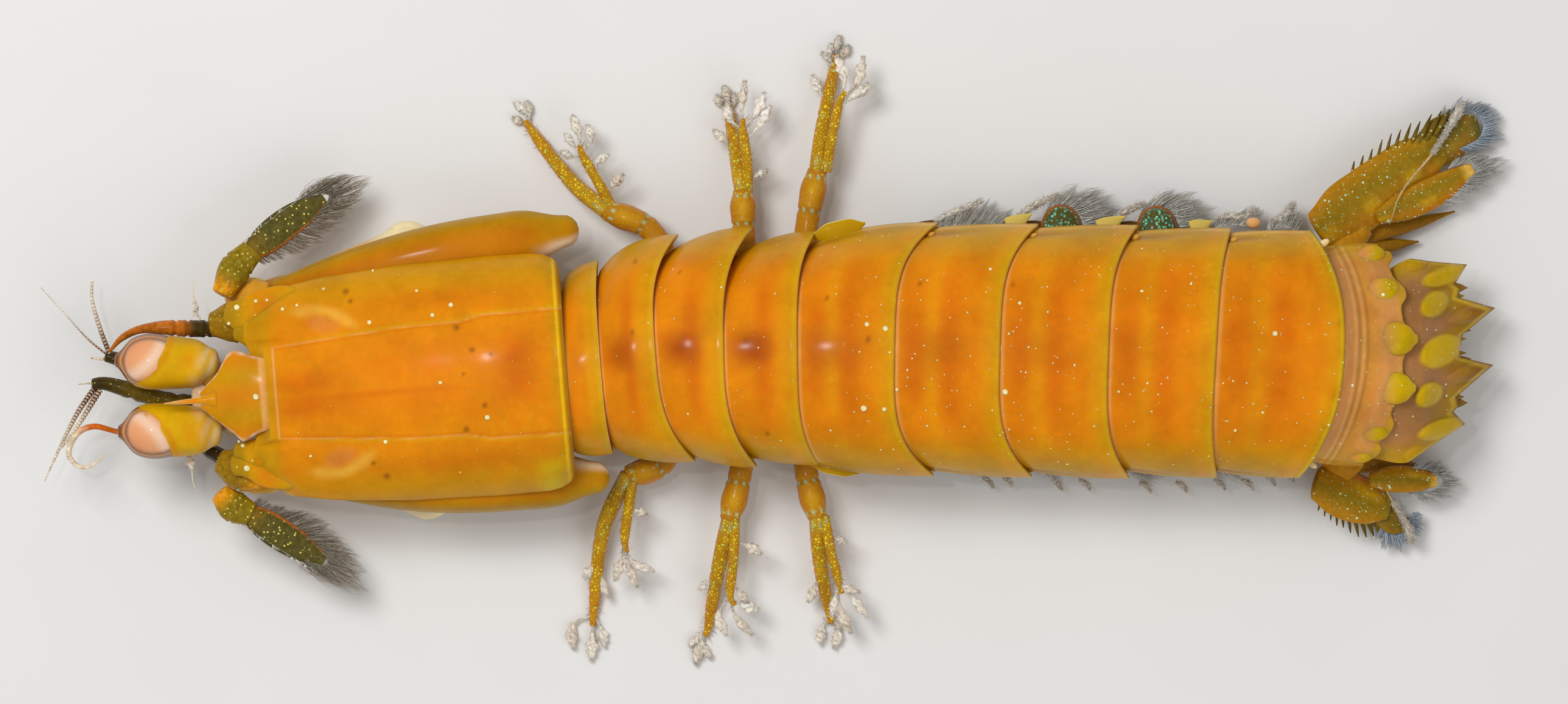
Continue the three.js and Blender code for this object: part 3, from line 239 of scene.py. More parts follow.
def join(*forms):
    """Several forms as one, which may overlap."""
    starts = np.cumsum([0] + [len(f.points) for f in forms[:-1]])
    whole = Form(
        np.vstack([f.points for f in forms]),
        np.vstack([f.quads + start for f, start in zip(forms, starts)]),
        np.vstack([f.tris + start for f, start in zip(forms, starts)]),
        np.concatenate([f.along for f in forms]),
        np.concatenate([f.around for f in forms]),
    )
    whole.tone = np.vstack([f.tone for f in forms])
    whole.fleck = np.concatenate([f.fleck for f in forms])
    if all(f.patch is not None for f in forms):
        whole.patch = np.vstack([f.patch for f in forms])
    return whole


def loft(rings, first, last, along):
    """Rings of equal count skinned into one closed surface that ends on two points."""
    count, sides = rings.shape[:2]
    points = np.vstack([[first], rings.reshape(-1, 3), [last]])
    at = 1 + np.arange(count * sides).reshape(count, sides)
    beside = np.roll(at, -1, axis=1)
    quads = np.stack([at[:-1], at[1:], beside[1:], beside[:-1]], -1).reshape(-1, 4)
    tail = len(points) - 1
    tris = np.vstack([
        np.stack([np.zeros(sides, int), at[0], beside[0]], -1),
        np.stack([np.full(sides, tail), beside[-1], at[-1]], -1),
    ])
    turn = np.linspace(0, 1, sides, endpoint=False)
    shares = np.concatenate([[along[0]], np.repeat(along, sides), [along[-1]]])
    around = np.concatenate([[0], np.tile(turn, count), [0]])
    a, b, c, d = ((points - points.mean(axis=0))[quads[:, k]] for k in range(4))
    if np.einsum("ij,ij->", np.cross(a, b), c) + np.einsum("ij,ij->", np.cross(a, c), d) < 0:
        quads, tris = quads[:, ::-1], tris[:, ::-1]
    return Form(points, quads, tris, shares, around)


def tube(path, widths, heights=None, roll=0.0, power=2.0, floor=None, swell=None):
    """A function from a share along and an angle around to points on a limb's skin."""
    line = Path(path)
    heights = widths if heights is None else heights

    def surface(t, angle):
        along = line.along(t)
        across = unit(np.cross(UP, along))
        upwards = np.cross(along, across)
        c, s = math.cos(roll), math.sin(roll)
        across, upwards = across * c + upwards * s, upwards * c - across * s
        grown = 1 if swell is None else 1 + swell(t, angle)
        wide = profile(widths, t) * signed_power(np.cos(angle), 2 / power) * grown
        high = profile(heights, t) * signed_power(np.sin(angle), 2 / power) * grown
        points = line.at(t) + across * wide[..., None] + upwards * high[..., None]
        if floor is not None:
            points[..., 2] = np.maximum(points[..., 2], floor)
        return points

    surface.line = line
    return surface


CAP_RINGS = 4


def sleeve(surface, start, stop, sides, steps, rounds):
    """The stretch of a tube from start to stop, which may differ round it, with rounded ends."""
    angle = np.linspace(0, TURN, sides, endpoint=False)
    share = np.linspace(0, 1, steps + 1)[:, None]
    t = mix(np.broadcast_to(start, angle.shape), np.broadcast_to(stop, angle.shape), share)
    rings = surface(t, np.broadcast_to(angle, t.shape))
    along = t.mean(axis=1)
    turns = np.linspace(0, math.pi / 2, CAP_RINGS + 1)[1:-1]
    caps, poles = [], []
    for end, side in ((0, -1), (-1, 1)):
        rim = rings[end]
        centre = rim.mean(axis=0)
        size = np.linalg.norm(rim - centre, axis=1).mean()
        out = surface.line.along(np.array([float(along[end])]))[0] * side * size * rounds[end]
        caps.append([centre + (rim - centre) * math.cos(a) + out * math.sin(a) for a in turns])
        poles.append(centre + out)
    rings = np.array([*caps[0][::-1], *rings, *caps[1]])
    more = CAP_RINGS - 1
    along = np.concatenate([np.full(more, along[0]), along, np.full(more, along[-1])])
    return loft(rings, *poles, along)


def limb(path, widths, heights=None, sides=20, steps=32, ends=(0.3, 0.3), **more):
    return sleeve(tube(path, widths, heights, **more), 0.0, 1.0, sides, steps, ends)


def boss(centre, sizes, turn=0.0, pitch=0.0, sides=24, rings=14):
    """An egg-shaped form, longer along its own x."""
    a = np.linspace(0, math.pi, rings + 2)[1:-1, None]
    b = np.linspace(0, TURN, sides, endpoint=False)[None, :]
    shape = np.stack([-np.cos(a) + 0 * b, np.sin(a) * np.cos(b), np.sin(a) * np.sin(b)], -1) * sizes
    end = vec(sizes[0], 0, 0)

    def placed(p):
        c, s = math.cos(pitch), math.sin(pitch)
        p = np.stack([c * p[..., 0] + s * p[..., 2], p[..., 1], c * p[..., 2] - s * p[..., 0]], -1)
        return turned(p, math.cos(turn), math.sin(turn)) + centre

    return loft(placed(shape), placed(-end), placed(end), np.linspace(0, 1, rings))


SETA_STATIONS = np.array([0.0, 0.35, 0.7])
SETA_SIDES = 3
SETA_TAPER = 0.75


def setae(roots, tips, radius, tone, patches, bend=0.1):
    """Thin tapered hairs from their roots to their tips, each bent a little, as one form."""
    count = len(roots)
    reach = tips - roots
    size = np.linalg.norm(reach, axis=1, keepdims=True)
    along = unit(reach)
    across = unit(np.cross(along, UP + DRAW.normal(0, 0.2, (count, 3))))
    upwards = np.cross(along, across)
    lean = (across * DRAW.normal(0, bend, (count, 1)) + upwards * DRAW.normal(0, bend, (count, 1))) * size
    radius = np.broadcast_to(radius, (count,))[:, None, None]
    s = SETA_STATIONS[None, :, None]
    centre = roots[:, None] + reach[:, None] * s + lean[:, None] * (4 * s * (1 - s))
    turn = np.arange(SETA_SIDES) * TURN / SETA_SIDES
    ring = across[:, None, None] * np.cos(turn)[:, None] + upwards[:, None, None] * np.sin(turn)[:, None]
    body = centre[:, :, None] + ring * (radius * (1 - SETA_TAPER * s))[:, :, :, None]
    rows = len(SETA_STATIONS)
    each = rows * SETA_SIDES + 1
    points = np.concatenate([body.reshape(count, -1, 3), tips[:, None]], axis=1).reshape(-1, 3)
    k = np.arange(SETA_SIDES)
    beside = (k + 1) % SETA_SIDES
    quads = np.vstack([np.stack([r * 3 + k, r * 3 + beside, r * 3 + 3 + beside, r * 3 + 3 + k], -1)
                       for r in range(rows - 1)])
    last = (rows - 1) * SETA_SIDES
    tris = np.vstack([np.stack([last + k, last + beside, np.full(3, each - 1)], -1), [[2, 1, 0]]])
    starts = (np.arange(count) * each)[:, None, None]
    form = Form(points, (quads[None] + starts).reshape(-1, 4), (tris[None] + starts).reshape(-1, 3))
    form.tone = np.repeat(np.broadcast_to(tone, (count, 3)), each, axis=0)
    place = np.concatenate([np.repeat(SETA_STATIONS, SETA_SIDES), [1.0]])
    side = np.concatenate([np.tile(k / SETA_SIDES, rows), [0.5]])
    form.patch = (patches[:, None] + np.stack([place, side], -1)[None] * PATCH * 0.8).reshape(-1, 2)
    form.along = np.tile(place, count)
    return form


FRINGE_SPAN = 0.2
CLUMPING = 0.72


def fringe(roots, tips, count, radius, tone, patches, rows=2, uneven=0.15, thick=0.06, clumps=0,
           pale_tips=0.0):
    """Setae from along a root line to along a tip line, in rows above one another, some in clumps."""
    share = np.clip(np.linspace(0, 1, count) + DRAW.normal(0, 0.3 / count, count), 0, 1)
    reach = DRAW.uniform(1 - uneven, 1, count)
    heading = np.clip(share + DRAW.normal(0, 0.01, count), 0, 1)
    shade = tone * DRAW.uniform(0.8, 1.15, (count, 1))
    if clumps:
        clump = np.minimum((share * clumps).astype(int), clumps - 1)
        middle = (clump + DRAW.uniform(0.2, 0.8, clumps)[clump]) / clumps
        heading = mix(heading, middle, CLUMPING)
        reach = reach * DRAW.uniform(1 - 1.6 * uneven, 1, clumps)[clump]
        shade = shade * DRAW.uniform(0.7, 1.15, (clumps, 1))[clump]
    start = Path(roots).at(share)
    end = mix(start, Path(tips).at(heading), reach[:, None])
    lift = (np.arange(count) % rows - (rows - 1) / 2) * thick
    start[:, 2] += lift
    end[:, 2] = np.maximum(end[:, 2] + lift * 2 + DRAW.normal(0, thick, count), 0.03)
    places = np.stack([patches[0] + share * FRINGE_SPAN, np.full(count, patches[1])], -1)
    form = setae(start, end, radius * DRAW.uniform(0.8, 1.2, count), shade, places)
    form.tone = layers(form.tone, (FLUFF_WHITE, pale_tips * ease(form.along, 0.5, 1)))
    return form


SPECK_SIDES = 8
SPECK_HEIGHT = 0.4
SPECK_SHOULDER = 0.7
SPECKS = []


def speck_form(place, normal, radius, tone, patches):
    """Tiny raised dots on a surface, each a low closed dome."""
    across = unit(np.cross(normal, UP + vec(0.31, 0.17, 0)))
    upwards = np.cross(normal, across)
    turn = np.arange(SPECK_SIDES) * TURN / SPECK_SIDES
    ring = across[:, None] * np.cos(turn)[:, None] + upwards[:, None] * np.sin(turn)[:, None]
    size = radius[:, None]
    raised = (normal * size * SPECK_HEIGHT)[:, None]
    centre = place[:, None]
    points = np.concatenate([centre + ring * size[:, :, None],
                             centre + ring * size[:, :, None] * SPECK_SHOULDER + raised * 0.75,
                             centre + raised, centre - raised], 1)
    top, bottom = (np.full(SPECK_SIDES, 2 * SPECK_SIDES + end) for end in (0, 1))
    k = np.arange(SPECK_SIDES)
    beside = (k + 1) % SPECK_SIDES
    high, low = k + SPECK_SIDES, beside + SPECK_SIDES
    tris = np.vstack([np.stack(corners, -1) for corners in
                      ((high, low, top), (k, beside, low), (k, low, high), (beside, k, bottom))])
    each = 2 * SPECK_SIDES + 2
    starts = (np.arange(len(place)) * each)[:, None, None]
    form = Form(points.reshape(-1, 3), np.zeros((0, 4), int), (tris[None] + starts).reshape(-1, 3))
    form.tone = np.repeat(tone, each, axis=0)
    circle = np.stack([np.cos(turn), np.sin(turn)], -1)
    flat = np.vstack([circle * 0.5 + 0.5, circle * 0.35 + 0.5, [[0.5, 0.5], [0.5, 0.5]]])
    form.patch = (patches[:, None] + flat[None] * PATCH).reshape(-1, 2)
    return form


LARGE_SPECK = 1.9


def sprinkle(form, density, size=0.034, large=0.06, tone=CREAM):
    """Strews specks over a form, with a density for each square millimetre of its upper side."""
    corners = form.points[form.quads]
    normal = np.cross(corners[:, 2] - corners[:, 0], corners[:, 3] - corners[:, 1])
    area = np.linalg.norm(normal, axis=1) / 2
    normal = unit(normal)
    share = np.stack([form.along[form.quads].mean(axis=1), form.around[form.quads[:, 0]]], -1)
    weight = area * density * np.clip(normal[:, 2] + 0.1, 0, 1)
    count = DRAW.poisson(weight.sum())
    pick = DRAW.choice(len(weight), count, p=weight / weight.sum())
    u, v = DRAW.uniform(0, 1, (2, count, 1))
    a, b, c, d = corners[pick].transpose(1, 0, 2)
    place = mix(mix(a, b, u), mix(d, c, u), v)
    radius = np.clip(DRAW.lognormal(math.log(size), 0.3, count), size * 0.6, size * 2)
    radius = np.where(DRAW.uniform(0, 1, count) < large, radius * LARGE_SPECK, radius)
    shade = tone * DRAW.uniform(0.8, 1.05, (count, 1))
    SPECKS.append((place, normal[pick], radius, shade, share[pick]))


def dot(form, x, y, radius):
    """One larger pale dot on the upper side of a form."""
    away = np.hypot(form.points[:, 0] - x, form.points[:, 1] - y)
    near = np.where(away < max(0.08, away.min() + 0.02), form.points[:, 2], -1).argmax()
    place = vec(x, y, form.points[near, 2])
    share = vec(form.along[near], form.around[near])
    SPECKS.append((place[None], UP[None], vec(radius), CREAM[None], share[None]))


def build_specks():
    place, normal, radius, tone, share = (np.concatenate(column) for column in zip(*SPECKS))
    form = speck_form(place, normal, radius, tone, 0.02 + 0.95 * share)
    piece("shell_specks", form, FLUFF)


def piece(name, form, material, nodes=(), slot=None):
    """A mesh object of the form, in metres, riding on the body."""
    mesh = bpy.data.meshes.new(name)
    quads, tris = form.quads, form.tris
    form.points[:, 2] = np.maximum(form.points[:, 2], 0)
    corners = np.concatenate([quads.ravel(), tris.ravel()]).astype(np.int32)
    totals = np.concatenate([np.full(len(quads), 4), np.full(len(tris), 3)]).astype(np.int32)
    starts = np.concatenate([[0], np.cumsum(totals)[:-1]]).astype(np.int32)
    mesh.vertices.add(len(form.points))
    mesh.vertices.foreach_set("co", (form.points * MM).astype(np.float32).ravel())
    mesh.loops.add(len(corners))
    mesh.loops.foreach_set("vertex_index", corners)
    mesh.polygons.add(len(totals))
    mesh.polygons.foreach_set("loop_start", starts)
    mesh.polygons.foreach_set("use_smooth", np.ones(len(totals), bool))
    tone = mesh.attributes.new("Tone", "FLOAT_COLOR", "POINT")
    shade = np.hstack([np.clip(form.tone, 0, 1), np.ones((len(form.points), 1))])
    tone.data.foreach_set("color", shade.astype(np.float32).ravel())
    fleck = mesh.attributes.new("Fleck", "FLOAT", "POINT")
    fleck.data.foreach_set("value", form.fleck.astype(np.float32))
    if form.patch is not None:
        layer = mesh.uv_layers.new(name="OFBake")
        layer.uv.foreach_set("vector", form.patch[corners].astype(np.float32).ravel())
    mesh.materials.append(material)
    mesh.update(calc_edges=True)
    mesh.validate()
    obj = bpy.data.objects.new(name, mesh)
    bpy.context.scene.collection.objects.link(obj)
    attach(obj, BODY)
    if nodes:
        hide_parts(*nodes)
    return obj


def dress(node, part, form, material, slot):
    """The piece that stands in for one node of the frame."""
    return piece(f"{node}_{part}", form, material, [node], slot)


# Materials

class Shader:
    """A material's node tree, with the coordinates in millimetres and the painted colour."""

    def __init__(self, name, depth=0.4, **settings):
        """Depth is how far light scatters under the skin, in millimetres."""
        self.material = bpy.data.materials.new(name)
        self.material.use_nodes = True
        self.tree = self.material.node_tree
        self.surface = self.tree.nodes["Principled BSDF"]
        for socket, value in settings.items():
            self.surface.inputs[socket.replace("_", " ")].default_value = value
        if settings:
            self.surface.inputs["Subsurface Scale"].default_value = depth * MM
        coordinates = self.node("ShaderNodeTexCoord").outputs["Object"]
        self.place = self.node("ShaderNodeVectorMath", {0: coordinates}, operation="SCALE")
        self.place.inputs["Scale"].default_value = 1 / MM
        self.place = self.place.outputs["Vector"]
        self.tone = self.node("ShaderNodeAttribute", attribute_name="Tone").outputs["Color"]
        self.fleck = self.node("ShaderNodeAttribute", attribute_name="Fleck").outputs["Fac"]

    def node(self, kind, inputs=None, **settings):
        made = self.tree.nodes.new(kind)
        for key, value in settings.items():
            setattr(made, key, value)
        for key, value in (inputs or {}).items():
            self.feed(made.inputs[key], value)
        return made

    def feed(self, socket, value):
        if hasattr(value, "links"):
            self.tree.links.new(value, socket)
        else:
            socket.default_value = value

    def math(self, operation, *values):
        return self.node("ShaderNodeMath", dict(enumerate(values)), operation=operation).outputs[0]

    def times(self, a, b):
        return self.math("MULTIPLY", a, b)

    def noise(self, scale, detail=2.0, roughness=0.5, place=None):
        inputs = {"Vector": place or self.place, "Scale": scale, "Detail": detail, "Roughness": roughness}
        return self.node("ShaderNodeTexNoise", inputs).outputs["Fac"]

    def aside(self, shift):
        """The coordinates moved, so that a second noise differs from the first."""
        inputs = {0: self.place, 1: (shift, shift, shift)}
        return self.node("ShaderNodeVectorMath", inputs, operation="ADD").outputs["Vector"]

    def cells(self, scale, feature="F1"):
        inputs = {"Vector": self.place, "Scale": scale}
        return self.node("ShaderNodeTexVoronoi", inputs, feature=feature).outputs

    def edges(self, scale):
        return self.cells(scale, "DISTANCE_TO_EDGE")["Distance"]

    def lots(self, cells):
        """Three random values for each cell."""
        return self.node("ShaderNodeSeparateColor", {0: cells["Color"]}).outputs

    def ramp(self, value, low, high, to_low=0.0, to_high=1.0):
        inputs = {"Value": value, "From Min": low, "From Max": high, "To Min": to_low, "To Max": to_high}
        return self.node("ShaderNodeMapRange", inputs, interpolation_type="SMOOTHSTEP").outputs["Result"]

    def vary(self, value, low, high):
        """The middle of a noise stretched to run from low to high."""
        return self.ramp(value, 0.3, 0.7, low, high)

    def mix(self, share, a, b, kind="MIX"):
        made = self.node("ShaderNodeMix", data_type="RGBA", blend_type=kind)
        self.feed(made.inputs["Factor"], share)
        for name, value in (("A", a), ("B", b)):
            socket = next(i for i in made.inputs if i.name == name and i.type == "RGBA")
            self.feed(socket, value if hasattr(value, "links") else (*value, 1.0))
        return next(o for o in made.outputs if o.type == "RGBA")

    def tinted(self, colour, tint):
        return self.mix(1.0, colour, tint, "MULTIPLY")

    def shaded(self, brightness):
        """The painted colour made brighter or darker."""
        grey = self.node("ShaderNodeCombineColor", {0: brightness, 1: brightness, 2: brightness})
        return self.tinted(self.tone, grey.outputs[0])

    def finish(self, colour, roughness, height, depth=0.02):
        """Depth is the height of the relief, in millimetres."""
        self.feed(self.surface.inputs["Base Color"], colour)
        self.feed(self.surface.inputs["Roughness"], roughness)
        relief = self.node("ShaderNodeBump", {"Height": height, "Strength": 1.0, "Distance": depth * MM})
        self.feed(self.surface.inputs["Normal"], relief.outputs["Normal"])
        return self.material


SHELL_SCATTER = (1.0, 0.45, 0.12)
WARM_TINT = (0.95, 0.72, 0.5)
GOLDEN_TINT = (1.05, 1.25, 1.0)
PORES_EACH_MM = 5.5


def shell_material(name, mottle=0.1, roughness=0.42):
    """Waxy chitin: painted colour, softly mottled, with faint pores."""
    shader = Shader(name, 0.7, Subsurface_Weight=0.25, Specular_IOR_Level=0.12, Coat_Weight=0.13,
                    Coat_Roughness=0.12)
    shader.surface.inputs["Subsurface Radius"].default_value = SHELL_SCATTER
    cloud = shader.noise(0.45, 3.0)
    fine = shader.noise(3.2, 4.0, 0.6)
    bright = shader.math("ADD", shader.vary(cloud, 1 - mottle, 1 + mottle * 0.6),
                         shader.vary(fine, -mottle * 0.4, mottle * 0.4))
    colour = shader.shaded(bright)
    warm = shader.ramp(shader.noise(0.8, 4.0, 0.65), 0.48, 0.72, 0.0, 0.5)
    colour = shader.mix(warm, colour, shader.tinted(colour, WARM_TINT))
    golden = shader.ramp(shader.noise(1.3, 4.0, 0.65, shader.aside(31.0)), 0.52, 0.74, 0.0, 0.4)
    colour = shader.mix(golden, colour, shader.tinted(colour, GOLDEN_TINT))
    pores = shader.ramp(shader.cells(PORES_EACH_MM)["Distance"], 0.0, 0.16)
    height = shader.math("ADD", shader.times(fine, 0.8), shader.times(pores, 0.25))
    return shader.finish(colour, shader.vary(fine, roughness - 0.06, roughness + 0.08), height, 0.01)


LEG_DOT = srgb(246, 216, 44)
LEG_DOT_GREEN = srgb(196, 214, 96)
LEG_SHADE = (0.72, 0.62, 0.45)
LEG_CELLS_EACH_MM = 6.2


def leg_material():
    """Golden skin strewn with bright cells, where the fleck value is high."""
    shader = Shader("leg_gold", Subsurface_Weight=0.15, Specular_IOR_Level=0.3, Coat_Weight=0.3,
                    Coat_Roughness=0.12)
    lots = shader.lots(shader.cells(LEG_CELLS_EACH_MM))
    inside = shader.ramp(shader.edges(LEG_CELLS_EACH_MM), 0.0, 0.34)
    light = shader.mix(shader.ramp(lots[0], 0.3, 0.95), shader.tone, LEG_DOT)
    light = shader.mix(shader.ramp(lots[1], 0.84, 0.94), light, LEG_DOT_GREEN)
    cells = shader.mix(inside, shader.tinted(shader.tone, LEG_SHADE), light)
    patches = shader.ramp(shader.noise(0.8, 2.0), 0.3, 0.5, 0.45, 1.0)
    colour = shader.mix(shader.times(shader.fleck, patches), shader.tone, cells)
    fine = shader.noise(4.0, 3.0)
    height = shader.math("ADD", shader.times(inside, shader.fleck), shader.times(fine, 0.5))
    return shader.finish(colour, shader.vary(fine, 0.3, 0.45), height, 0.015)


DOT_GREEN = srgb(190, 200, 110)


def dotted_material(name, dot_tone, dots_each_mm, radius, roughness=0.4, mottle=0.22):
    """Dark skin with round bright dots in some cells, more of them where the fleck value is high."""
    shader = Shader(name, Subsurface_Weight=0.1, Specular_IOR_Level=0.25, Coat_Weight=0.25,
                    Coat_Roughness=0.12)
    cells = shader.cells(dots_each_mm)
    near = shader.ramp(cells["Distance"], radius, radius * 0.55)
    chosen = shader.math("LESS_THAN", shader.lots(cells)[0], shader.times(shader.fleck, 1.0))
    dots = shader.times(near, chosen)
    bright = shader.mix(shader.noise(1.3), dot_tone, DOT_GREEN)
    fine = shader.noise(4.0, 3.0)
    colour = shader.mix(dots, shader.shaded(shader.vary(fine, 1 - mottle, 1 + mottle)), bright)
    return shader.finish(colour, shader.vary(fine, roughness - 0.1, roughness + 0.05),
                         shader.math("ADD", dots, fine))


FACETS_EACH_MM = 17.0


def cornea_material():
    """Smooth eye surface of tiny facets under a clear coat."""
    shader = Shader("cornea", Subsurface_Weight=0.3, Specular_IOR_Level=0.3, Coat_Weight=0.5,
                    Coat_Roughness=0.08)
    facets = shader.edges(FACETS_EACH_MM)
    colour = shader.shaded(shader.ramp(facets, 0.0, 0.14, 0.95, 1.02))
    return shader.finish(colour, 0.25, shader.ramp(facets, 0.0, 0.12), 0.003)


TEAL_DARK = srgb(24, 104, 104)
TEAL_BRIGHT = srgb(140, 232, 190)
TEAL_SCALES_EACH_MM = 6.0


def teal_material():
    """A flap with a patch of teal scales, where the fleck value is high."""
    shader = Shader("flap", 0.3, Subsurface_Weight=0.1, Specular_IOR_Level=0.3, Coat_Weight=0.4,
                    Coat_Roughness=0.12)
    cells = shader.cells(TEAL_SCALES_EACH_MM)
    spark = shader.mix(shader.lots(cells)[0], TEAL_DARK, TEAL_BRIGHT)
    inside = shader.ramp(cells["Distance"], 0.5, 0.3)
    colour = shader.mix(shader.times(shader.fleck, inside), shader.tone, spark)
    return shader.finish(colour, 0.35, shader.noise(5.0, 3.0))


def plain_material(name, roughness):
    """Painted colour with fine variation, for setae and soft skin."""
    shader = Shader(name, Subsurface_Weight=0.2)
    fine = shader.noise(6.0, 2.0)
    colour = shader.shaded(shader.vary(fine, 0.85, 1.15))
    return shader.finish(colour, shader.vary(fine, roughness - 0.05, roughness + 0.05), fine, 0.015)


SHELL = shell_material("shell_orange")
TAIL = shell_material("shell_tail", 0.14, 0.4)
LEG = leg_material()
SCALE = dotted_material("scale_dots", srgb(240, 214, 90), 3.9, 0.26)
FEELER = dotted_material("feeler_dots", srgb(226, 190, 90), 4.2, 0.2, 0.45)
UROPOD = dotted_material("uropod_dots", srgb(150, 206, 150), 4.2, 0.2, 0.4, 0.1)
CORNEA = cornea_material()
FLAP = teal_material()
SETAE = plain_material("setae", 0.5)
FLUFF = plain_material("setal_tufts", 0.8)


# Trunk

HEAD_SLOPE = math.tan(HEAD_TURN)
TAIL_SLOPE = -0.011
TAIL_OFFSET = 0.2


def middle_y(x):
    head_line = NECK_Y + HEAD_SLOPE * (x - NECK_X)
    tail_line = TAIL_OFFSET + TAIL_SLOPE * x
    return mix(head_line, tail_line, ease(x, -13, -5))


def neck_line(y):
    return NECK_X - HEAD_SLOPE * (y - NECK_Y)


WIDE = TRUNK_HALF_WIDTH
HIGH = BACK_HEIGHT
# Name, rear line, sweep of its corners and its power, tilt, share of the width at the right and the
# left shoulder, half width, height of the back and strength of the dark stripe along it
SOMITE_KEYS = ("name", "rear", "sweep", "power", "tilt", "shoulder", "half_width", "top", "stripe")
SOMITES = [dict(zip(SOMITE_KEYS, row)) for row in (
    ("thoracic_somite_5", -9.0, 0.2, 4, 0.08, (0.86, 0.9), 4.75, 8.4, 0.3),
    ("thoracic_somite_6", -6.3, 1.5, 3.4, 0.076, (0.71, 0.78), 5.6, 8.7, 0.7),
    ("thoracic_somite_7", -2.95, 1.5, 3.4, 0.02, (0.76, 0.9), 5.9, 8.9, 0.85),
    ("thoracic_somite_8", 0.65, 1.0, 4, 0.01, (0.76, 0.93), 5.75, 9.0, 0.85),
    ("abdominal_somite_1", 5.4, 2.1, 4, -0.02, (0.8, 0.92), WIDE, HIGH, 0.45),
    ("abdominal_somite_2", 10.55, 1.85, 4, -0.03, (0.955, 0.94), WIDE, HIGH, 0.35),
    ("abdominal_somite_3", 15.85, 1.4, 4, -0.04, (0.96, 0.94), WIDE, HIGH, 0.25),
    ("abdominal_somite_4", 21.1, 0.6, 4, -0.06, (0.96, 0.94), WIDE - 0.1, HIGH - 0.1, 0.12),
    ("abdominal_somite_5", 27.4, -1.7, 2.4, -0.05, (0.97, 0.95), WIDE - 0.15, HIGH - 0.6, 0),
    ("abdominal_somite_6", 30.4, -1.5, 2, -0.07, (0.95, 0.95), 5.5, HIGH - 2.0, 0),
)]
FIRST_ABDOMINAL = 4
LAST_ORANGE = 8
LAST = 9
TRUNK_STEP = 0.09
SEAM = 0.05
TUCK = 0.9
FLARE = 1.15
SIDE_SPREAD = 0.65
SECTION_POWER = 2.25
BELLY_POWER = 3.2
TAIL_BELLY_RISE = 0.6
TRUNK_SIDES = 160
TRUNK_STATIONS = 56
# Bulges of the last somite's rear edge: place across and half width
TAIL_LOBES = ((-1.77, 0.8), (0.64, 0.8), (-3.75, 0.65), (2.96, 0.65), (-4.95, 0.5), (4.85, 0.5))
FAN_TOP = 5.2
# The rear lip turned under: how far in and how far back
LIP_RINGS = ((0.02, 0.025), (0.08, 0.03), (0.15, 0.0), (0.2, -0.15), (0.35, -0.6))


def rear_line(somite, y):
    side = (y - middle_y(somite["rear"])) / somite["half_width"]
    swept = somite["sweep"] * np.minimum(1, np.abs(side)) ** somite["power"]
    return somite["rear"] + swept - somite["tilt"] * side * somite["half_width"]


def lobes(y):
    """Where the last somite's rear edge bulges, as a value from 0 to 1."""
    return sum(np.exp(-np.abs((y - at) / wide * 1.25) ** 3.0) for at, wide in TAIL_LOBES)


def trunk_section(x, angle, half_width, top):
    belly = BELLY_HEIGHT + TAIL_BELLY_RISE * ease(x, 23, 28)
    upper = np.sin(angle) >= 0
    power = np.where(upper, SECTION_POWER, BELLY_POWER)
    height = np.where(upper, top - SIDE_HEIGHT, SIDE_HEIGHT - belly)
    c = signed_power(np.cos(angle), 2 / power)
    s = signed_power(np.sin(angle), 2 / power)
    tucked = 1 - 0.07 * ease(-s, 0.25, 0.5)
    z = SIDE_HEIGHT + height * s
    y = middle_y(x) + half_width * c * tucked - TRUNK_LEAN * (z - SIDE_HEIGHT)
    return y, z


def back_height(somite, y):
    side = np.clip(np.abs(y - middle_y(somite["rear"])) / somite["half_width"], 0, 0.99)
    return SIDE_HEIGHT + (somite["top"] - SIDE_HEIGHT) * (1 - side ** SECTION_POWER) ** (1 / SECTION_POWER)


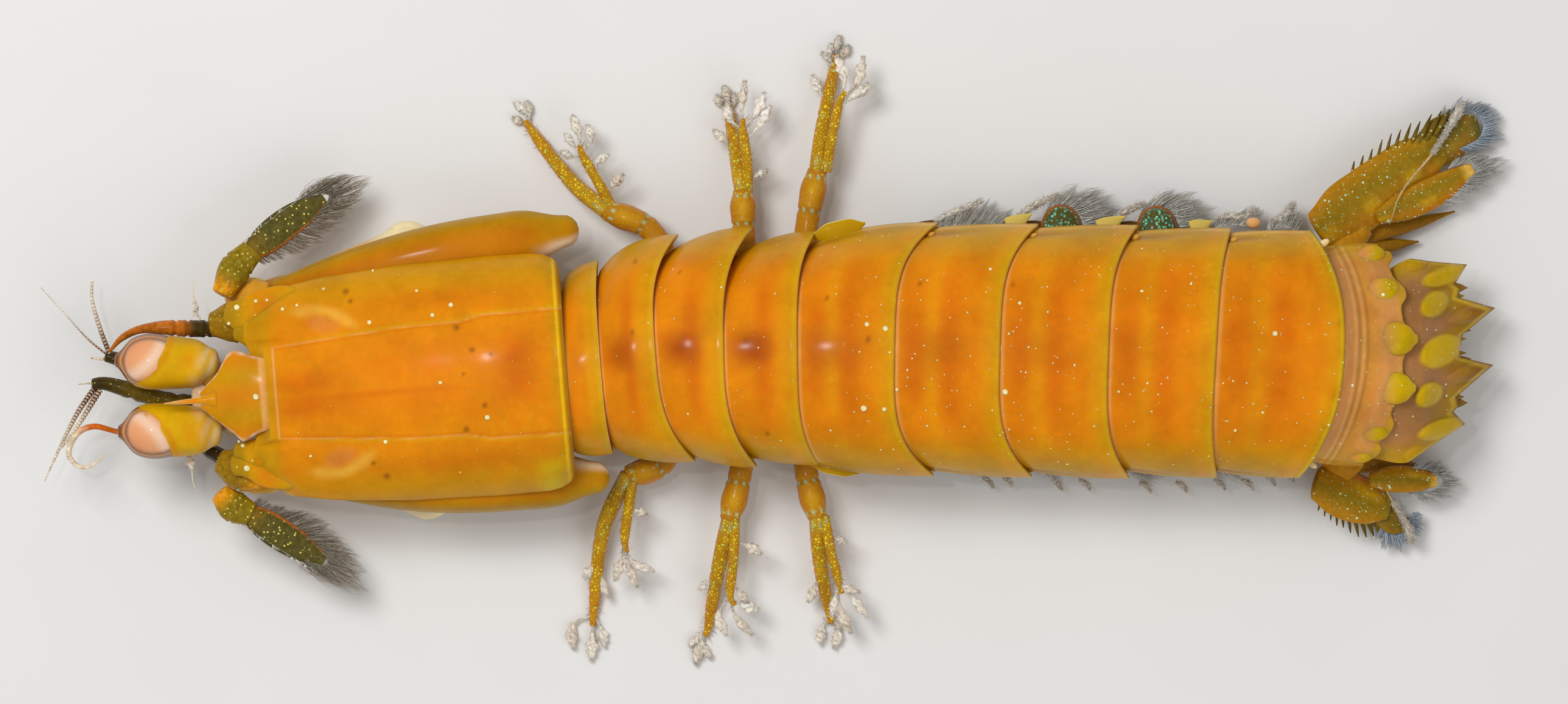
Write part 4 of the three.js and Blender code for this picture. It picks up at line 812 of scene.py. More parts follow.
def somite_form(order):
    """A shell plate with a thin rounded rear lip, whose front slides in under the plate before."""
    somite = SOMITES[order]
    before = SOMITES[order - 1] if order else None
    front_x = (before["rear"] if before else NECK_X) + SEAM
    front_top = (before["top"] if before else somite["top"]) - TRUNK_STEP
    length = somite["rear"] - front_x
    stations = np.concatenate([[-TUCK / length, -0.4 * TUCK / length],
                               np.linspace(0, 1, TRUNK_STATIONS - 2) ** 1.15])
    angle = np.linspace(0, TURN, TRUNK_SIDES, endpoint=False)
    shoulder = mix(somite["shoulder"][1], somite["shoulder"][0], ease(np.cos(angle), -0.4, 0.4))
    rim_fold = bump(np.sin(angle), 0.27, 0.12)

    def ring(station, shrink):
        inside = np.clip(station, 0, 1)
        x = front_x + length * inside
        spread = math.sin(min(1, inside * FLARE) * math.pi / 2) ** SIDE_SPREAD
        half_width = somite["half_width"] * mix(shoulder, 1, spread)
        half_width = half_width - 0.07 * rim_fold * (1 - ease(inside, 0.25, 0.8)) * (order > FIRST_ABDOMINAL)
        rise = 1 - (1 - min(1, inside * 1.3)) ** 2.2
        top = mix(front_top, somite["top"], rise)
        under = 0.2 * max(0, -station) * length / TUCK + shrink
        y, z = trunk_section(x, angle, half_width - under, top - under)
        front = (rear_line(before, y) if before else neck_line(y)) + SEAM
        rear = rear_line(somite, y)
        if order == LAST:
            upper = z > FAN_TOP
            rear = rear + 0.4 * lobes(y) * ease(station, 0.55, 1.0) * upper
            z = z + 0.12 * lobes(y) * ease(station, 0.45, 0.9) * upper
            z = z - 0.3 * ease(station, 0.7, 1.0) * upper
            z = z + 0.06 * (bump(station, 0.2, 0.06) + bump(station, 0.34, 0.06)) * upper
        z = z + 0.015 * bump(station, 0.95, 0.06) * (z > 5)
        return np.stack([mix(front, rear, station), y, z], -1)

    rings = [ring(s, 0) for s in stations]
    lip_x = rings[-1][:, 0]
    for shrink, back in LIP_RINGS:
        folded = ring(1.0, shrink)
        folded[:, 0] = lip_x + back - 0.03
        rings.append(folded)
    rings = np.array(rings)
    along = np.concatenate([stations, np.full(len(LIP_RINGS), 1.02)])
    form = loft(rings, rings[0].mean(axis=0), rings[-1].mean(axis=0), along)
    return form.paint(somite_tone(form, somite, order), fleck=mix(0.15, 0.7, ease(form.points[:, 0], -6, 12)))


STRIPE = srgb(166, 66, 0)
# Painted shade for the groove inside the lateral rim of the abdominal plates
GROOVE_SHADE_BROWN = srgb(128, 70, 8)
SEAM_OLIVE = srgb(162, 116, 12)
MARGIN_GOLD = srgb(208, 150, 6)
TICK_SPACING = 0.3
# Dark pores on the plates: place and radius
PORES = ((-7.4, 0.9, 0.2), (-7.3, 4.45, 0.2), (-1.85, 0.45, 0.25), (-0.8, -4.0, 0.2), (2.1, 2.6, 0.18),
         (4.1, 0.6, 0.2), (6.65, 3.4, 0.2), (11.2, 3.35, 0.2), (-5.1, 3.9, 0.15))
CREAM_DOTS = ((-7.05, 1.6, 0.13), (-7.55, -2.75, 0.14), (-7.0, -2.55, 0.09), (4.05, 1.35, 0.13),
              (4.95, 1.15, 0.15), (3.9, -2.75, 0.17), (4.9, -2.8, 0.12), (18.9, 1.6, 0.13), (24.0, 0.9, 0.15),
              (10.8, -1.95, 0.16), (14.5, -3.6, 0.12), (17.5, 2.95, 0.11))


def pits(x, y, places, strength):
    """Dark round marks, as coats of colour."""
    return [(PIT, strength * bump(np.hypot(x - at_x, y - at_y), 0, reach)) for at_x, at_y, reach in places]


def somite_tone(form, somite, order):
    """Orange back with a redder stripe, olive-yellow towards the sides and gold at the rear margin."""
    x, y, z = form.points.T
    s = form.along
    off = y - middle_y(x)
    side = np.abs(off) / somite["half_width"]
    left = rear_line(somite, y) - x
    belly = (BELLY_CREAM, ease(-z, -3.7, -3.1))
    if order == LAST:
        return layers(
            MAUVE,
            (AMBER, 0.4 * bump(s, 0.45, 0.3)),
            (OLIVE_YELLOW, 0.7 * ease(side, 0.75, 1.0)),
            (PALE_LINE, 0.45 * (bump(s, 0.2, 0.05) + bump(s, 0.34, 0.05))),
            (SEAM_OLIVE, 0.35 * (bump(s, 0.26, 0.04) + bump(s, 0.4, 0.04))),
            (OLIVE_YELLOW, 0.7 * ease(-left, -0.12, -0.02)),
            belly)
    abdomen = order >= FIRST_ABDOMINAL
    coats = [
        (DEEP_ORANGE, 0.45 * bump(side, 0.1, 0.6) * bump(s, 0.16, 0.2) * abdomen),
        (DEEP_ORANGE, 0.5 * bump(side, 0.25, 0.6) * bump(s, 0.52, 0.2)),
        (AMBER, 0.5 * bump(s, 0.34, 0.12) * abdomen),
        (STRIPE, somite["stripe"] * bump(off, -0.06, 1.25) ** 0.7 * bump(s, 0.36, 0.5)),
        (OLIVE_YELLOW, 0.8 * ease(side, 0.6, 0.95)),
        (AMBER, 0.8 * ease(-left, -1.3, -0.5)),
        (MARGIN_GOLD, mix(0.35, 0.9, ease(side, 0.3, 0.8)) * ease(-left, -1.0, -0.25)),
        (RIM_YELLOW, 0.45 * bump(left, 0.16, 0.14)),
        (PALE_LINE, 0.5 * bump(left, 0.03, 0.05) * (side < 0.9)),
        (SEAM_OLIVE, 0.6 * ease(-left, -0.02, 0.02)),
        (PALE_LINE, 0.45 * bump(s, 0.012, 0.03) * (side < 0.9)),
    ]
    coats += [(tone, share * (z > 5)) for tone, share in pits(x, y, PORES, 0.7)]
    if abdomen:
        edge = ease(np.abs(form.beside()), 0.8, 0.9) * (z > 3.8)
        height = np.sin(TURN * form.around)
        # Painted shade: brown in the groove inside the lateral rim, where the side folds in near the plate's
        # front
        coats += [(GROOVE_SHADE_BROWN, 0.5 * edge * bump(height, 0.27, 0.11) * ease(-s, -0.6, -0.1)),
                  (PALE_YELLOW, 0.7 * edge * bump(height, 0.1, 0.1))]
    if order == LAST_ORANGE:
        tick = 0.5 + 0.5 * np.cos(TURN * off / TICK_SPACING)
        coats += [(RIM_YELLOW, 0.85 * bump(left, 0.08, 0.14)),
                  (SEAM_OLIVE, 0.5 * tick ** 3 * bump(left, 0.3, 0.12))]
    return layers(mix(ORANGE, AMBER, 0.3), *coats, belly)


# The small oval plate at each front corner of the first abdominal somite: path and half width
SIDE_PLATES = {
    1: ([(1.5, 5.7, 4.75), (2.75, 5.95, 4.75), (4.0, 6.35, 4.6)], 0.54),
    -1: ([(1.4, -5.5, 4.6), (2.5, -5.72, 4.55), (3.7, -6.0, 4.45)], 0.36),
}


def side_plate(sign):
    path, wide = SIDE_PLATES[sign]
    plate = limb(path, [wide * 0.35, wide * 0.95, wide, wide * 0.85, wide * 0.12],
                 [0.05, 0.16, 0.18, 0.15, 0.05], roll=sign * 0.15, sides=48, steps=48)
    return plate.paint(OLIVE_YELLOW, (CREAM, 0.8 * ease(np.abs(plate.beside()), 0.93, 0.99)), fleck=0.2)


def corner_knob(order, sign):
    """The small pale knob on which a plate turns, at its front corner."""
    before = SOMITES[order - 1]
    y = middle_y(before["rear"]) + sign * (before["half_width"] * 0.91)
    x = rear_line(before, y) + 0.24
    size = vec(0.26, 0.15, 0.16) * (1 if sign > 0 else 0.8) * (1.2 if order == LAST else 1)
    tone = mix(PALE_LINE, CREAM, 0.6) if order == LAST else mix(AMBER, PALE_LINE, 0.35)
    return boss(vec(x, y - 0.1 * sign, 5.6), size, turn=sign * 0.6).paint(tone)


# Tips of the last somite's bosses: place, length and half width
TAIL_BOSSES = ((31.05, 0.64, 2.0, 0.78), (30.95, -1.77, 2.0, 0.76), (30.3, 3.0, 1.7, 0.62),
               (29.85, -3.75, 1.7, 0.6), (29.6, 4.75, 1.3, 0.5), (29.0, -4.95, 1.3, 0.5))


def tail_boss(x, y, length, half):
    """A blunt yellow boss that points back over the telson."""
    z = back_height(SOMITES[LAST], y) - 0.16
    form = limb([(x - length, y, z), (x - length * 0.45, y, z - 0.02), (x, y, z - 0.42)],
                [half * 0.4, half * 0.85, half * 1.05, half * 1.02, half * 0.8, half * 0.3],
                [0.08, 0.22, 0.32, 0.34, 0.28, 0.14], sides=36, steps=36)
    return form.paint(MAUVE, (BOSS_YELLOW, ease(form.along, 0.1, 0.6)),
                      (mix(MAUVE, OLIVE_YELLOW, 0.6), 0.5 * ease(np.abs(form.beside()), 0.8, 1.0)), fleck=0.3)


def build_trunk():
    for order, somite in enumerate(SOMITES):
        form = somite_form(order)
        sprinkle(form, mix(0.25, 1.1, ease(somite["rear"], -8, 16)), large=0.05)
        front = SOMITES[order - 1]["rear"] if order else NECK_X
        for x, y, radius in CREAM_DOTS:
            if front < x < somite["rear"]:
                dot(form, x, y, radius)
        extras = []
        if order == FIRST_ABDOMINAL:
            extras += [side_plate(sign) for _, sign in SIDES]
        if order > FIRST_ABDOMINAL:
            extras += [corner_knob(order, sign) for _, sign in SIDES]
        if order == LAST:
            extras += [tail_boss(*row) for row in TAIL_BOSSES]
            for extra in extras:
                sprinkle(extra, 0.9)
        material, slot = (TAIL, "tail_shell") if order == LAST else (SHELL, "shell")
        dress(somite["name"], "shell", join(form, *extras), material, slot)


# Head shield, rostral plate and the body below

CARAPACE_SHARES = (0, 0.04, 0.2, 0.45, 0.75, 0.91, 0.95, 0.98, 0.992, 1)
CARAPACE_WIDTHS = (0.8, 0.86, 0.93, 0.98, 1, 0.993, 0.975, 0.935, 0.9, 0.84)
CARAPACE_TOPS = (7.35, 7.5, 7.95, 8.45, 8.75, 8.75, 8.73, 8.7, 8.67, 8.62)
CARAPACE_EDGE = 0.28
CARAPACE_SKIRT = 5.75
CARAPACE_COLUMNS = 190
CARAPACE_ROWS = 190
UNDERSIDE = (-0.985, -0.9, -0.5, 0, 0.5, 0.9, 0.985)
GROOVE_SHARES = (0, 0.25, 0.5, 0.66, 0.74, 1)
GROOVES = (2.22, 2.48, 2.76, 2.78, 3.04, 3.06)
GROOVE_DEPTH = 0.03
GROOVE_REACH = 0.1
HINGE_SHARE = 0.03


def groove_y(share):
    return np.interp(share, GROOVE_SHARES, GROOVES)


def carapace_form():
    """A shield with two long grooves, a raised rim and a flat underside, in the head's frame."""
    shares = 0.5 - 0.5 * np.cos(np.linspace(0, math.pi, CARAPACE_ROWS))
    across = np.cos(np.linspace(0, math.pi, CARAPACE_COLUMNS))
    top_keys = np.interp(np.linspace(0, 1, 9), CARAPACE_SHARES, CARAPACE_TOPS)
    rings = []
    for share in shares:
        half_width = CARAPACE_HALF_WIDTH * np.interp(share, CARAPACE_SHARES, CARAPACE_WIDTHS)
        rise = profile(top_keys, share) - CARAPACE_SKIRT - CARAPACE_EDGE
        y = across * half_width
        off = np.abs(y) - groove_y(share)
        forward = 0.95 * ease(off, 0.0, 0.5) * (1 - ease(np.abs(across), 0.7, 1.0)) * (1 - share) ** 6
        x = -CARAPACE_LENGTH * (1 - share) - forward
        z = CARAPACE_SKIRT + CARAPACE_EDGE + rise * (1 - np.abs(across) ** 2.5) ** 0.72
        open_groove = ease(share, 0.01, 0.06) * (1 - ease(share, 0.96, 0.99))
        z = z - GROOVE_DEPTH * bump(off, 0, GROOVE_REACH) * open_groove - 0.03 * ease(off, -0.4, 0.2)
        z = z + 0.03 * bump(share, 0.98, 0.014) - 0.08 * ease(share, 0.985, 1.0)
        z = z - 0.04 * bump(share, HINGE_SHARE, 0.012) * (off < 0)
        z = z - 0.5 * (1 - ease(share, 0, 0.1)) * ease(off, 0, 0.3)
        z = z + 0.12 * bump(share, 0.93, 0.08) * ease(-across, 0.72, 0.86)
        flat = [(x[0], side * half_width, CARAPACE_SKIRT) for side in UNDERSIDE]
        rings.append(np.vstack([np.stack([x, y, z], -1), flat]))
    middle = CARAPACE_SKIRT + 0.8
    return loft(np.array(rings), vec(-CARAPACE_LENGTH, 0, middle), vec(0, 0, middle), shares)


SHIELD_RIM = srgb(236, 190, 20)
# Marks on the shield, in the head's frame: arched ridges drawn as painted highlights, dark pores and pale
# dots
ARCHES = ((-11.75, 3.2, 1.45, 0.75, -0.28, 1), (-11.35, -3.4, 1.45, 0.8, 0.22, -1))
SHIELD_PITS = ((-10.5, 4.7, 0.26), (-4.5, 1.35, 0.24), (-4.1, -1.4, 0.22), (-9.2, -4.5, 0.28),
               (-9.8, -3.8, 0.2), (-5.2, 2.5, 0.26), (-5.1, -2.5, 0.24), (-3.6, 1.05, 0.18),
               (-10.3, 4.2, 0.2), (-5.0, 0.2, 0.14))
SHIELD_DOTS = ((-20.3, 1.45, 0.12), (-16.3, 2.3, 0.13), (-17.2, 1.8, 0.12), (-16.8, -1.5, 0.1),
               (-14.5, -3.2, 0.14), (-19.5, -4.4, 0.12), (-23.2, -5.1, 0.08), (-18.0, 3.0, 0.09),
               (-24.6, 2.1, 0.1), (-23.9, 2.3, 0.08), (-22.6, 3.1, 0.08), (-20.2, 4.0, 0.07))


def arch(x, y, at_x, at_y, length, width, turn, way):
    """An arched ridge round a darker field, as coats of colour: the ridge is a painted highlight, a pale arc
    on its outer side.
    """
    c, s = math.cos(turn), math.sin(turn)
    u = ((x - at_x) * c + (y - at_y) * s) / length
    v = ((y - at_y) * c - (x - at_x) * s) / width * way
    ring = np.hypot(u, v)
    return [(mix(DEEP_ORANGE, MAUVE, 0.6), 0.55 * (1 - ease(ring, 0.3, 0.8))),
            # Painted highlight: the pale arc on the ridge's outer side, where the shield has no raised shape
            (mix(PALE_YELLOW, AMBER, 0.3), 0.75 * bump(ring, 0.9, 0.55) * ease(v, -0.1, 0.5))]


def carapace_tone(form):
    x, y, z = form.points.T
    share = 1 + x / CARAPACE_LENGTH
    side = np.abs(y) / CARAPACE_HALF_WIDTH
    off = np.abs(y) - groove_y(share)
    return layers(
        mix(ORANGE, AMBER, 0.45),
        (ORANGE, 0.7 * bump(np.abs(y), 0.8, 1.8) * bump(share, 0.5, 0.5)),
        (DEEP_ORANGE, 0.5 * bump(np.abs(y + 0.2), 0.6, 1.0) * bump(share, 0.12, 0.2)),
        (DEEP_ORANGE, 0.55 * bump(np.abs(y - 0.3), 0.6, 2.0) * bump(share, 0.84, 0.12)),
        (DEEP_ORANGE, 0.35 * bump(y, -0.4, 0.25) * bump(share, 0.4, 0.4)),
        (OLIVE_YELLOW, 0.6 * ease(side, 0.5, 0.95)),
        (DEEP_ORANGE, 0.35 * bump(side, 0.68, 0.14) * bump(share, 0.6, 0.4)),
        (OLIVE_YELLOW, 0.6 * ease(-share, -0.06, 0.0)),
        (OLIVE_YELLOW, 0.5 * ease(share, 0.93, 0.975)),
        (SHIELD_RIM, 0.9 * bump(share, 0.981, 0.009)),
        (SEAM_OLIVE, 0.8 * ease(share, 0.988, 0.996)),
        (RIM_YELLOW, 0.8 * bump(share, 0.93, 0.08) * ease(-y, 3.9, 4.9)),
        (RIM_YELLOW, 0.3 * bump(off, 0.1, 0.14) * ease(share, 0.05, 0.2)),
        (PALE_LINE, 0.45 * bump(off, 0, 0.05) * (share > HINGE_SHARE)),
        # Painted shade: a darker orange band along the inner side of each groove
        (DEEP_ORANGE, 0.25 * bump(off, -0.12, 0.1) * (share > HINGE_SHARE)),
        (PALE_LINE, 0.6 * bump(share, HINGE_SHARE, 0.007) * (off < 0)),
        *[coat for row in ARCHES for coat in arch(x, y, *row)],
        *pits(x, y, SHIELD_PITS, 0.75),
        (BELLY_CREAM, ease(-z, -6.0, -5.8) * 0.6))


# The soft lobes in front of the shield that cover the bases of the feelers: path and half widths
CHEEKS = (
    ([(-23.6, 1.9, 6.25), (-25.4, 1.85, 6.15), (-26.5, 1.8, 5.95), (-27.3, 1.9, 5.75)],
     [1.2, 1.4, 1.3, 1.05, 0.6]),
    ([(-23.4, -5.45, 6.25), (-25.2, -5.5, 6.15), (-26.2, -5.45, 5.95), (-27.0, -5.6, 5.75)],
     [1.1, 1.25, 1.2, 0.95, 0.5]),
    ([(-24.2, 0.75, 6.45), (-25.6, 0.8, 6.3), (-26.9, 0.95, 5.95)], [0.75, 0.8, 0.72, 0.4]),
    ([(-24.0, -4.9, 6.45), (-25.3, -4.95, 6.3), (-26.9, -4.85, 5.95)], [0.75, 0.8, 0.7, 0.35]),
)
CHEEK_HEIGHTS = [0.3, 0.34, 0.34, 0.3, 0.2]
CHEEK_DOTS = ((-26.9, 2.19, 0.16), (-26.4, -5.72, 0.17), (-25.95, 2.5, 0.1), (-25.4, 2.55, 0.08),
              (-27.3, 1.4, 0.1), (-26.6, -4.6, 0.11), (-26.8, -4.4, 0.08), (-25.9, -2.2, 0.17))


def cheek(path, widths):
    form = limb(path, widths, CHEEK_HEIGHTS, sides=56, steps=60, power=2.3, ends=(0.2, 0.6))
    s = form.along
    return form.paint(
        mix(AMBER, OLIVE_YELLOW, 0.45),
        (ORANGE, 0.35 * bump(s, 0.55, 0.25)),
        (UROPOD_OLIVE, 0.6 * ease(s, 0.72, 0.95)),
        (DEEP_ORANGE, 0.4 * bump(form.around, 0.25, 0.2) * bump(s, 0.45, 0.3)),
        fleck=0.4)


ROSTRUM_REAR = -CARAPACE_LENGTH - GAP
SPINE_TIP = -19.84


def rostral_form():
    """A trapezoid plate with a frayed pale edge, drawn out into a long spine."""
    plate = limb([(ROSTRUM_REAR + 0.5, 0, 6.85), (-16.1, 0, 6.8), (-17.0, -0.05, 6.78), (-18.0, -0.05, 6.8)],
                 [1.74, 1.82, 1.95, 2.14, 2.22, 1.75, 1.25, 0.85, 0.45],
                 [0.34, 0.36, 0.36, 0.34, 0.3, 0.26, 0.22, 0.18],
                 power=2.5, sides=96, steps=80, ends=(0.0, 0.12))
    x, y = plate.points[:, 0], plate.points[:, 1]
    frayed = 0.55 + 0.45 * np.sin(9 * x) * np.sin(7 * y)
    plate.paint(
        mix(ORANGE, AMBER, 0.6) * 0.85,
        (OLIVE_YELLOW, 0.6 * bump(np.abs(y), 1.0, 0.9)),
        (MEMBRANE, 0.75 * ease(np.abs(plate.beside()), 0.86, 0.98) * frayed),
        (PALE_LINE, 0.6 * ease(x, ROSTRUM_REAR - 0.12, ROSTRUM_REAR + 0.05)),
        fleck=0.25)
    spine = limb([(-17.3, -0.05, 6.87), (-18.6, -0.07, 6.98), (SPINE_TIP, -0.08, 7.05)],
                 [0.5, 0.24, 0.15, 0.12, 0.08, 0.03], [0.2, 0.16, 0.12, 0.1, 0.07, 0.03], sides=28, steps=40)
    edge = ease(np.abs(spine.beside()), 0.75, 0.98)
    spine.paint(mix(ORANGE, AMBER, 0.5), (CREAM, 0.8 * edge + 0.25 * ease(spine.along, 0.4, 1.0)), fleck=0.1)
    return join(plate, spine)


def head_form():
    """The soft body under the shield, with the snout and the mouthparts."""
    core = limb([(-16.9, 0, 4.45), (-12.5, 0, 4.2), (-6, 0, 4.2), (0.3, 0, 4.2)],
                [1.9, 2.2, 2.6, 2.9, 3.1, 3.1, 3.1], [1.1, 1.5, 1.65, 1.65, 1.6, 1.6, 1.6],
                power=2.6, sides=72, steps=80, ends=(0.35, 0.0),
                swell=lambda t, a: 0.02 * np.sin(t * 60) * (np.sin(a) < -0.3))
    x, y, z = core.points.T
    core.paint(mix(AMBER, OLIVE_YELLOW, 0.4), (MEMBRANE, ease(-x, 15.8, 17.4) * 0.7),
               (BELLY_CREAM, 0.8 * ease(-z, -3.6, -2.9)), fleck=0.1)
    collar = limb([(-15.4, 0, 5.9), (-14.4, 0, 5.95)], [2.2, 2.6], [0.5, 0.55],
                  power=2.6, sides=48, steps=12, ends=(0.2, 0.0)).paint(mix(AMBER, MEMBRANE, 0.5), fleck=0.05)
    under = limb([(-15.5, 0, 5.2), (-8, 0, 5.4), (-0.6, 0, 5.4)], [2.3, 3.2, 3.6, 3.6], [0.9],
                 power=3, sides=48, steps=30, ends=(0.1, 0.0)).paint(MEMBRANE * 0.85)
    snout = limb([(-16.2, 0, 4.9), (-17.5, 0, 5.1), (-18.3, 0, 5.2)], [1.7, 1.5, 1.1], [0.6, 0.5, 0.35],
                 power=2.6, sides=40, steps=20, ends=(0.0, 0.35)).paint(mix(MEMBRANE, AMBER, 0.35), fleck=0.1)
    jaws = [limb([(-9.6, sign * 0.5, 2.8), (-8.4, sign * 0.42, 2.35), (-7.9, sign * 0.2, 2.5)],
                 [0.35, 0.42, 0.2], sides=20, steps=18).paint(mix(LEG_OLIVE, PIT, 0.4)) for _, sign in SIDES]
    lip = boss(vec(-9.9, 0, 2.6), (0.75, 0.7, 0.42)).paint(mix(BELLY_CREAM, AMBER, 0.4))
    return join(core, collar, under, snout, lip, *jaws)


def build_head():
    shield = carapace_form()
    shield.paint(carapace_tone(shield), fleck=0.2).in_animal()
    sprinkle(shield, 0.35, size=0.03, large=0.08, tone=PALE_YELLOW)
    for row in SHIELD_DOTS:
        dot(shield, *row)
    cheeks = join(*[cheek(*row) for row in CHEEKS])
    plate = rostral_form().in_animal()
    whole = join(shield, cheeks, plate)
    for row in CHEEK_DOTS:
        dot(whole, *row)
    sprinkle(cheeks, 1.5, size=0.045, tone=PALE_YELLOW)
    dress("carapace", "shell", join(shield, cheeks), SHELL, "shell")
    dress("rostral_plate", "shell", plate, SHELL, "shell_yellow")
    dress("head", "body", head_form().in_animal(), SHELL, "shell_yellow")


# Eyes

# Base and tip of each eye, and a point that the parting between stalk and cornea runs through
EYES = {
    "r": (vec(-28.2, -0.6, 5.3), vec(-32.85, -0.4, 5.75), vec(-31.1, -0.4, 5.7)),
    "l": (vec(-28.05, -3.85, 5.3), vec(-32.7, -3.92, 5.75), vec(-30.9, -3.9, 5.7)),
}
EYE_ROOTS = {"r": (-17.2, 0.3, 5.1), "l": (-17.2, -0.9, 5.1)}
EYE_WIDTHS = [0.8, 1.14, 1.25, 1.31, 1.37, 1.34, 1.06, 0.32]
EYE_RADIUS = EYE_WIDTHS[4]
PARTING_SLANT = math.radians(40)
PARTING_BULGE = 0.3
EYE_UPTURN = 0.12
EYE_OVERLAP = 0.14
CORNEA_START = -0.1
EYE_TUCK = 0.04
EYE_SIDES = 72
EYE_STEPS = 60
PARTING_STEPS = 200


def past_parting(points, through, outward):
    """How far points lie beyond the curved parting, towards the cornea."""
    beside = vec(-outward[1], outward[0], 0)
    off = (points - through) @ beside / EYE_RADIUS
    return (points - through) @ outward + PARTING_BULGE * (1 - np.clip(off * off, 0, 1))


def parting_share(surface, through, outward, shift):
    """For each angle round the eye, how far along it crosses the parting."""
    angle = np.linspace(0, TURN, EYE_SIDES, endpoint=False)
    t = np.linspace(0, 1, PARTING_STEPS)[:, None]
    grid = (PARTING_STEPS, EYE_SIDES)
    points = surface(np.broadcast_to(t, grid), np.broadcast_to(angle, grid))
    return t[np.argmax(past_parting(points, through, outward) > shift, axis=0), 0]


def build_eyestalk(tag, sign, outward):
    base, tip, through = EYES[tag]
    surface = tube([base, tip], EYE_WIDTHS)
    rim = parting_share(surface, through, outward, EYE_OVERLAP)
    stalk = sleeve(surface, 0.0, rim, EYE_SIDES, EYE_STEPS, (0.5, 0.0))
    x, y, z = stalk.points.T
    t = stalk.along
    ahead = past_parting(stalk.points, through, outward)
    outer = (y - base[1]) * sign
    swirl = 0.6 + 0.4 * np.sin(5 * y + 4 * np.sin(3 * x))
    stalk.paint(
        EYE_YELLOW,
        (OLIVE_YELLOW, 0.7 * ease(np.abs(outer), 0.75, 1.2)),
        (AMBER, 0.6 * bump(t, 0.3, 0.16) * bump(outer, 0.2, 0.8)),
        (mix(MEMBRANE, PALE_YELLOW, 0.5), 0.75 * swirl * ease(-t, -0.26, -0.06)),
        (mix(AMBER, DEEP_ORANGE, 0.4), 0.5 * bump(ahead, -0.05, 0.3)),
        (FEELER_BROWN, 0.6 * ease(-z, -4.9, -4.2)),
        fleck=0.12)
    neck = limb([from_head(EYE_ROOTS[tag]), base + vec(-0.4, 0, 0)], [0.5, 0.62, 0.85], sides=32, steps=16)
    neck.paint(mix(FEELER_BROWN, PALE_YELLOW, 0.3))
    dress(f"eyestalk_{tag}", "skin", join(stalk, neck), SHELL, "shell_yellow")


def build_cornea(tag, outward):
    base, tip, through = EYES[tag]
    tucked = tube([base, tip], [width - EYE_TUCK for width in EYE_WIDTHS[:4]] + EYE_WIDTHS[4:])
    front = parting_share(tucked, through, outward, CORNEA_START)
    cornea = sleeve(tucked, front, 1.0, EYE_SIDES, EYE_STEPS, (0.0, 0.3))
    ahead = past_parting(cornea.points, through, outward)
    height = (cornea.points[:, 2] - tip[2]) / EYE_RADIUS
    cornea.paint(
        CORNEA_PEACH,
        # Painted highlight: a pale pearly glint in a band across the cornea
        (CORNEA_PEARL_GLINT, 0.75 * bump(ahead, 0.4, 0.55)),
        (mix(CORNEA_PEACH, DEEP_ORANGE, 0.5), 0.6 * ease(ahead, 0.9, 1.9)),
        # Painted shade: brown over the cornea below its top, seen from above as a dark outline
        (CORNEA_SHADE_BROWN, 0.9 * ease(-height, -0.62, -0.42)),
        (mix(CORNEA_PEACH, AMBER, 0.6), 0.8 * bump(height, 0.34, 0.1)),
        # Painted shade: darker still over the cornea's lower half
        (FEELER_DARK, 0.6 * ease(-height, -0.26, 0.1)))
    dress(f"cornea_{tag}", "surface", cornea, CORNEA, "cornea")


def build_eyes():
    for tag, sign in SIDES:
        outward = unit(vec(-math.cos(PARTING_SLANT), sign * math.sin(PARTING_SLANT), EYE_UPTURN))
        build_eyestalk(tag, sign, outward)
        build_cornea(tag, outward)


# Feelers

# Stem, lashes and half widths of the lashes
ANTENNULES = {
    "r": ([(-28.0, -1.3, 3.75), (-30.8, -0.9, 3.5), (-33.5, -0.2, 3.6)],
          [[(-33.3, -0.2, 3.7), (-33.7, 0.88, 3.9), (-34.0, 1.8, 3.9), (-34.2, 2.7, 3.9), (-34.2, 3.5, 3.8)],
           [(-33.4, -0.2, 3.5), (-34.4, 0.6, 3.4), (-35.6, 1.9, 3.3), (-36.8, 3.2, 3.1)],
           [(-33.2, -0.3, 3.4), (-33.8, -0.35, 3.2), (-34.3, -0.3, 3.1)]],
          [[0.13, 0.12, 0.11, 0.09, 0.07], [0.055, 0.04, 0.02], [0.1, 0.05]]),
    "l": ([(-27.9, -2.75, 4.0), (-31.0, -2.25, 4.2), (-33.6, -1.55, 4.3), (-34.1, -1.6, 4.3)],
          [[(-34.0, -1.7, 4.1), (-34.9, -3.0, 3.9), (-35.7, -4.5, 3.6), (-36.6, -6.4, 3.2)],
           [(-33.8, -1.9, 4.2), (-34.5, -3.05, 4.1), (-35.2, -4.1, 3.9), (-35.7, -4.7, 3.7)],
           [(-33.7, -1.7, 4.0), (-34.3, -1.55, 3.6), (-34.9, -1.6, 3.4)]],
          [[0.14, 0.13, 0.1, 0.07, 0.03], [0.15, 0.13, 0.1, 0.06], [0.08, 0.03]]),
}
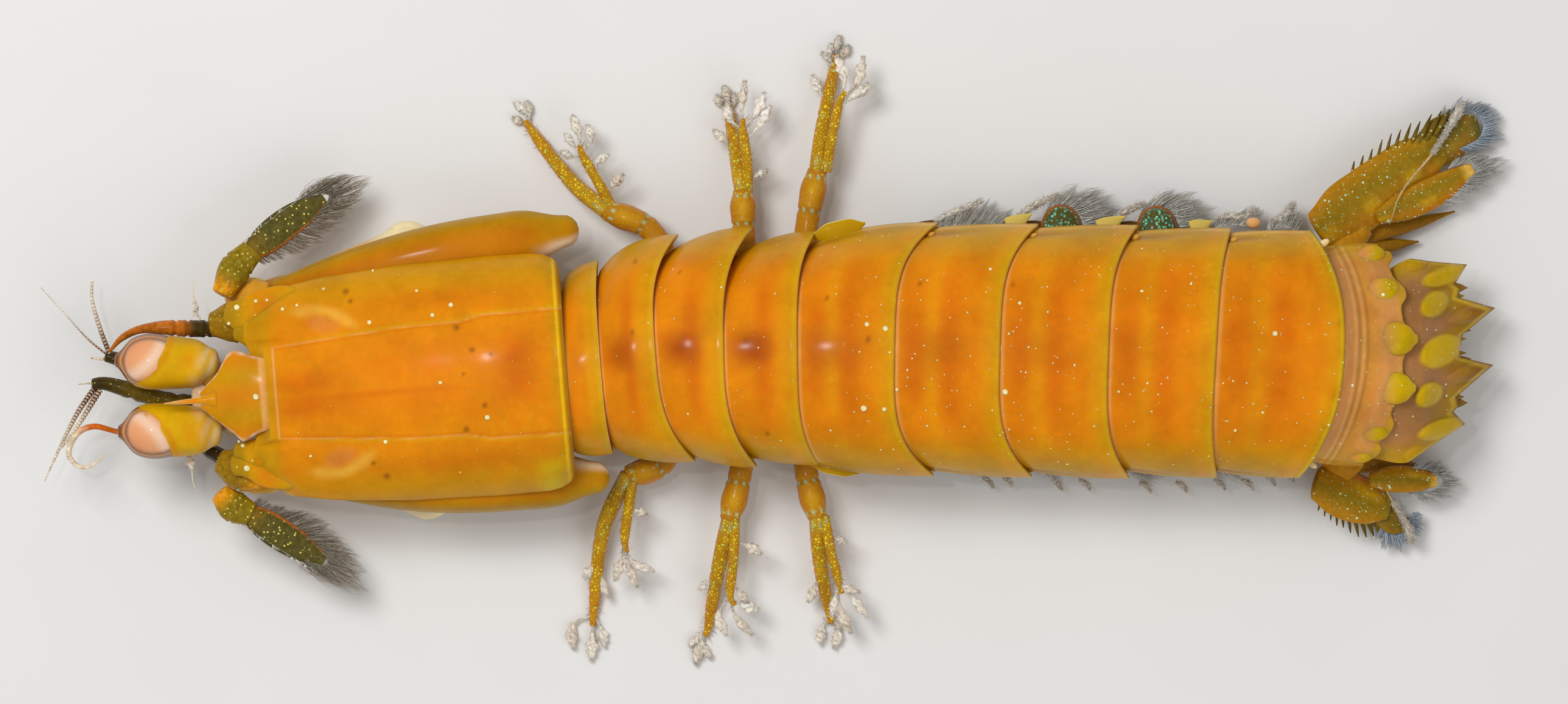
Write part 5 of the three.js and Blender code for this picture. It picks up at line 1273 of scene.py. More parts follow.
# Base, lash, half widths of the lash and the stretch over which it turns from dark to amber
ANTENNAE = {
    "r": ([(-25.9, 1.6, 5.0), (-27.2, 1.48, 4.9), (-28.2, 1.35, 4.7)],
          [(-27.8, 1.15, 4.3), (-29.4, 1.16, 4.2), (-30.9, 1.2, 4.3), (-31.9, 1.08, 4.4),
           (-32.7, 0.66, 4.6), (-33.25, 0.05, 4.7)],
          [0.4, 0.42, 0.4, 0.34, 0.22, 0.17, 0.08], (0.2, 0.34)),
    "l": ([(-25.7, -5.98, 5.0), (-26.8, -5.76, 4.95), (-27.8, -5.4, 4.8)],
          [(-27.55, -5.3, 4.5), (-28.8, -4.7, 3.75), (-30.6, -4.35, 3.6), (-32.9, -3.95, 3.9),
           (-34.1, -3.68, 4.2), (-34.8, -3.95, 4.3), (-35.2, -4.5, 4.3), (-35.3, -5.1, 4.3),
           (-34.9, -5.6, 4.2), (-34.4, -5.7, 4.2), (-33.9, -5.4, 4.1), (-33.5, -5.05, 4.0)],
          [0.42, 0.34, 0.22, 0.16, 0.13, 0.15, 0.15, 0.1, 0.04], (0.28, 0.4)),
}
# Thin bristles beside the eyes, each on a small pale tuft
BRISTLES = {
    "r": [(-29.15, 1.75, 4.6), (-29.05, 2.4, 4.7), (-29.15, 3.0, 4.7), (-29.1, 3.5, 4.6)],
    "l": [(-29.0, -5.05, 4.4), (-29.2, -5.8, 4.4), (-29.15, -6.5, 4.3), (-28.9, -6.95, 4.2)],
}
LASH_RING = 0.17
ANTENNA_RINGS = 70
LASH_AMBER = srgb(186, 104, 20)
LASH_ORANGE = srgb(210, 104, 20)


def beads(count, depth):
    """Rings along a feeler, each a little swollen."""
    return lambda t, angle: depth * np.cos(TURN * count * t)


def joints(places, depth=0.16, reach=0.035):
    """Narrow necks at the joints of a limb, with a swelling before and behind."""
    def swell(t, angle):
        total = 0
        for place in places:
            beyond = bump(np.abs(t - place), reach * 1.6, reach)
            total = total - depth * bump(t, place, reach) + 0.35 * depth * beyond
        return total
    return swell


def antennule_lash(path, widths):
    count = int(Path(path).length / LASH_RING)
    form = limb(path, widths, sides=12, steps=count * 6, ends=(0.3, 0.5), swell=beads(count, 0.16))
    rings = 0.5 + 0.5 * np.cos(TURN * count * form.along)
    tone = layers(mix(FEELER_DARK, FEELER_BROWN, 0.6), (FEELER_PALE, ease(form.along, 0.1, 0.7)),
                  (FLUFF_WHITE, 0.75 * rings ** 2 * bump(form.around, 0.25, 0.22)))
    return form.paint(tone * mix(0.7, 1.0, rings)[:, None])


def build_antennule(tag):
    stem, lashes, lash_widths = ANTENNULES[tag]
    stalk = limb(stem, [0.34, 0.42, 0.38, 0.42, 0.38, 0.3], sides=32, steps=70, swell=joints((0.34, 0.68)))
    stalk.paint(FEELER_DARK, (UROPOD_OLIVE, 0.5 * bump(stalk.along, 0.5, 0.5)), fleck=0.9)
    hairs = [antennule_lash(*row) for row in zip(lashes, lash_widths)]
    dress(f"antennule_{tag}", "form", join(stalk, *hairs), FEELER, "feeler")


def lash_swell(t, angle):
    ringed = beads(ANTENNA_RINGS, 0.07)(t, angle) * ease(t, 0.5, 0.6)
    return ringed + joints((0.12, 0.28, 0.38), 0.14, 0.02)(t, angle)


def build_antenna(tag):
    base, lash, widths, change = ANTENNAE[tag]
    root = limb(base, [0.8, 1.05, 0.95, 0.62], [0.5, 0.6, 0.55, 0.4], sides=40, steps=40,
                swell=joints((0.45,), 0.1))
    root.paint(LEG_OLIVE, (AMBER, ease(-root.along, -0.5, 0.0)), fleck=0.7)
    run = limb(lash, widths, sides=20, steps=ANTENNA_RINGS * 5, ends=(0.3, 0.6), swell=lash_swell)
    stretch = ease(run.along, *change)
    coats = [(LASH_AMBER, stretch)]
    if tag == "l":
        coats += [(LASH_ORANGE, ease(run.along, 0.4, 0.6)), (FEELER_PALE, ease(run.along, 0.62, 0.72))]
    run.paint(FEELER_DARK, *coats, fleck=mix(0.9, 0.35, stretch))
    dress(f"antenna_{tag}", "form", join(root, run), FEELER, "feeler")


def build_bristle(tag, sign):
    path = [vec(*p) for p in BRISTLES[tag]]
    hair = limb(path, [0.05, 0.045, 0.03, 0.012], sides=8, steps=30).paint(FEELER_PALE).unwrapped((0.5, 0.5))
    clump = tuft(path[0] + vec(0.3, -sign * 0.1, 0), path[1], 60, (0.6, 0.6))
    piece(f"antenna_{tag}_bristle", join(hair, *clump), FLUFF)


def build_feelers():
    for tag, sign in SIDES:
        build_antennule(tag)
        build_antenna(tag)
        build_bristle(tag, sign)


SCALES = {
    "r": {"base": [(-27.7, 2.9, 4.5), (-27.1, 4.1, 4.2), (-26.3, 5.0, 4.0)],
          "blade": [(-26.6, 4.7, 4.0), (-24.7, 6.3, 3.6), (-22.8, 7.6, 3.1)],
          "roots": [(-24.2, 7.3, 3.3), (-23.2, 7.85, 3.15), (-22.55, 7.75, 3.0), (-22.8, 7.2, 3.1),
                    (-24.0, 6.2, 3.4), (-25.5, 5.1, 3.7), (-26.1, 4.7, 3.8)],
          "tips": [(-22.9, 8.5, 2.9), (-21.6, 9.1, 2.6), (-20.2, 8.9, 2.4), (-20.7, 7.45, 2.5),
                   (-22.4, 5.6, 2.9), (-24.5, 4.6, 3.4), (-25.7, 4.2, 3.6)]},
    "l": {"base": [(-27.8, -7.0, 4.5), (-27.2, -7.6, 4.2), (-26.4, -8.0, 4.0)],
          "blade": [(-26.7, -7.8, 4.0), (-24.8, -9.1, 3.6), (-22.8, -10.35, 3.1)],
          "roots": [(-24.2, -10.05, 3.3), (-23.2, -10.5, 3.15), (-22.6, -10.45, 3.0), (-22.9, -9.9, 3.1),
                    (-24.2, -9.0, 3.4), (-25.8, -7.9, 3.7), (-26.2, -7.5, 3.8)],
          "tips": [(-22.8, -11.2, 2.9), (-21.5, -11.9, 2.6), (-20.4, -12.1, 2.4), (-20.8, -10.2, 2.5),
                   (-22.5, -8.2, 2.9), (-24.6, -7.6, 3.4), (-25.9, -7.1, 3.6)]},
}
COMB_HAIRS = 760
COMB_CLUMPS = 34
COMB_RADIUS = 0.018
SCALE_EDGE_HAIRS = 320
SCALE_EDGE_CLUMPS = 30
SCALE_EDGE_RADIUS = 0.024


def scale_form(scale, sign):
    """The base and the flat speckled blade of an antennal scale."""
    base = limb(scale["base"], [0.55, 0.8, 0.62], [0.38, 0.46, 0.32], sides=36, steps=32,
                swell=joints((0.62,), 0.1))
    base.paint(UROPOD_OLIVE, (AMBER, ease(-base.along, -0.4, 0)), fleck=1.0)
    blade = limb(scale["blade"], [0.42, 0.72, 0.78, 0.66, 0.3], [0.22, 0.24, 0.22, 0.18, 0.1], sides=48,
                 steps=90, power=1.9)
    outer = blade.beside(-sign)
    blade.paint(
        SCALE_OLIVE,
        (LEG_OLIVE, 0.7 * ease(-blade.along, -0.35, 0.0)),
        (SCALE_EDGE, ease(outer, 0.8, 0.95)),
        (mix(SCALE_OLIVE, FEELER_DARK, 0.5), 0.7 * ease(-outer, 0.6, 0.95)),
        fleck=np.where(np.abs(outer) < 0.88, 0.9, 0.0))
    return join(base, blade)


def scale_fringe(scale, sign):
    """The long comb round the blade's end and the short pale edge along its outer side."""
    comb = fringe(scale["roots"], scale["tips"], COMB_HAIRS, COMB_RADIUS, SETA_BROWN, (0.1, 0.2), rows=3,
                  clumps=COMB_CLUMPS)
    roots = [vec(*p) + vec(-0.28, sign * 0.55, 0.05) for p in scale["blade"]]
    tips = [p + vec(-0.02, sign * 0.3, 0) for p in roots]
    short = fringe(roots, tips, SCALE_EDGE_HAIRS, SCALE_EDGE_RADIUS, FLUFF_WHITE, (0.1, 0.4), rows=3,
                   uneven=0.8, clumps=SCALE_EDGE_CLUMPS)
    return join(comb, short)


def build_scales():
    for tag, sign in SIDES:
        scale = SCALES[tag]
        dress(f"antennal_scale_{tag}", "blade", scale_form(scale, sign), SCALE, "feeler")
        piece(f"antennal_scale_{tag}_fringe", scale_fringe(scale, sign), SETAE)


# Raptorial limbs, in the head's frame

# Path of the merus and how far across the striking finger's heel and the hand lie
RAPTORIAL = {
    "r": ([(0.35, 6.85, 4.1), (-6.8, 6.1, 4.1), (-13.9, 4.9, 3.9)], 7.19, 4.95),
    "l": ([(0.9, -5.4, 4.1), (-7.9, -5.0, 4.1), (-13.9, -4.0, 3.9)], -6.02, -3.7),
}
ARM_WIDTHS = [0.8, 1.35, 1.45, 1.48, 1.45, 1.35, 1.2, 1.0, 0.75]
ARM_HEIGHTS = [0.9, 1.5, 1.75, 1.85, 1.85, 1.8, 1.65, 1.35, 0.85]
SHOULDER_X = -1.7
WRIST_X = -14.5
WRIST_FRONT = -16.0
HEEL_X = -7.1


def merus_form(arm, sign):
    """The long upper segment, with the membrane that ties it to the body."""
    merus = limb(arm, ARM_WIDTHS, ARM_HEIGHTS, sides=96, steps=120, power=2.9, ends=(0.8, 0.3))
    outer = merus.beside(-sign)
    merus.paint(
        mix(AMBER, ORANGE, 0.5) * 0.74,
        (OLIVE_YELLOW * 0.85, 0.8 * ease(outer, 0.1, 0.9)),
        (OLIVE_YELLOW, 0.5 * ease(-merus.along, -0.2, 0.0)),
        (MEMBRANE, 0.9 * ease(-merus.along, -0.14, -0.04) * ease(-outer, 0.1, 0.7)),
        (BELLY_CREAM, 0.6 * ease(-merus.points[:, 2], -3.6, -2.8)),
        fleck=0.22)
    shoulder = limb([(SHOULDER_X, arm[0][1] - sign * 0.7, 4.2), (SHOULDER_X, sign * 3.0, 4.2)],
                    [0.9, 0.95, 0.8], sides=36, steps=20).paint(MEMBRANE)
    return join(merus, shoulder)


def carpus_form(wrist_y, sign):
    wrist = limb([(WRIST_X, wrist_y, 3.55), (WRIST_FRONT + 0.1, wrist_y, 3.2),
                  (WRIST_FRONT + 0.25, wrist_y, 2.2)],
                 [0.6, 0.85, 0.9, 0.85, 0.55], [0.6, 0.78, 0.8, 0.7, 0.5], sides=48, steps=40)
    wrist.paint(mix(AMBER, PALE_YELLOW, 0.35), fleck=0.3)
    knob = boss(vec(WRIST_FRONT + 0.75, wrist_y + sign * 0.55, 3.3), (0.62, 0.36, 0.5))
    return join(wrist, knob.paint(PALE_YELLOW, fleck=0.1))


def propodus_form(wrist_y, hand_y, sign):
    hand = limb([(-15.4, wrist_y, 1.42), (-12.5, hand_y + sign * 0.1, 1.0), (-8.3, hand_y, 1.15)],
                [0.6, 0.8, 0.85, 0.85, 0.8, 0.6], [0.65, 0.85, 1.0, 1.05, 1.0, 0.7], sides=48, steps=60,
                floor=0)
    return hand.paint(AMBER, (CREAM, 0.45 * ease(-hand.points[:, 2], -1.2, -0.2)), fleck=0.2)


def dactylus_form(heel_y, sign):
    """The striking finger, with a swollen heel and a brown tip."""
    finger = limb([(HEEL_X + 0.75, heel_y - sign * 0.25, 1.25), (HEEL_X, heel_y, 1.25),
                   (-9.5, heel_y - sign * 0.4, 1.15), (-13.6, heel_y - sign * 1.5, 0.95)],
                  [0.4, 0.86, 0.52, 0.36, 0.3, 0.22, 0.05], [0.45, 0.84, 0.6, 0.45, 0.38, 0.28, 0.08],
                  sides=48, steps=80)
    return finger.paint(mix(CREAM, MEMBRANE, 0.4), (AMBER, 0.75 * ease(finger.along, 0.3, 0.55)),
                        (TOOTH_BROWN, 0.5 * ease(finger.along, 0.85, 1.0)), fleck=0.1)


def build_raptorials():
    for tag, sign in SIDES:
        arm, heel_y, hand_y = RAPTORIAL[tag]
        wrist_y = arm[-1][1]
        for name, part, form in (("merus", "shell", merus_form(arm, sign)),
                                 ("carpus", "shell", carpus_form(wrist_y, sign)),
                                 ("propodus", "shell", propodus_form(wrist_y, hand_y, sign)),
                                 ("dactylus", "claw", dactylus_form(heel_y, sign))):
            dress(f"raptorial_{name}_{tag}", part, form.in_animal(), SHELL, "shell_yellow")


# Number, place along, across and height of each root
MAXILLIPEDS = ((3, -7.2, 0.62, 2.05), (4, -4.9, 1.58, 2.15), (5, -2.6, 2.5, 2.3))
HAND_WIDTHS = [0.3, 0.28, 0.26, 0.25, 0.34, 0.36, 0.3, 0.1]
HAND_HEIGHTS = [0.3, 0.28, 0.26, 0.3, 0.5, 0.5, 0.35, 0.1]
MAXILLIPED_LENGTH = 5


def maxilliped_form(root, y, height):
    form = limb([(root + 0.1, y, height + 0.35), (root - 1.4, y, 1.15), (root - 3.4, y, 0.75),
                 (root - MAXILLIPED_LENGTH, y, 0.5)],
                HAND_WIDTHS, HAND_HEIGHTS, sides=32, steps=70, swell=joints((0.22, 0.5), 0.14), floor=0.02)
    return form.paint(LEG_ORANGE, (CREAM, 0.6 * ease(form.along, 0.4, 0.8)), fleck=0.3)


def build_maxillipeds():
    for tag, sign in SIDES:
        for order, root, across, height in MAXILLIPEDS:
            form = maxilliped_form(root, sign * across, height)
            dress(f"maxilliped_{order}_{tag}", "form", form.in_animal(), LEG, "limb")


# Walking legs with their tufts

# Places seen from above, then for each tuft on a branch: its branch, share along, turn and length
LEG_KEYS = ("name", "root", "hip", "fork", "inner", "toe", "inner_tuft", "outer_start", "outer", "outer_end",
            "outer_tuft", "side_tufts")
LEGS = [dict(zip(LEG_KEYS, row)) for row in (
    ("walking_leg_1_r", (-5.6, 4.1), (-6.7, 6.1), (-8.8, 7.0), (-10.4, 8.3), (-12.75, 11.3), (-13.4, 12.4),
     (-8.5, 7.1), (-9.2, 8.4), (-10.05, 9.9), (-10.5, 11.7),
     [("outer", 0.25, -1.2, 1.3), ("outer", 0.6, -1.1, 1.2), ("outer", 0.95, 0.9, 1.1)]),
    ("walking_leg_2_r", (-1.9, 4.2), (-2.0, 6.2), (-2.05, 8.0), (-2.4, 10.1), (-2.75, 12.1), (-3.0, 13.2),
     (-1.8, 8.0), (-1.85, 9.6), (-2.05, 11.1), (-1.95, 13.4),
     [("inner", 0.5, 0.7, 1.4), ("outer", 0.8, -0.8, 2.1), ("outer", 0.2, -1.2, 1.0)]),
    ("walking_leg_3_r", (1.0, 4.2), (1.15, 6.3), (1.65, 9.0), (2.05, 11.8), (2.6, 14.6), (2.75, 15.7),
     (2.1, 9.0), (2.4, 10.8), (2.8, 12.5), (3.95, 14.6),
     [("inner", 0.6, 0.7, 1.5), ("outer", 0.85, -0.7, 2.0), ("inner", 0.9, 0.8, 1.0)]),
    ("walking_leg_1_l", (-5.3, -3.8), (-6.1, -5.6), (-7.75, -6.1), (-8.95, -8.7), (-9.5, -13.2),
     (-9.6, -15.3), (-7.5, -6.3), (-7.75, -8.0), (-7.9, -9.5), (-7.3, -11.6),
     [("inner", 0.6, -0.5, 1.2), ("inner", 0.65, 0.4, 1.6), ("outer", 0.4, 1.2, 1.0)]),
    ("walking_leg_2_l", (-2.0, -3.9), (-2.15, -5.9), (-2.7, -8.3), (-3.3, -11.0), (-3.8, -13.8),
     (-4.4, -15.5), (-2.45, -8.3), (-2.5, -10.2), (-2.65, -12.2), (-1.6, -14.0),
     [("inner", 0.5, -0.7, 1.1), ("outer", 0.3, 1.2, 1.4), ("outer", 0.8, 0.7, 1.2)]),
    ("walking_leg_3_l", (1.0, -3.9), (1.1, -5.9), (1.65, -8.2), (1.85, -10.8), (2.3, -13.2), (2.5, -14.7),
     (2.0, -8.2), (2.35, -10.0), (2.75, -11.5), (3.3, -13.9),
     [("inner", 0.55, -0.6, 1.5), ("outer", 0.3, 1.1, 0.9), ("outer", 0.85, 0.6, 1.4)]),
)]
ROOT_HEIGHT = 1.88
HIP_HEIGHT = 2.0
FORK_HEIGHT = 1.95
SHIN_HEIGHT = 1.25
OUTER_RISE = 2.25
OUTER_HEIGHT = 2.05
TOE_HEIGHT = 0.24
LEG_EDGE = srgb(222, 112, 4)
BRANCH_WIDTHS = {"inner": [0.42, 0.42, 0.38, 0.34, 0.3, 0.16], "outer": [0.28, 0.27, 0.25, 0.24, 0.12]}
BRANCH_JOINTS = {"inner": (0.45, 0.8), "outer": (0.5,)}
TUFT_TURN = 0.5
TIP_TUFT_HAIRS = 330
FLANK_TUFT_HAIRS = 240
SIDE_TUFT_HAIRS = 260
TUFT_HAIR_RADIUS = 0.014
BRISTLE_RADIUS = 0.012
LEG_BRISTLES = 60


def clot(points, widths, hairs, patch, reach=0.2):
    """A cottony lump along a line: an uneven core covered in short pale hairs."""
    waves = DRAW.uniform(0, 6, 4)

    def lumps(t, a):
        return (0.3 * np.sin(t * 19 + a * 2 + waves[0]) * np.sin(t * 11 - a + waves[1])
                + 0.2 * np.sin(a * 3 + t * 29 + waves[2]))

    core = limb(points, [0.74 * width for width in widths], sides=18, steps=34, floor=0.02, swell=lumps)
    shade = FLUFF_WHITE * mix(vec(1.0, 0.99, 0.98), vec(0.86, 0.8, 0.74), DRAW.uniform(0, 1))
    core.paint(shade).unwrapped(patch)
    hairs = int(1.4 * hairs)
    pick = DRAW.integers(1, len(core.points) - 1, hairs)
    start = core.points[pick]
    line = Path(points)
    away = unit(start - line.at(core.along[pick]) + 1e-6)
    heading = unit(0.3 * away + line.along(core.along[pick]) * DRAW.uniform(0.3, 1.0, (hairs, 1))
                   + DRAW.normal(0, 0.3, (hairs, 3)))
    end = start + heading * DRAW.uniform(0.3, 1.0, (hairs, 1)) * reach
    end[:, 2] = np.maximum(end[:, 2], 0.01)
    places = np.stack([patch[0] + core.along[pick] * 0.05, patch[1] + core.around[pick] * 0.05], -1)
    tone = shade * DRAW.uniform(0.85, 1.08, (hairs, 1))
    return [core, setae(start, end, TUFT_HAIR_RADIUS, tone, places, bend=0.2)]


def tuft(root, tip, hairs, patch):
    """A stalked clump of pale setae: a thin stem that swells into an uneven club."""
    reach = tip - root
    size = np.linalg.norm(reach)
    aside = vec(-reach[1], reach[0], 0) * DRAW.normal(0, 0.14)
    club = min(0.26, 0.1 + 0.11 * size) * DRAW.uniform(0.8, 1.15)
    neck = DRAW.uniform(0.3, 0.6)
    widths = [0.07, 0.05, 0.05, club * neck * 0.6, club * 0.8, club * 1.2, club * 0.95, 0.1]
    return clot([root - reach * 0.1, root + reach * 0.5 + aside, tip], widths, hairs, patch)


def bristles(path, count, radius, reach, tone, patch):
    """Short setae that stand off along both sides of a branch."""
    t = DRAW.uniform(0.1, 0.98, count)
    start, forward = path.at(t), path.along(t)
    turn = DRAW.choice([-1, 1], count) * DRAW.uniform(0.5, 1.2, count)
    heading = turned(forward, np.cos(turn), np.sin(turn))
    heading[:, 2] += DRAW.normal(0, 0.3, count)
    start = start + unit(heading) * radius * 0.8
    end = start + unit(heading) * DRAW.uniform(0.3, 1, (count, 1)) * reach
    end[:, 2] = np.maximum(end[:, 2], 0.02)
    places = np.stack([patch[0] + t * 0.1, np.full(count, patch[1])], -1)
    return setae(start, end, BRISTLE_RADIUS, tone * DRAW.uniform(0.7, 1.2, (count, 1)), places)


def aside_from(v, angle):
    return turned(v, math.cos(angle), math.sin(angle))


def leg_base(at):
    """The three thick segments between the body and the fork, with teal dashes at the joints."""
    inward = unit(at("root", 0) - at("hip", 0)) * 0.6
    base = limb([at("root", ROOT_HEIGHT + 0.2) + inward, at("root", ROOT_HEIGHT + 0.1), at("hip", HIP_HEIGHT),
                 at("fork", FORK_HEIGHT)],
                [0.7, 0.74, 0.64, 0.58, 0.6, 0.66, 0.48], [0.6, 0.64, 0.6, 0.55, 0.56, 0.6, 0.42], sides=40,
                steps=70, swell=joints((0.3, 0.62), 0.08, 0.03))
    t = base.along
    dashes = ease(np.sin(50 * base.around), 0.1, 0.6)
    return base.paint(
        mix(LEG_ORANGE, LEG_OLIVE, 0.3),
        (DEEP_ORANGE, 0.45 * ease(np.abs(base.beside()), 0.75, 1.0)),
        (LEG_GOLD, 0.5 * bump(base.around, 0.25, 0.12) * bump(t, 0.8, 0.2)),
        (LEG_OLIVE, 0.5 * bump(t, 0.62, 0.05)),
        (TEAL_WHITE, 0.8 * dashes * (bump(t, 0.63, 0.025) + bump(t, 0.94, 0.035))),
        fleck=0.15 + 0.5 * ease(t, 0.85, 1.0))


def leg_branch(key, path):
    branch = limb(path, BRANCH_WIDTHS[key], sides=32, steps=90, floor=0.0,
                  swell=joints(BRANCH_JOINTS[key], 0.1, 0.02))
    t = branch.along
    edge = np.abs(branch.beside())
    return branch.paint(
        mix(LEG_GOLD, LEG_OLIVE, 0.35),
        (TEAL_WHITE, 0.6 * bump(t, 0.06, 0.08) * ease(np.sin(40 * branch.around), 0, 0.6)),
        (LEG_ORANGE, 0.6 * ease(t, 0.35, 0.95) * (1 if key == "inner" else 0.4)),
        (LEG_EDGE, 0.7 * ease(edge, 0.75, 0.98)),
        fleck=1.0 - 0.6 * ease(edge, 0.85, 1.0))


def leg_hairs(key, path, end, tip, across):
    """Three tufts at a branch's end and bristles along its sides."""
    patch = (across, 0.1)
    hairs = tuft(end, tip, TIP_TUFT_HAIRS, patch)
    for side in (-1, 1):
        heading = aside_from(tip - end, side * TUFT_TURN * DRAW.uniform(0.8, 1.3))
        hairs += tuft(end, end + heading * DRAW.uniform(0.6, 0.95), FLANK_TUFT_HAIRS, patch)
    hairs.append(bristles(Path(path), LEG_BRISTLES, BRANCH_WIDTHS[key][1], 0.35, LEG_OLIVE, (across, 0.6)))
    return hairs


def side_tuft(line, share, turn, reach, patch):
    root = line.at(np.array([share]))[0]
    aside = line.along(np.array([share]))[0] * vec(1, 1, 0)
    return tuft(root, root + aside_from(unit(aside), turn) * reach, SIDE_TUFT_HAIRS, patch)


def build_leg(leg):
    def at(key, z):
        return vec(*leg[key], z)

    branches = {
        "inner": [at("fork", FORK_HEIGHT), at("inner", SHIN_HEIGHT), at("toe", TOE_HEIGHT)],
        "outer": [at("outer_start", FORK_HEIGHT), at("outer", OUTER_RISE), at("outer_end", OUTER_HEIGHT)],
    }
    tips = {
        "inner": at("inner_tuft", TOE_HEIGHT + 0.05),
        "outer": at("outer_tuft", OUTER_HEIGHT - 0.3),
    }
    skin = [leg_base(at)]
    hairs = []
    for order, key in enumerate(branches):
        end, tip = branches[key][-1], tips[key]
        path = [*branches[key], mix(end, tip, 0.2)]
        skin.append(leg_branch(key, path))
        hairs += leg_hairs(key, path, end, tip, 0.1 + 0.3 * order)
    for order, (key, *row) in enumerate(leg["side_tufts"]):
        hairs += side_tuft(Path(branches[key]), *row, (0.7, 0.1 + 0.1 * order))
    dress(leg["name"], "skin", join(*skin), LEG, "limb")
    piece(f"{leg['name']}_tufts", join(*hairs), FLUFF)


def build_legs():
    for leg in LEGS:
        build_leg(leg)


# Swimming legs

# Number, place of the root, share of the full reach, right and left flap end, tips of the left tufts
SWIMMERETS = (
    (1, 4.0, 1, (9.0, 6.2), (8.9, -5.5), ((10.4, -6.7), (11.3, -6.6))),
    (2, 9.1, 1, (13.6, 6.2), (13.4, -5.6), ((13.8, -6.8), (15.2, -6.8))),
    (3, 14.1, 1, (18.3, 6.2), (17.9, -5.7), ((18.2, -6.9), (20.0, -6.9))),
    (4, 18.8, 0.8, (22.0, 6.0), (21.6, -5.6), ((21.9, -6.8), (23.3, -6.8))),
    (5, 23.2, 0.45, (24.9, 5.9), (24.9, -5.5), ((24.4, -6.6), (25.3, -6.4))),
)
# What shows of them at the right side: roots and tips of the fan, a pale crest, a spike and a domed patch
RIGHT_FANS = {
    1: {"roots": [(7.4, 6.2), (9.0, 6.3), (10.5, 6.2)],
        "tips": [(7.6, 6.75), (8.8, 7.3), (9.96, 7.87), (10.84, 8.05), (11.3, 7.4), (11.8, 7.1)],
        "crest": [(7.5, 6.5), (8.7, 7.05), (9.7, 7.45)]},
    2: {"roots": [(12.9, 6.5), (13.4, 7.05), (14.3, 7.1), (14.7, 6.6), (14.9, 6.2)],
        "tips": [(13.5, 7.95), (14.57, 8.56), (15.3, 8.65), (16.1, 8.37), (16.9, 7.85), (17.2, 7.4),
                 (16.6, 6.7)],
        "crest": [(11.6, 6.7), (12.3, 7.2), (13.1, 7.6), (13.5, 7.75)],
        "spike": [(11.2, 6.2), (12.3, 6.86)], "dome": (13.75, 6.15)},
    3: {"roots": [(17.6, 6.5), (18.1, 7.0), (18.9, 7.05), (19.4, 6.6), (19.7, 6.2)],
        "tips": [(18.3, 7.7), (18.9, 8.0), (19.74, 8.3), (20.75, 8.15), (21.2, 7.6), (22.0, 6.95),
                 (21.3, 6.6)],
        "crest": [(16.5, 6.6), (17.0, 7.0), (17.8, 7.3)],
        "spike": [(15.7, 6.1), (16.95, 6.75)], "dome": (18.5, 6.1)},
    4: {"roots": [(21.2, 6.1), (22.2, 6.3), (23.2, 6.2)],
        "tips": [(21.6, 6.9), (22.4, 7.0), (22.9, 7.1), (23.5, 7.5), (24.0, 7.1), (24.2, 6.8)],
        "crest": [(21.4, 6.55), (22.1, 6.75), (22.8, 6.7), (23.4, 7.0)],
        "spike": [(20.3, 6.05), (21.25, 6.5)]},
    5: {"roots": [(24.0, 6.0), (24.8, 6.2), (25.4, 6.0)],
        "tips": [(24.3, 6.8), (24.9, 7.1), (25.3, 7.6), (25.7, 7.3), (26.0, 6.8)],
        "crest": [(24.2, 6.5), (24.9, 6.8), (25.25, 7.3)]},
}
PEACH_BALL_LEG = 4
PEACH_BALL = (23.3, 6.4, 2.0)
GILLS = 5
GILL_STEP = 0.35
PLEOPOD_HAIR_RADIUS = 0.02
INNER_HAIRS = 130
RIGHT_FAN_HAIRS = 900
LEFT_FAN_HAIRS = 420
CREST_HAIRS = 500
LEFT_CLOT_HAIRS = 200


def spike_form(places):
    start, end = (vec(*p, 2.3) for p in places)
    form = limb([start, mix(start, end, 0.6), end], [0.5, 0.42, 0.24, 0.04], [0.2, 0.16, 0.04], sides=24,
                steps=24)
    return form.paint(mix(RIM_YELLOW, CREAM, 0.25))


def dome_forms(x, y):
    """A dark dotted patch with a brown outline."""
    outline = boss(vec(x, y, 1.95), (1.02, 1.18, 0.42), sides=40, rings=30).paint(FEELER_BROWN)
    dome = boss(vec(x, y, 2.1), (0.9, 1.06, 0.45), sides=48, rings=36).paint(SCALE_OLIVE, fleck=1.0)
    return [outline, dome]


def right_fan(order):
    """The streaked fan of setae that shows beside a plate, with its crest and its domed patch."""
    fan = RIGHT_FANS[order]
    comb = fringe([vec(*p, 1.7) for p in fan["roots"]], [vec(*p, 1.1) for p in fan["tips"]], RIGHT_FAN_HAIRS,
                  PLEOPOD_HAIR_RADIUS, mix(SETA_GREY, FLUFF_WHITE, 0.3), (0.1, 0.2), rows=4, thick=0.1,
                  uneven=0.3, clumps=24, pale_tips=0.6)
    crest = clot([vec(*p, 1.75) for p in fan["crest"]], [0.06, 0.15, 0.18, 0.14, 0.06], CREST_HAIRS,
                 (0.5, 0.5), 0.35)
    skin = []
    if "spike" in fan:
        skin.append(spike_form(fan["spike"]))
    if "dome" in fan:
        skin += dome_forms(*fan["dome"])
    if order == PEACH_BALL_LEG:
        skin.append(boss(vec(*PEACH_BALL), (0.36, 0.28, 0.26)).paint(PALE_LINE))
    return skin, [comb, *crest]


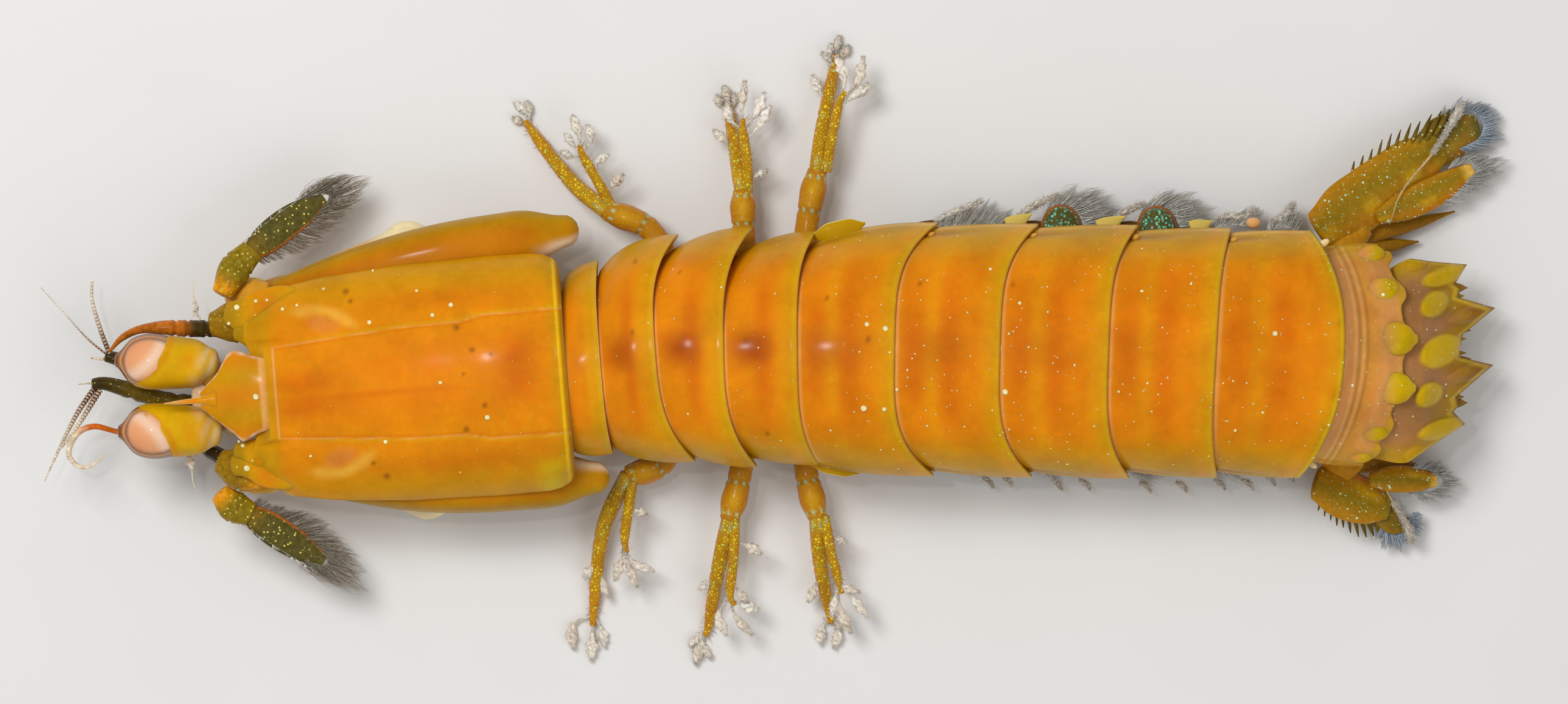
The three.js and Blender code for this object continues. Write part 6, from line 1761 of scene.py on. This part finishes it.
def left_fan(flap, reach, places):
    """The clumped fan at the left side, with a small pale clot at each of its tips."""
    back = vec(*flap, 1.2)
    roots = [back + vec(-1.2 * reach, 0.2, 0.15), back + vec(0, 0, 0.05), back + vec(0.6, 0.3, 0)]
    tips = [vec(*p, 1.1) for p in places]
    tips = [tips[0] + vec(-0.7, 0.35, 0), *tips, tips[-1] + vec(0.6, 0.5, 0)]
    hairs = [fringe(roots, tips, LEFT_FAN_HAIRS, PLEOPOD_HAIR_RADIUS, SETA_GREY, (0.1, 0.2), rows=4,
                    thick=0.09, uneven=0.45, clumps=14, pale_tips=0.7)]
    for place in places:
        end = vec(*place, 1.3)
        hairs += clot([end + vec(-0.5, 0.45, 0), end + vec(-0.1, 0.2, 0), end], [0.05, 0.13, 0.1, 0.04],
                      LEFT_CLOT_HAIRS, (0.3, 0.7), 0.25)
    return [], hairs


def pleopod_forms(x, sign, reach, flap_x, flap_y):
    """Stem, outer flap, inner flap and the gill threads between them."""
    stem = limb([(x, sign * 2.1, 2.2), (x + 0.4, sign * 4.1, 1.7), (x + 1.6, flap_y * 0.83, 1.35)],
                [0.75, 0.85, 0.8, 0.6], [0.5, 0.42, 0.32, 0.26], sides=32, steps=30)
    flap = limb([(x + 0.9, flap_y * 0.72, 1.5), (x + 2.2, flap_y * 0.86, 1.25), (flap_x, flap_y * 0.96, 1.0)],
                [0.5, 0.9, 0.95, 0.85, 0.45], [0.2, 0.2, 0.16, 0.1], sides=40, steps=40, roll=sign * 0.15)
    inner = limb([(x + 0.2, sign * 3.0, 1.5), (x + 2.2 * reach, sign * 2.95, 1.0),
                  (x + 4.4 * reach, sign * 2.9, 0.6)],
                 [0.6, 1.15, 1.2, 0.6], [0.22, 0.16, 0.1], sides=32, steps=30)
    forms = [stem.paint(mix(LEG_OLIVE, AMBER, 0.4)),
             flap.paint(FLAP_BROWN, (LEG_OLIVE, ease(-flap.along, -0.4, 0))),
             inner.paint(mix(FLAP_BROWN, MEMBRANE, 0.35))]
    for row in range(GILLS):
        gill_x = x + 0.5 + GILL_STEP * row * reach
        forms.append(limb([(gill_x, sign * 3.6, 1.5), (gill_x + 0.7 * reach, sign * 3.0, 1.9),
                           (gill_x + 1.3 * reach, sign * 2.0, 2.0)],
                          [0.09, 0.1, 0.03], sides=8, steps=12).paint(MEMBRANE))
    return forms


def inner_fringe(x, sign, reach):
    roots = [(x + 2.4 * reach, sign * 4.0, 0.85), (x + 4.4 * reach, sign * 3.2, 0.6),
             (x + 4.2 * reach, sign * 2.2, 0.62)]
    tips = [(x + 3.6 * reach, sign * 4.9, 0.7), (x + 5.4 * reach, sign * 3.6, 0.5),
            (x + 5.2 * reach, sign * 1.7, 0.5)]
    return fringe(roots, tips, INNER_HAIRS, PLEOPOD_HAIR_RADIUS, SETA_BROWN, (0.5, 0.2), rows=2)


def build_swimmerets():
    for tag, sign in SIDES:
        for order, x, reach, right_flap, left_flap, left_tips in SWIMMERETS:
            flap = right_flap if sign > 0 else left_flap
            skin = pleopod_forms(x, sign, reach, *flap)
            hairs = [inner_fringe(x, sign, reach)]
            more_skin, more_hairs = right_fan(order) if sign > 0 else left_fan(flap, reach, left_tips)
            dress(f"pleopod_{order}_{tag}", "flaps", join(*skin, *more_skin), FLAP, "limb")
            piece(f"pleopod_{order}_{tag}_fringe", join(*hairs, *more_hairs), FLUFF)


# Telson

TELSON_FRONT = 31.45
TELSON_FRONT_SWEEP = -1.9
TELSON_TUCK = 1.5
TELSON_TOP = 5.85
TELSON_FALL = 0.9
TELSON_ARCH = 0.055
TELSON_MIDDLE = -0.25
TELSON_SHIFT = 0.27
TELSON_PINCH = 0.2
TELSON_HALF_WIDTH = 5.0
# The rear edge with its teeth: distance from the middle and place along
TELSON_OFFSETS = (0.0, 0.55, 1.4, 2.45, 2.9, 3.15, 3.95, 4.5, 5.0)
TELSON_REARS = (33.45, 33.55, 35.3, 33.35, 33.5, 33.2, 33.85, 32.2, 30.9)
TELSON_DEPTHS = (1.9, 1.7, 1.3, 0.75)
TELSON_EDGE = 0.86
# Place along and across, half length, half width and height of each boss
TELSON_BOSSES = (
    (32.35, 0.05, 1.15, 0.85, 0.55), (32.05, 2.45, 0.78, 0.68, 0.46), (31.75, -1.95, 0.76, 0.64, 0.46),
    (32.6, 3.7, 1.2, 0.5, 0.42), (32.4, -3.8, 1.2, 0.5, 0.42), (31.2, 4.7, 0.6, 0.4, 0.25),
    (31.1, -4.7, 0.6, 0.4, 0.25), (33.9, 1.45, 1.1, 0.42, 0.3), (33.8, -1.4, 1.1, 0.42, 0.3),
)
YELLOW_FROM = 0.4
TELSON_COLUMNS = 240
TELSON_ROWS = 60


def telson_bosses(x, across):
    """How far the bosses rise, and where they are yellow."""
    rise = np.zeros_like(x)
    yellow = np.zeros_like(x)
    for at, side, length, width, height in TELSON_BOSSES:
        away = ((x - at) / length) ** 2 + ((across - side) / width) ** 2
        rise = np.maximum(rise, height * np.sqrt(np.maximum(0, 1 - away)))
        yellow = np.maximum(yellow, ease(-away, -1.25, -0.55) * (height > YELLOW_FROM))
    return rise, yellow


def telson_tone(rows, side, yellow):
    """Mauve in front, with yellow bosses and brown teeth, for each column and row."""
    return layers(
        TELSON_MAUVE,
        (mix(OLIVE_YELLOW, TOOTH_BROWN, 0.5), 0.85 * ease(rows, 0.5, 0.8) + 0 * side),
        (OLIVE_YELLOW, 0.7 * ease(side, 3.6, 4.6) + 0 * rows),
        (PIT, 0.6 * ease(rows, 0.7, 0.86) * bump(side, 1.5, 0.6)),
        (BOSS_YELLOW, 0.8 * bump(rows, 0.93, 0.06) + 0 * side),
        (TOOTH_BROWN, 0.9 * ease(rows, 0.96, 0.99) + 0 * side),
        (BOSS_YELLOW, yellow))


def telson_form():
    across = np.linspace(-TELSON_HALF_WIDTH, TELSON_HALF_WIDTH, TELSON_COLUMNS)
    side = np.abs(across)
    bulge = (across / TELSON_HALF_WIDTH) ** 2
    rear = np.interp(side, TELSON_OFFSETS, TELSON_REARS) - 0.1 * (across < 0)
    front = TELSON_FRONT - TELSON_TUCK + TELSON_FRONT_SWEEP * bulge
    row = np.linspace(0, 1, TELSON_ROWS)[:, None]
    x = mix(front, rear, row)
    corner = (1 - ease(x, 28.0, 30.8)) * ease(side, 3.0, 5.0)
    y = TELSON_MIDDLE + across * (1 - TELSON_PINCH * corner) + TELSON_SHIFT * (x - TELSON_FRONT)
    fall = np.where(x > TELSON_FRONT, TELSON_FALL, TELSON_FALL * 0.3) * (x - TELSON_FRONT)
    z = TELSON_TOP - fall - TELSON_ARCH * across ** 2 + 0.45 * (1 - ease(x, 30.6, 32.6)) - 0.95 * corner
    rise, yellow = telson_bosses(x, across)
    ridge = 0.12 * bump(side, 1.4, 0.5) * row + 0.1 * bump(side, 3.95, 0.4) * row
    near_edge = np.clip((row - TELSON_EDGE) / 0.14, 0, 1)
    thin = np.sqrt(np.clip(1 - near_edge ** 2, 0.02, 1))
    depth = np.interp(row[:, 0], np.linspace(0, 1, 4), TELSON_DEPTHS)[:, None] * (1 - 0.3 * bulge)
    upper = z + (rise + ridge) * np.minimum(1, thin * 1.3) - depth * 0.5 * (1 - thin) * 0.6
    top = np.stack([x, y, upper], -1)
    bottom = np.stack([x, y, z - depth * (0.5 + 0.5 * thin)], -1)
    rings = np.concatenate([top, bottom[::-1]]).transpose(1, 0, 2)
    form = loft(rings, rings[0].mean(axis=0), rings[-1].mean(axis=0), np.linspace(0, 1, TELSON_COLUMNS))
    rows = np.concatenate([row[:, 0], row[::-1, 0]])[None, :]
    tone = telson_tone(rows, side[:, None], np.concatenate([yellow, yellow[::-1] * 0]).T)
    return form.paint(np.vstack([[TELSON_MAUVE], tone.reshape(-1, 3), [TELSON_MAUVE]]), fleck=0.95)


# Distance from the middle, place along and size of the small points between the large teeth
DENTICLES = ((0.35, 33.5, 0.12), (0.7, 33.75, 0.12), (2.5, 33.4, 0.17), (2.85, 33.6, 0.2))


def denticle(side, across, rear, size):
    y = TELSON_MIDDLE + side * across + TELSON_SHIFT * (rear - TELSON_FRONT)
    z = TELSON_TOP - TELSON_FALL * (rear - TELSON_FRONT) - TELSON_ARCH * across ** 2 - 0.3
    return limb([(rear - 0.5, y, z + 0.3), (rear + 0.25, y, z - 0.15)], [size * 1.3, size, 0.02],
                sides=12, steps=8).paint(TOOTH_BROWN, fleck=0.3)


def denticles():
    return [denticle(side, *row) for side in (-1, 1) for row in DENTICLES]


# Tail fan

UROPODS = {
    "r": {
        "base": [(27.2, 4.2, 2.35), (28.0, 5.6, 2.0), (28.6, 6.3, 2.0)],
        "spines": [[(28.4, 5.7, 1.6), (31.0, 6.3, 0.8), (33.4, 7.0, 0.5)],
                   [(28.4, 5.2, 1.5), (30.0, 5.3, 0.8), (31.6, 5.5, 0.45)]],
        "outer": [(26.6, 6.0, 2.7), (29.2, 7.9, 2.05), (32.6, 10.2, 1.25)],
        "outer_widths": [1.1, 1.5, 1.5, 1.45, 1.35, 0.8], "outer_roll": 0.15,
        "distal": [(31.8, 9.9, 1.35), (33.3, 10.8, 1.0), (34.5, 11.2, 0.85)],
        "distal_widths": [0.9, 1.2, 1.1, 0.6],
        "distal_roots": [(32.6, 11.2, 1.15), (33.4, 11.8, 1.0), (34.3, 11.9, 0.9), (34.8, 11.4, 0.8),
                         (34.6, 10.7, 0.85), (33.6, 10.1, 1.0)],
        "distal_tips": [(32.9, 12.6, 0.8), (34.1, 12.95, 0.6), (35.2, 12.6, 0.55), (36.0, 11.6, 0.5),
                        (36.0, 10.5, 0.55), (35.0, 9.9, 0.7)],
        "crest": [(30.0, 6.3, 2.75), (30.6, 7.9, 2.5), (32.3, 10.0, 1.8), (33.3, 11.6, 1.5),
                  (33.7, 12.3, 1.2)],
        "crest_from": 0.6,
        "edge_roots": [(28.2, 9.0, 2.2), (30.0, 10.0, 1.9), (32.6, 11.2, 1.4)],
        "edge_tips": [(28.3, 9.55, 2.3), (30.6, 11.2, 1.95), (33.3, 12.4, 1.4)], "edge_spines": 11,
        "inner": [(29.45, 6.68, 2.3), (32.0, 7.8, 1.8), (34.2, 9.1, 1.1)],
        "inner_widths": [0.4, 0.72, 0.78, 0.66, 0.35], "inner_roll": 0.15,
        "inner_roots": [(33.0, 9.1, 1.5), (34.1, 9.5, 1.15), (34.5, 9.1, 1.05), (34.0, 8.6, 1.2),
                        (32.4, 7.5, 1.6)],
        "inner_tips": [(33.6, 9.9, 1.3), (35.5, 10.0, 0.85), (36.7, 9.4, 0.8), (35.7, 8.4, 0.85),
                       (33.6, 7.2, 1.3)],
    },
    "l": {
        "base": [(27.0, -4.2, 2.35), (27.7, -5.4, 2.0), (28.2, -6.0, 1.9)],
        "spines": [[(28.0, -5.5, 1.5), (30.8, -5.7, 0.8), (32.8, -6.0, 0.5)],
                   [(28.0, -5.1, 1.4), (29.8, -5.0, 0.75), (31.2, -5.1, 0.45)]],
        "outer": [(26.4, -6.5, 2.5), (28.2, -7.2, 2.0), (30.0, -7.7, 1.4)],
        "outer_widths": [0.9, 1.25, 1.3, 1.15, 0.7], "outer_roll": 0.35,
        "distal": [(29.5, -8.1, 1.4), (30.4, -8.4, 1.1), (31.0, -8.6, 0.9)],
        "distal_widths": [0.5, 0.7, 0.68, 0.4],
        "distal_roots": [(29.7, -8.5, 1.3), (30.1, -8.85, 1.15), (30.7, -8.9, 1.0), (31.15, -8.6, 0.9),
                         (31.1, -8.1, 1.0)],
        "distal_tips": [(29.2, -9.6, 0.9), (30.0, -10.1, 0.7), (31.1, -10.0, 0.6), (32.0, -9.2, 0.6),
                        (32.2, -7.8, 0.8)],
        "crest": [(29.6, -6.4, 2.3), (30.3, -7.6, 2.1), (31.0, -8.7, 1.5), (31.2, -9.4, 1.2)],
        "crest_from": 0.35,
        "edge_roots": [(26.6, -7.5, 2.0), (28.0, -8.3, 1.6), (29.4, -8.5, 1.3)],
        "edge_tips": [(26.5, -8.0, 1.7), (28.1, -9.1, 1.3), (29.8, -9.4, 1.0)], "edge_spines": 10,
        "inner": [(29.1, -6.35, 2.3), (30.8, -6.3, 1.9), (32.4, -6.4, 1.45)],
        "inner_widths": [0.36, 0.64, 0.68, 0.58, 0.3], "inner_roll": 0.2,
        "inner_roots": [(31.2, -5.75, 1.8), (32.2, -5.95, 1.5), (32.75, -6.4, 1.4), (32.2, -6.9, 1.45),
                        (31.0, -7.0, 1.7)],
        "inner_tips": [(32.4, -5.0, 1.4), (33.6, -5.4, 1.2), (34.1, -6.4, 1.1), (33.5, -7.3, 1.2),
                       (32.0, -7.7, 1.4)],
    },
}
PADDLE_STREAK = srgb(196, 110, 8)
DISTAL_DARKER = np.array(0.5)
EDGE_SPINE = mix(UROPOD_OLIVE, FEELER_DARK, 0.4)
EDGE_SPINE_BURIED = 0.45
BEAD_RADII = (0.055, 0.04)
BEAD_PATCH = (0.3, 0.3)
TAIL_HAIR_RADIUS = 0.02
CREST_FLUFF_HAIRS = 1200
# Paddle, number of hairs and of clumps, colour and place on the baked layer of each comb
PADDLE_COMBS = (("distal", 900, 26, SETA_BLUE, (0.1, 0.2)), ("inner", 600, 18, SETA_GREY, (0.5, 0.2)))


def paddle_coats(form, sign, edge):
    """Amber skin with an olive middle, a golden mottle and an orange streak along the outer side."""
    outer = form.beside(-sign)
    x, y = form.points[:, 0], form.points[:, 1]
    return [(UROPOD_OLIVE, 0.8 * bump(outer, -0.2, 0.8)),
            (LEG_GOLD, 0.4 * bump(outer, 0.3, 0.5) * ease(np.sin(2.1 * x + 1.3 * y), 0, 1)),
            (PADDLE_STREAK, 0.7 * bump(outer, 0.78, 0.22) * ease(form.along, 0.2, 0.5)),
            (edge, 0.8 * ease(form.along, 0.86, 0.97))]


def protopod_form(fan, sign):
    """The base of a tail-fan branch with its two long prongs."""
    base = limb([vec(*fan["base"][0]) + vec(-0.3, -sign * 0.6, 0.3), *fan["base"]],
                [0.9, 1.0, 1.0, 0.75], [0.6, 0.7, 0.65, 0.45], sides=40, steps=30)
    base.paint(mix(UROPOD_AMBER, AMBER, 0.4), fleck=0.5)
    prongs = [limb(path, [0.5, 0.42, 0.3, 0.05], [0.36, 0.34, 0.26, 0.05], sides=24, steps=36, floor=0.0)
              for path in fan["spines"]]
    for prong in prongs:
        prong.paint(UROPOD_AMBER, (TOOTH_BROWN, prong.along), fleck=0.4)
    return join(base, *prongs)


def edge_spine(root, tip, share):
    """A dark spine of the paddle's outer edge, with a pale bead at its root and its tip."""
    tip = mix(root, tip, DRAW.uniform(0.72, 1.0))
    half = mix(0.07, 0.14, share ** 2)
    spine = limb([mix(root, tip, -EDGE_SPINE_BURIED), mix(root, tip, 0.3), tip],
                 [half, half * 1.1, half * 0.8, 0.02], sides=14, steps=20)
    top = vec(0, 0, half)
    SPECKS.append((np.array([root + top, tip + top]), np.array([UP, UP]), np.array(BEAD_RADII),
                   np.array([PEARL_GREEN, CREAM]), np.array([BEAD_PATCH] * 2)))
    return spine.paint(EDGE_SPINE, (FEELER_DARK, 0.7 * ease(spine.along, 0.4, 0.9)), fleck=0.5)


def exopod_forms(fan, sign):
    """The outer paddle and the smaller one at its end."""
    outer = limb(fan["outer"], fan["outer_widths"], [0.3, 0.36, 0.32, 0.26, 0.16], sides=56, steps=80,
                 roll=sign * fan["outer_roll"], power=1.9)
    outer.paint(UROPOD_AMBER, *paddle_coats(outer, sign, UROPOD_OLIVE), fleck=0.8)
    distal = limb(fan["distal"], fan["distal_widths"], [0.2, 0.18, 0.1], sides=40, steps=40,
                  roll=sign * fan["outer_roll"])
    distal.paint(UROPOD_AMBER, *paddle_coats(distal, sign, SCALE_OLIVE), (SCALE_OLIVE, DISTAL_DARKER),
                 fleck=0.9)
    return outer, distal


def edge_spines(fan):
    roots, tips = Path(fan["edge_roots"]), Path(fan["edge_tips"])
    shares = np.arange(fan["edge_spines"]) / (fan["edge_spines"] - 1)
    return [edge_spine(roots.at(share), tips.at(share), share) for share in shares]


def endopod_form(fan, sign):
    inner = limb(fan["inner"], fan["inner_widths"], [0.26, 0.26, 0.22, 0.14], sides=44, steps=60,
                 roll=sign * fan["inner_roll"])
    return inner.paint(UROPOD_AMBER, *paddle_coats(inner, sign, PALE_YELLOW), fleck=0.9)


def crest_forms(places, start):
    """The pale ridge across the outer paddle and the fluff on its outer part."""
    crest = [vec(*p) for p in places]
    ridge = limb(crest, [0.01, 0.04, 0.055, 0.06, 0.04], sides=12, steps=60)
    ridge.paint(mix(MEMBRANE, UROPOD_OLIVE, 0.5)).unwrapped((0.6, 0.6))
    fluffy = [*Path(crest).at(np.linspace(start, 1, 5))]
    fluff = clot(fluffy, [0.03, 0.06, 0.08, 0.12, 0.2, 0.22, 0.1], CREST_FLUFF_HAIRS, (0.7, 0.7), 0.28)
    return [ridge, *fluff]


def build_uropod(tag, sign):
    fan = UROPODS[tag]
    dress(f"uropod_protopod_{tag}", "shell", protopod_form(fan, sign), UROPOD, "limb")
    outer, distal = exopod_forms(fan, sign)
    dress(f"uropod_exopod_{tag}", "blade", join(outer, distal, *edge_spines(fan)), UROPOD, "limb")
    inner = endopod_form(fan, sign)
    dress(f"uropod_endopod_{tag}", "blade", inner, UROPOD, "limb")
    for form in (outer, distal, inner):
        sprinkle(form, 3.4, size=0.036, large=0.08, tone=PEARL_GREEN)
    combs = [fringe(fan[f"{paddle}_roots"], fan[f"{paddle}_tips"], hairs, TAIL_HAIR_RADIUS, tone, patch,
                    rows=3, uneven=0.3, clumps=clumps, pale_tips=0.4)
             for paddle, hairs, clumps, tone, patch in PADDLE_COMBS]
    piece(f"uropod_{tag}_fringe", join(*combs, *crest_forms(fan["crest"], fan["crest_from"])), FLUFF)


def build_tail():
    plate = telson_form()
    sprinkle(plate, 1.0)
    dress("telson", "shell", join(plate, *denticles()), TAIL, "tail_shell")
    for tag, sign in SIDES:
        build_uropod(tag, sign)


# Stage, light and camera

PHOTO_WIDTH_MM = 77.28
LENS_MM = 200.0
SENSOR_MM = 36.0
FOCUS_HEIGHT = 5.0
AIM = (0.0, 0.0, 4.0)
FLOOR_SIZE = 3.0
FLOOR_GREY = srgb(226, 225, 222)
FLOOR_PALE = srgb(232, 231, 229)
SKY = (1, 1, 1, 1)
SKY_STRENGTH = 0.4
# Name, place and size in millimetres, power, and whether the shell mirrors it
LIGHTS = (
    ("key", (-90, 80, 220), (90, 90), 0.33, False),
    ("fill", (120, -120, 180), (160, 160), 0.12, False),
    ("spark", (-46, 24, 250), (10, 10), 0.04, True),
)


def look_from_above():
    camera = bpy.data.cameras.new("camera")
    camera.lens = LENS_MM
    camera.sensor_width = SENSOR_MM
    obj = bpy.data.objects.new("camera", camera)
    obj.location = (0, 0, (PHOTO_WIDTH_MM * LENS_MM / SENSOR_MM + FOCUS_HEIGHT) * MM)
    bpy.context.scene.collection.objects.link(obj)
    bpy.context.scene.camera = obj


def softbox(name, place, size, power, mirrored):
    light = bpy.data.lights.new(name, "AREA")
    light.shape = "RECTANGLE"
    light.size, light.size_y = size[0] * MM, size[1] * MM
    light.energy = power
    obj = bpy.data.objects.new(name, light)
    obj.location = np.array(place) * MM
    aim = np.array(AIM) * MM - np.array(obj.location)
    obj.rotation_euler = Vector(aim).to_track_quat("-Z", "Y").to_euler()
    obj.visible_glossy = mirrored
    bpy.context.scene.collection.objects.link(obj)


def build_floor():
    shader = Shader("floor")
    tint = shader.mix(shader.noise(0.08, 3.0), FLOOR_GREY, FLOOR_PALE)
    material = shader.finish(tint, 0.7, shader.noise(2.0, 3.0), 0.01)
    bpy.ops.mesh.primitive_plane_add(size=FLOOR_SIZE)
    floor = bpy.context.object
    floor.name = "floor"
    floor.data.materials.append(material)


def build_sky():
    world = bpy.data.worlds.new("studio")
    world.use_nodes = True
    background = world.node_tree.nodes["Background"]
    background.inputs["Color"].default_value = SKY
    background.inputs["Strength"].default_value = SKY_STRENGTH
    bpy.context.scene.world = world
    bpy.context.scene.view_settings.view_transform = "Standard"
    world.cycles_visibility.glossy = False


def build_stage():
    build_floor()
    build_sky()
    for row in LIGHTS:
        softbox(*row)


build_trunk()
build_head()
build_eyes()
build_feelers()
build_scales()
build_raptorials()
build_maxillipeds()
build_legs()
build_swimmerets()
build_tail()
build_specks()
build_stage()
look_from_above()

bpy.context.view_layer.update()
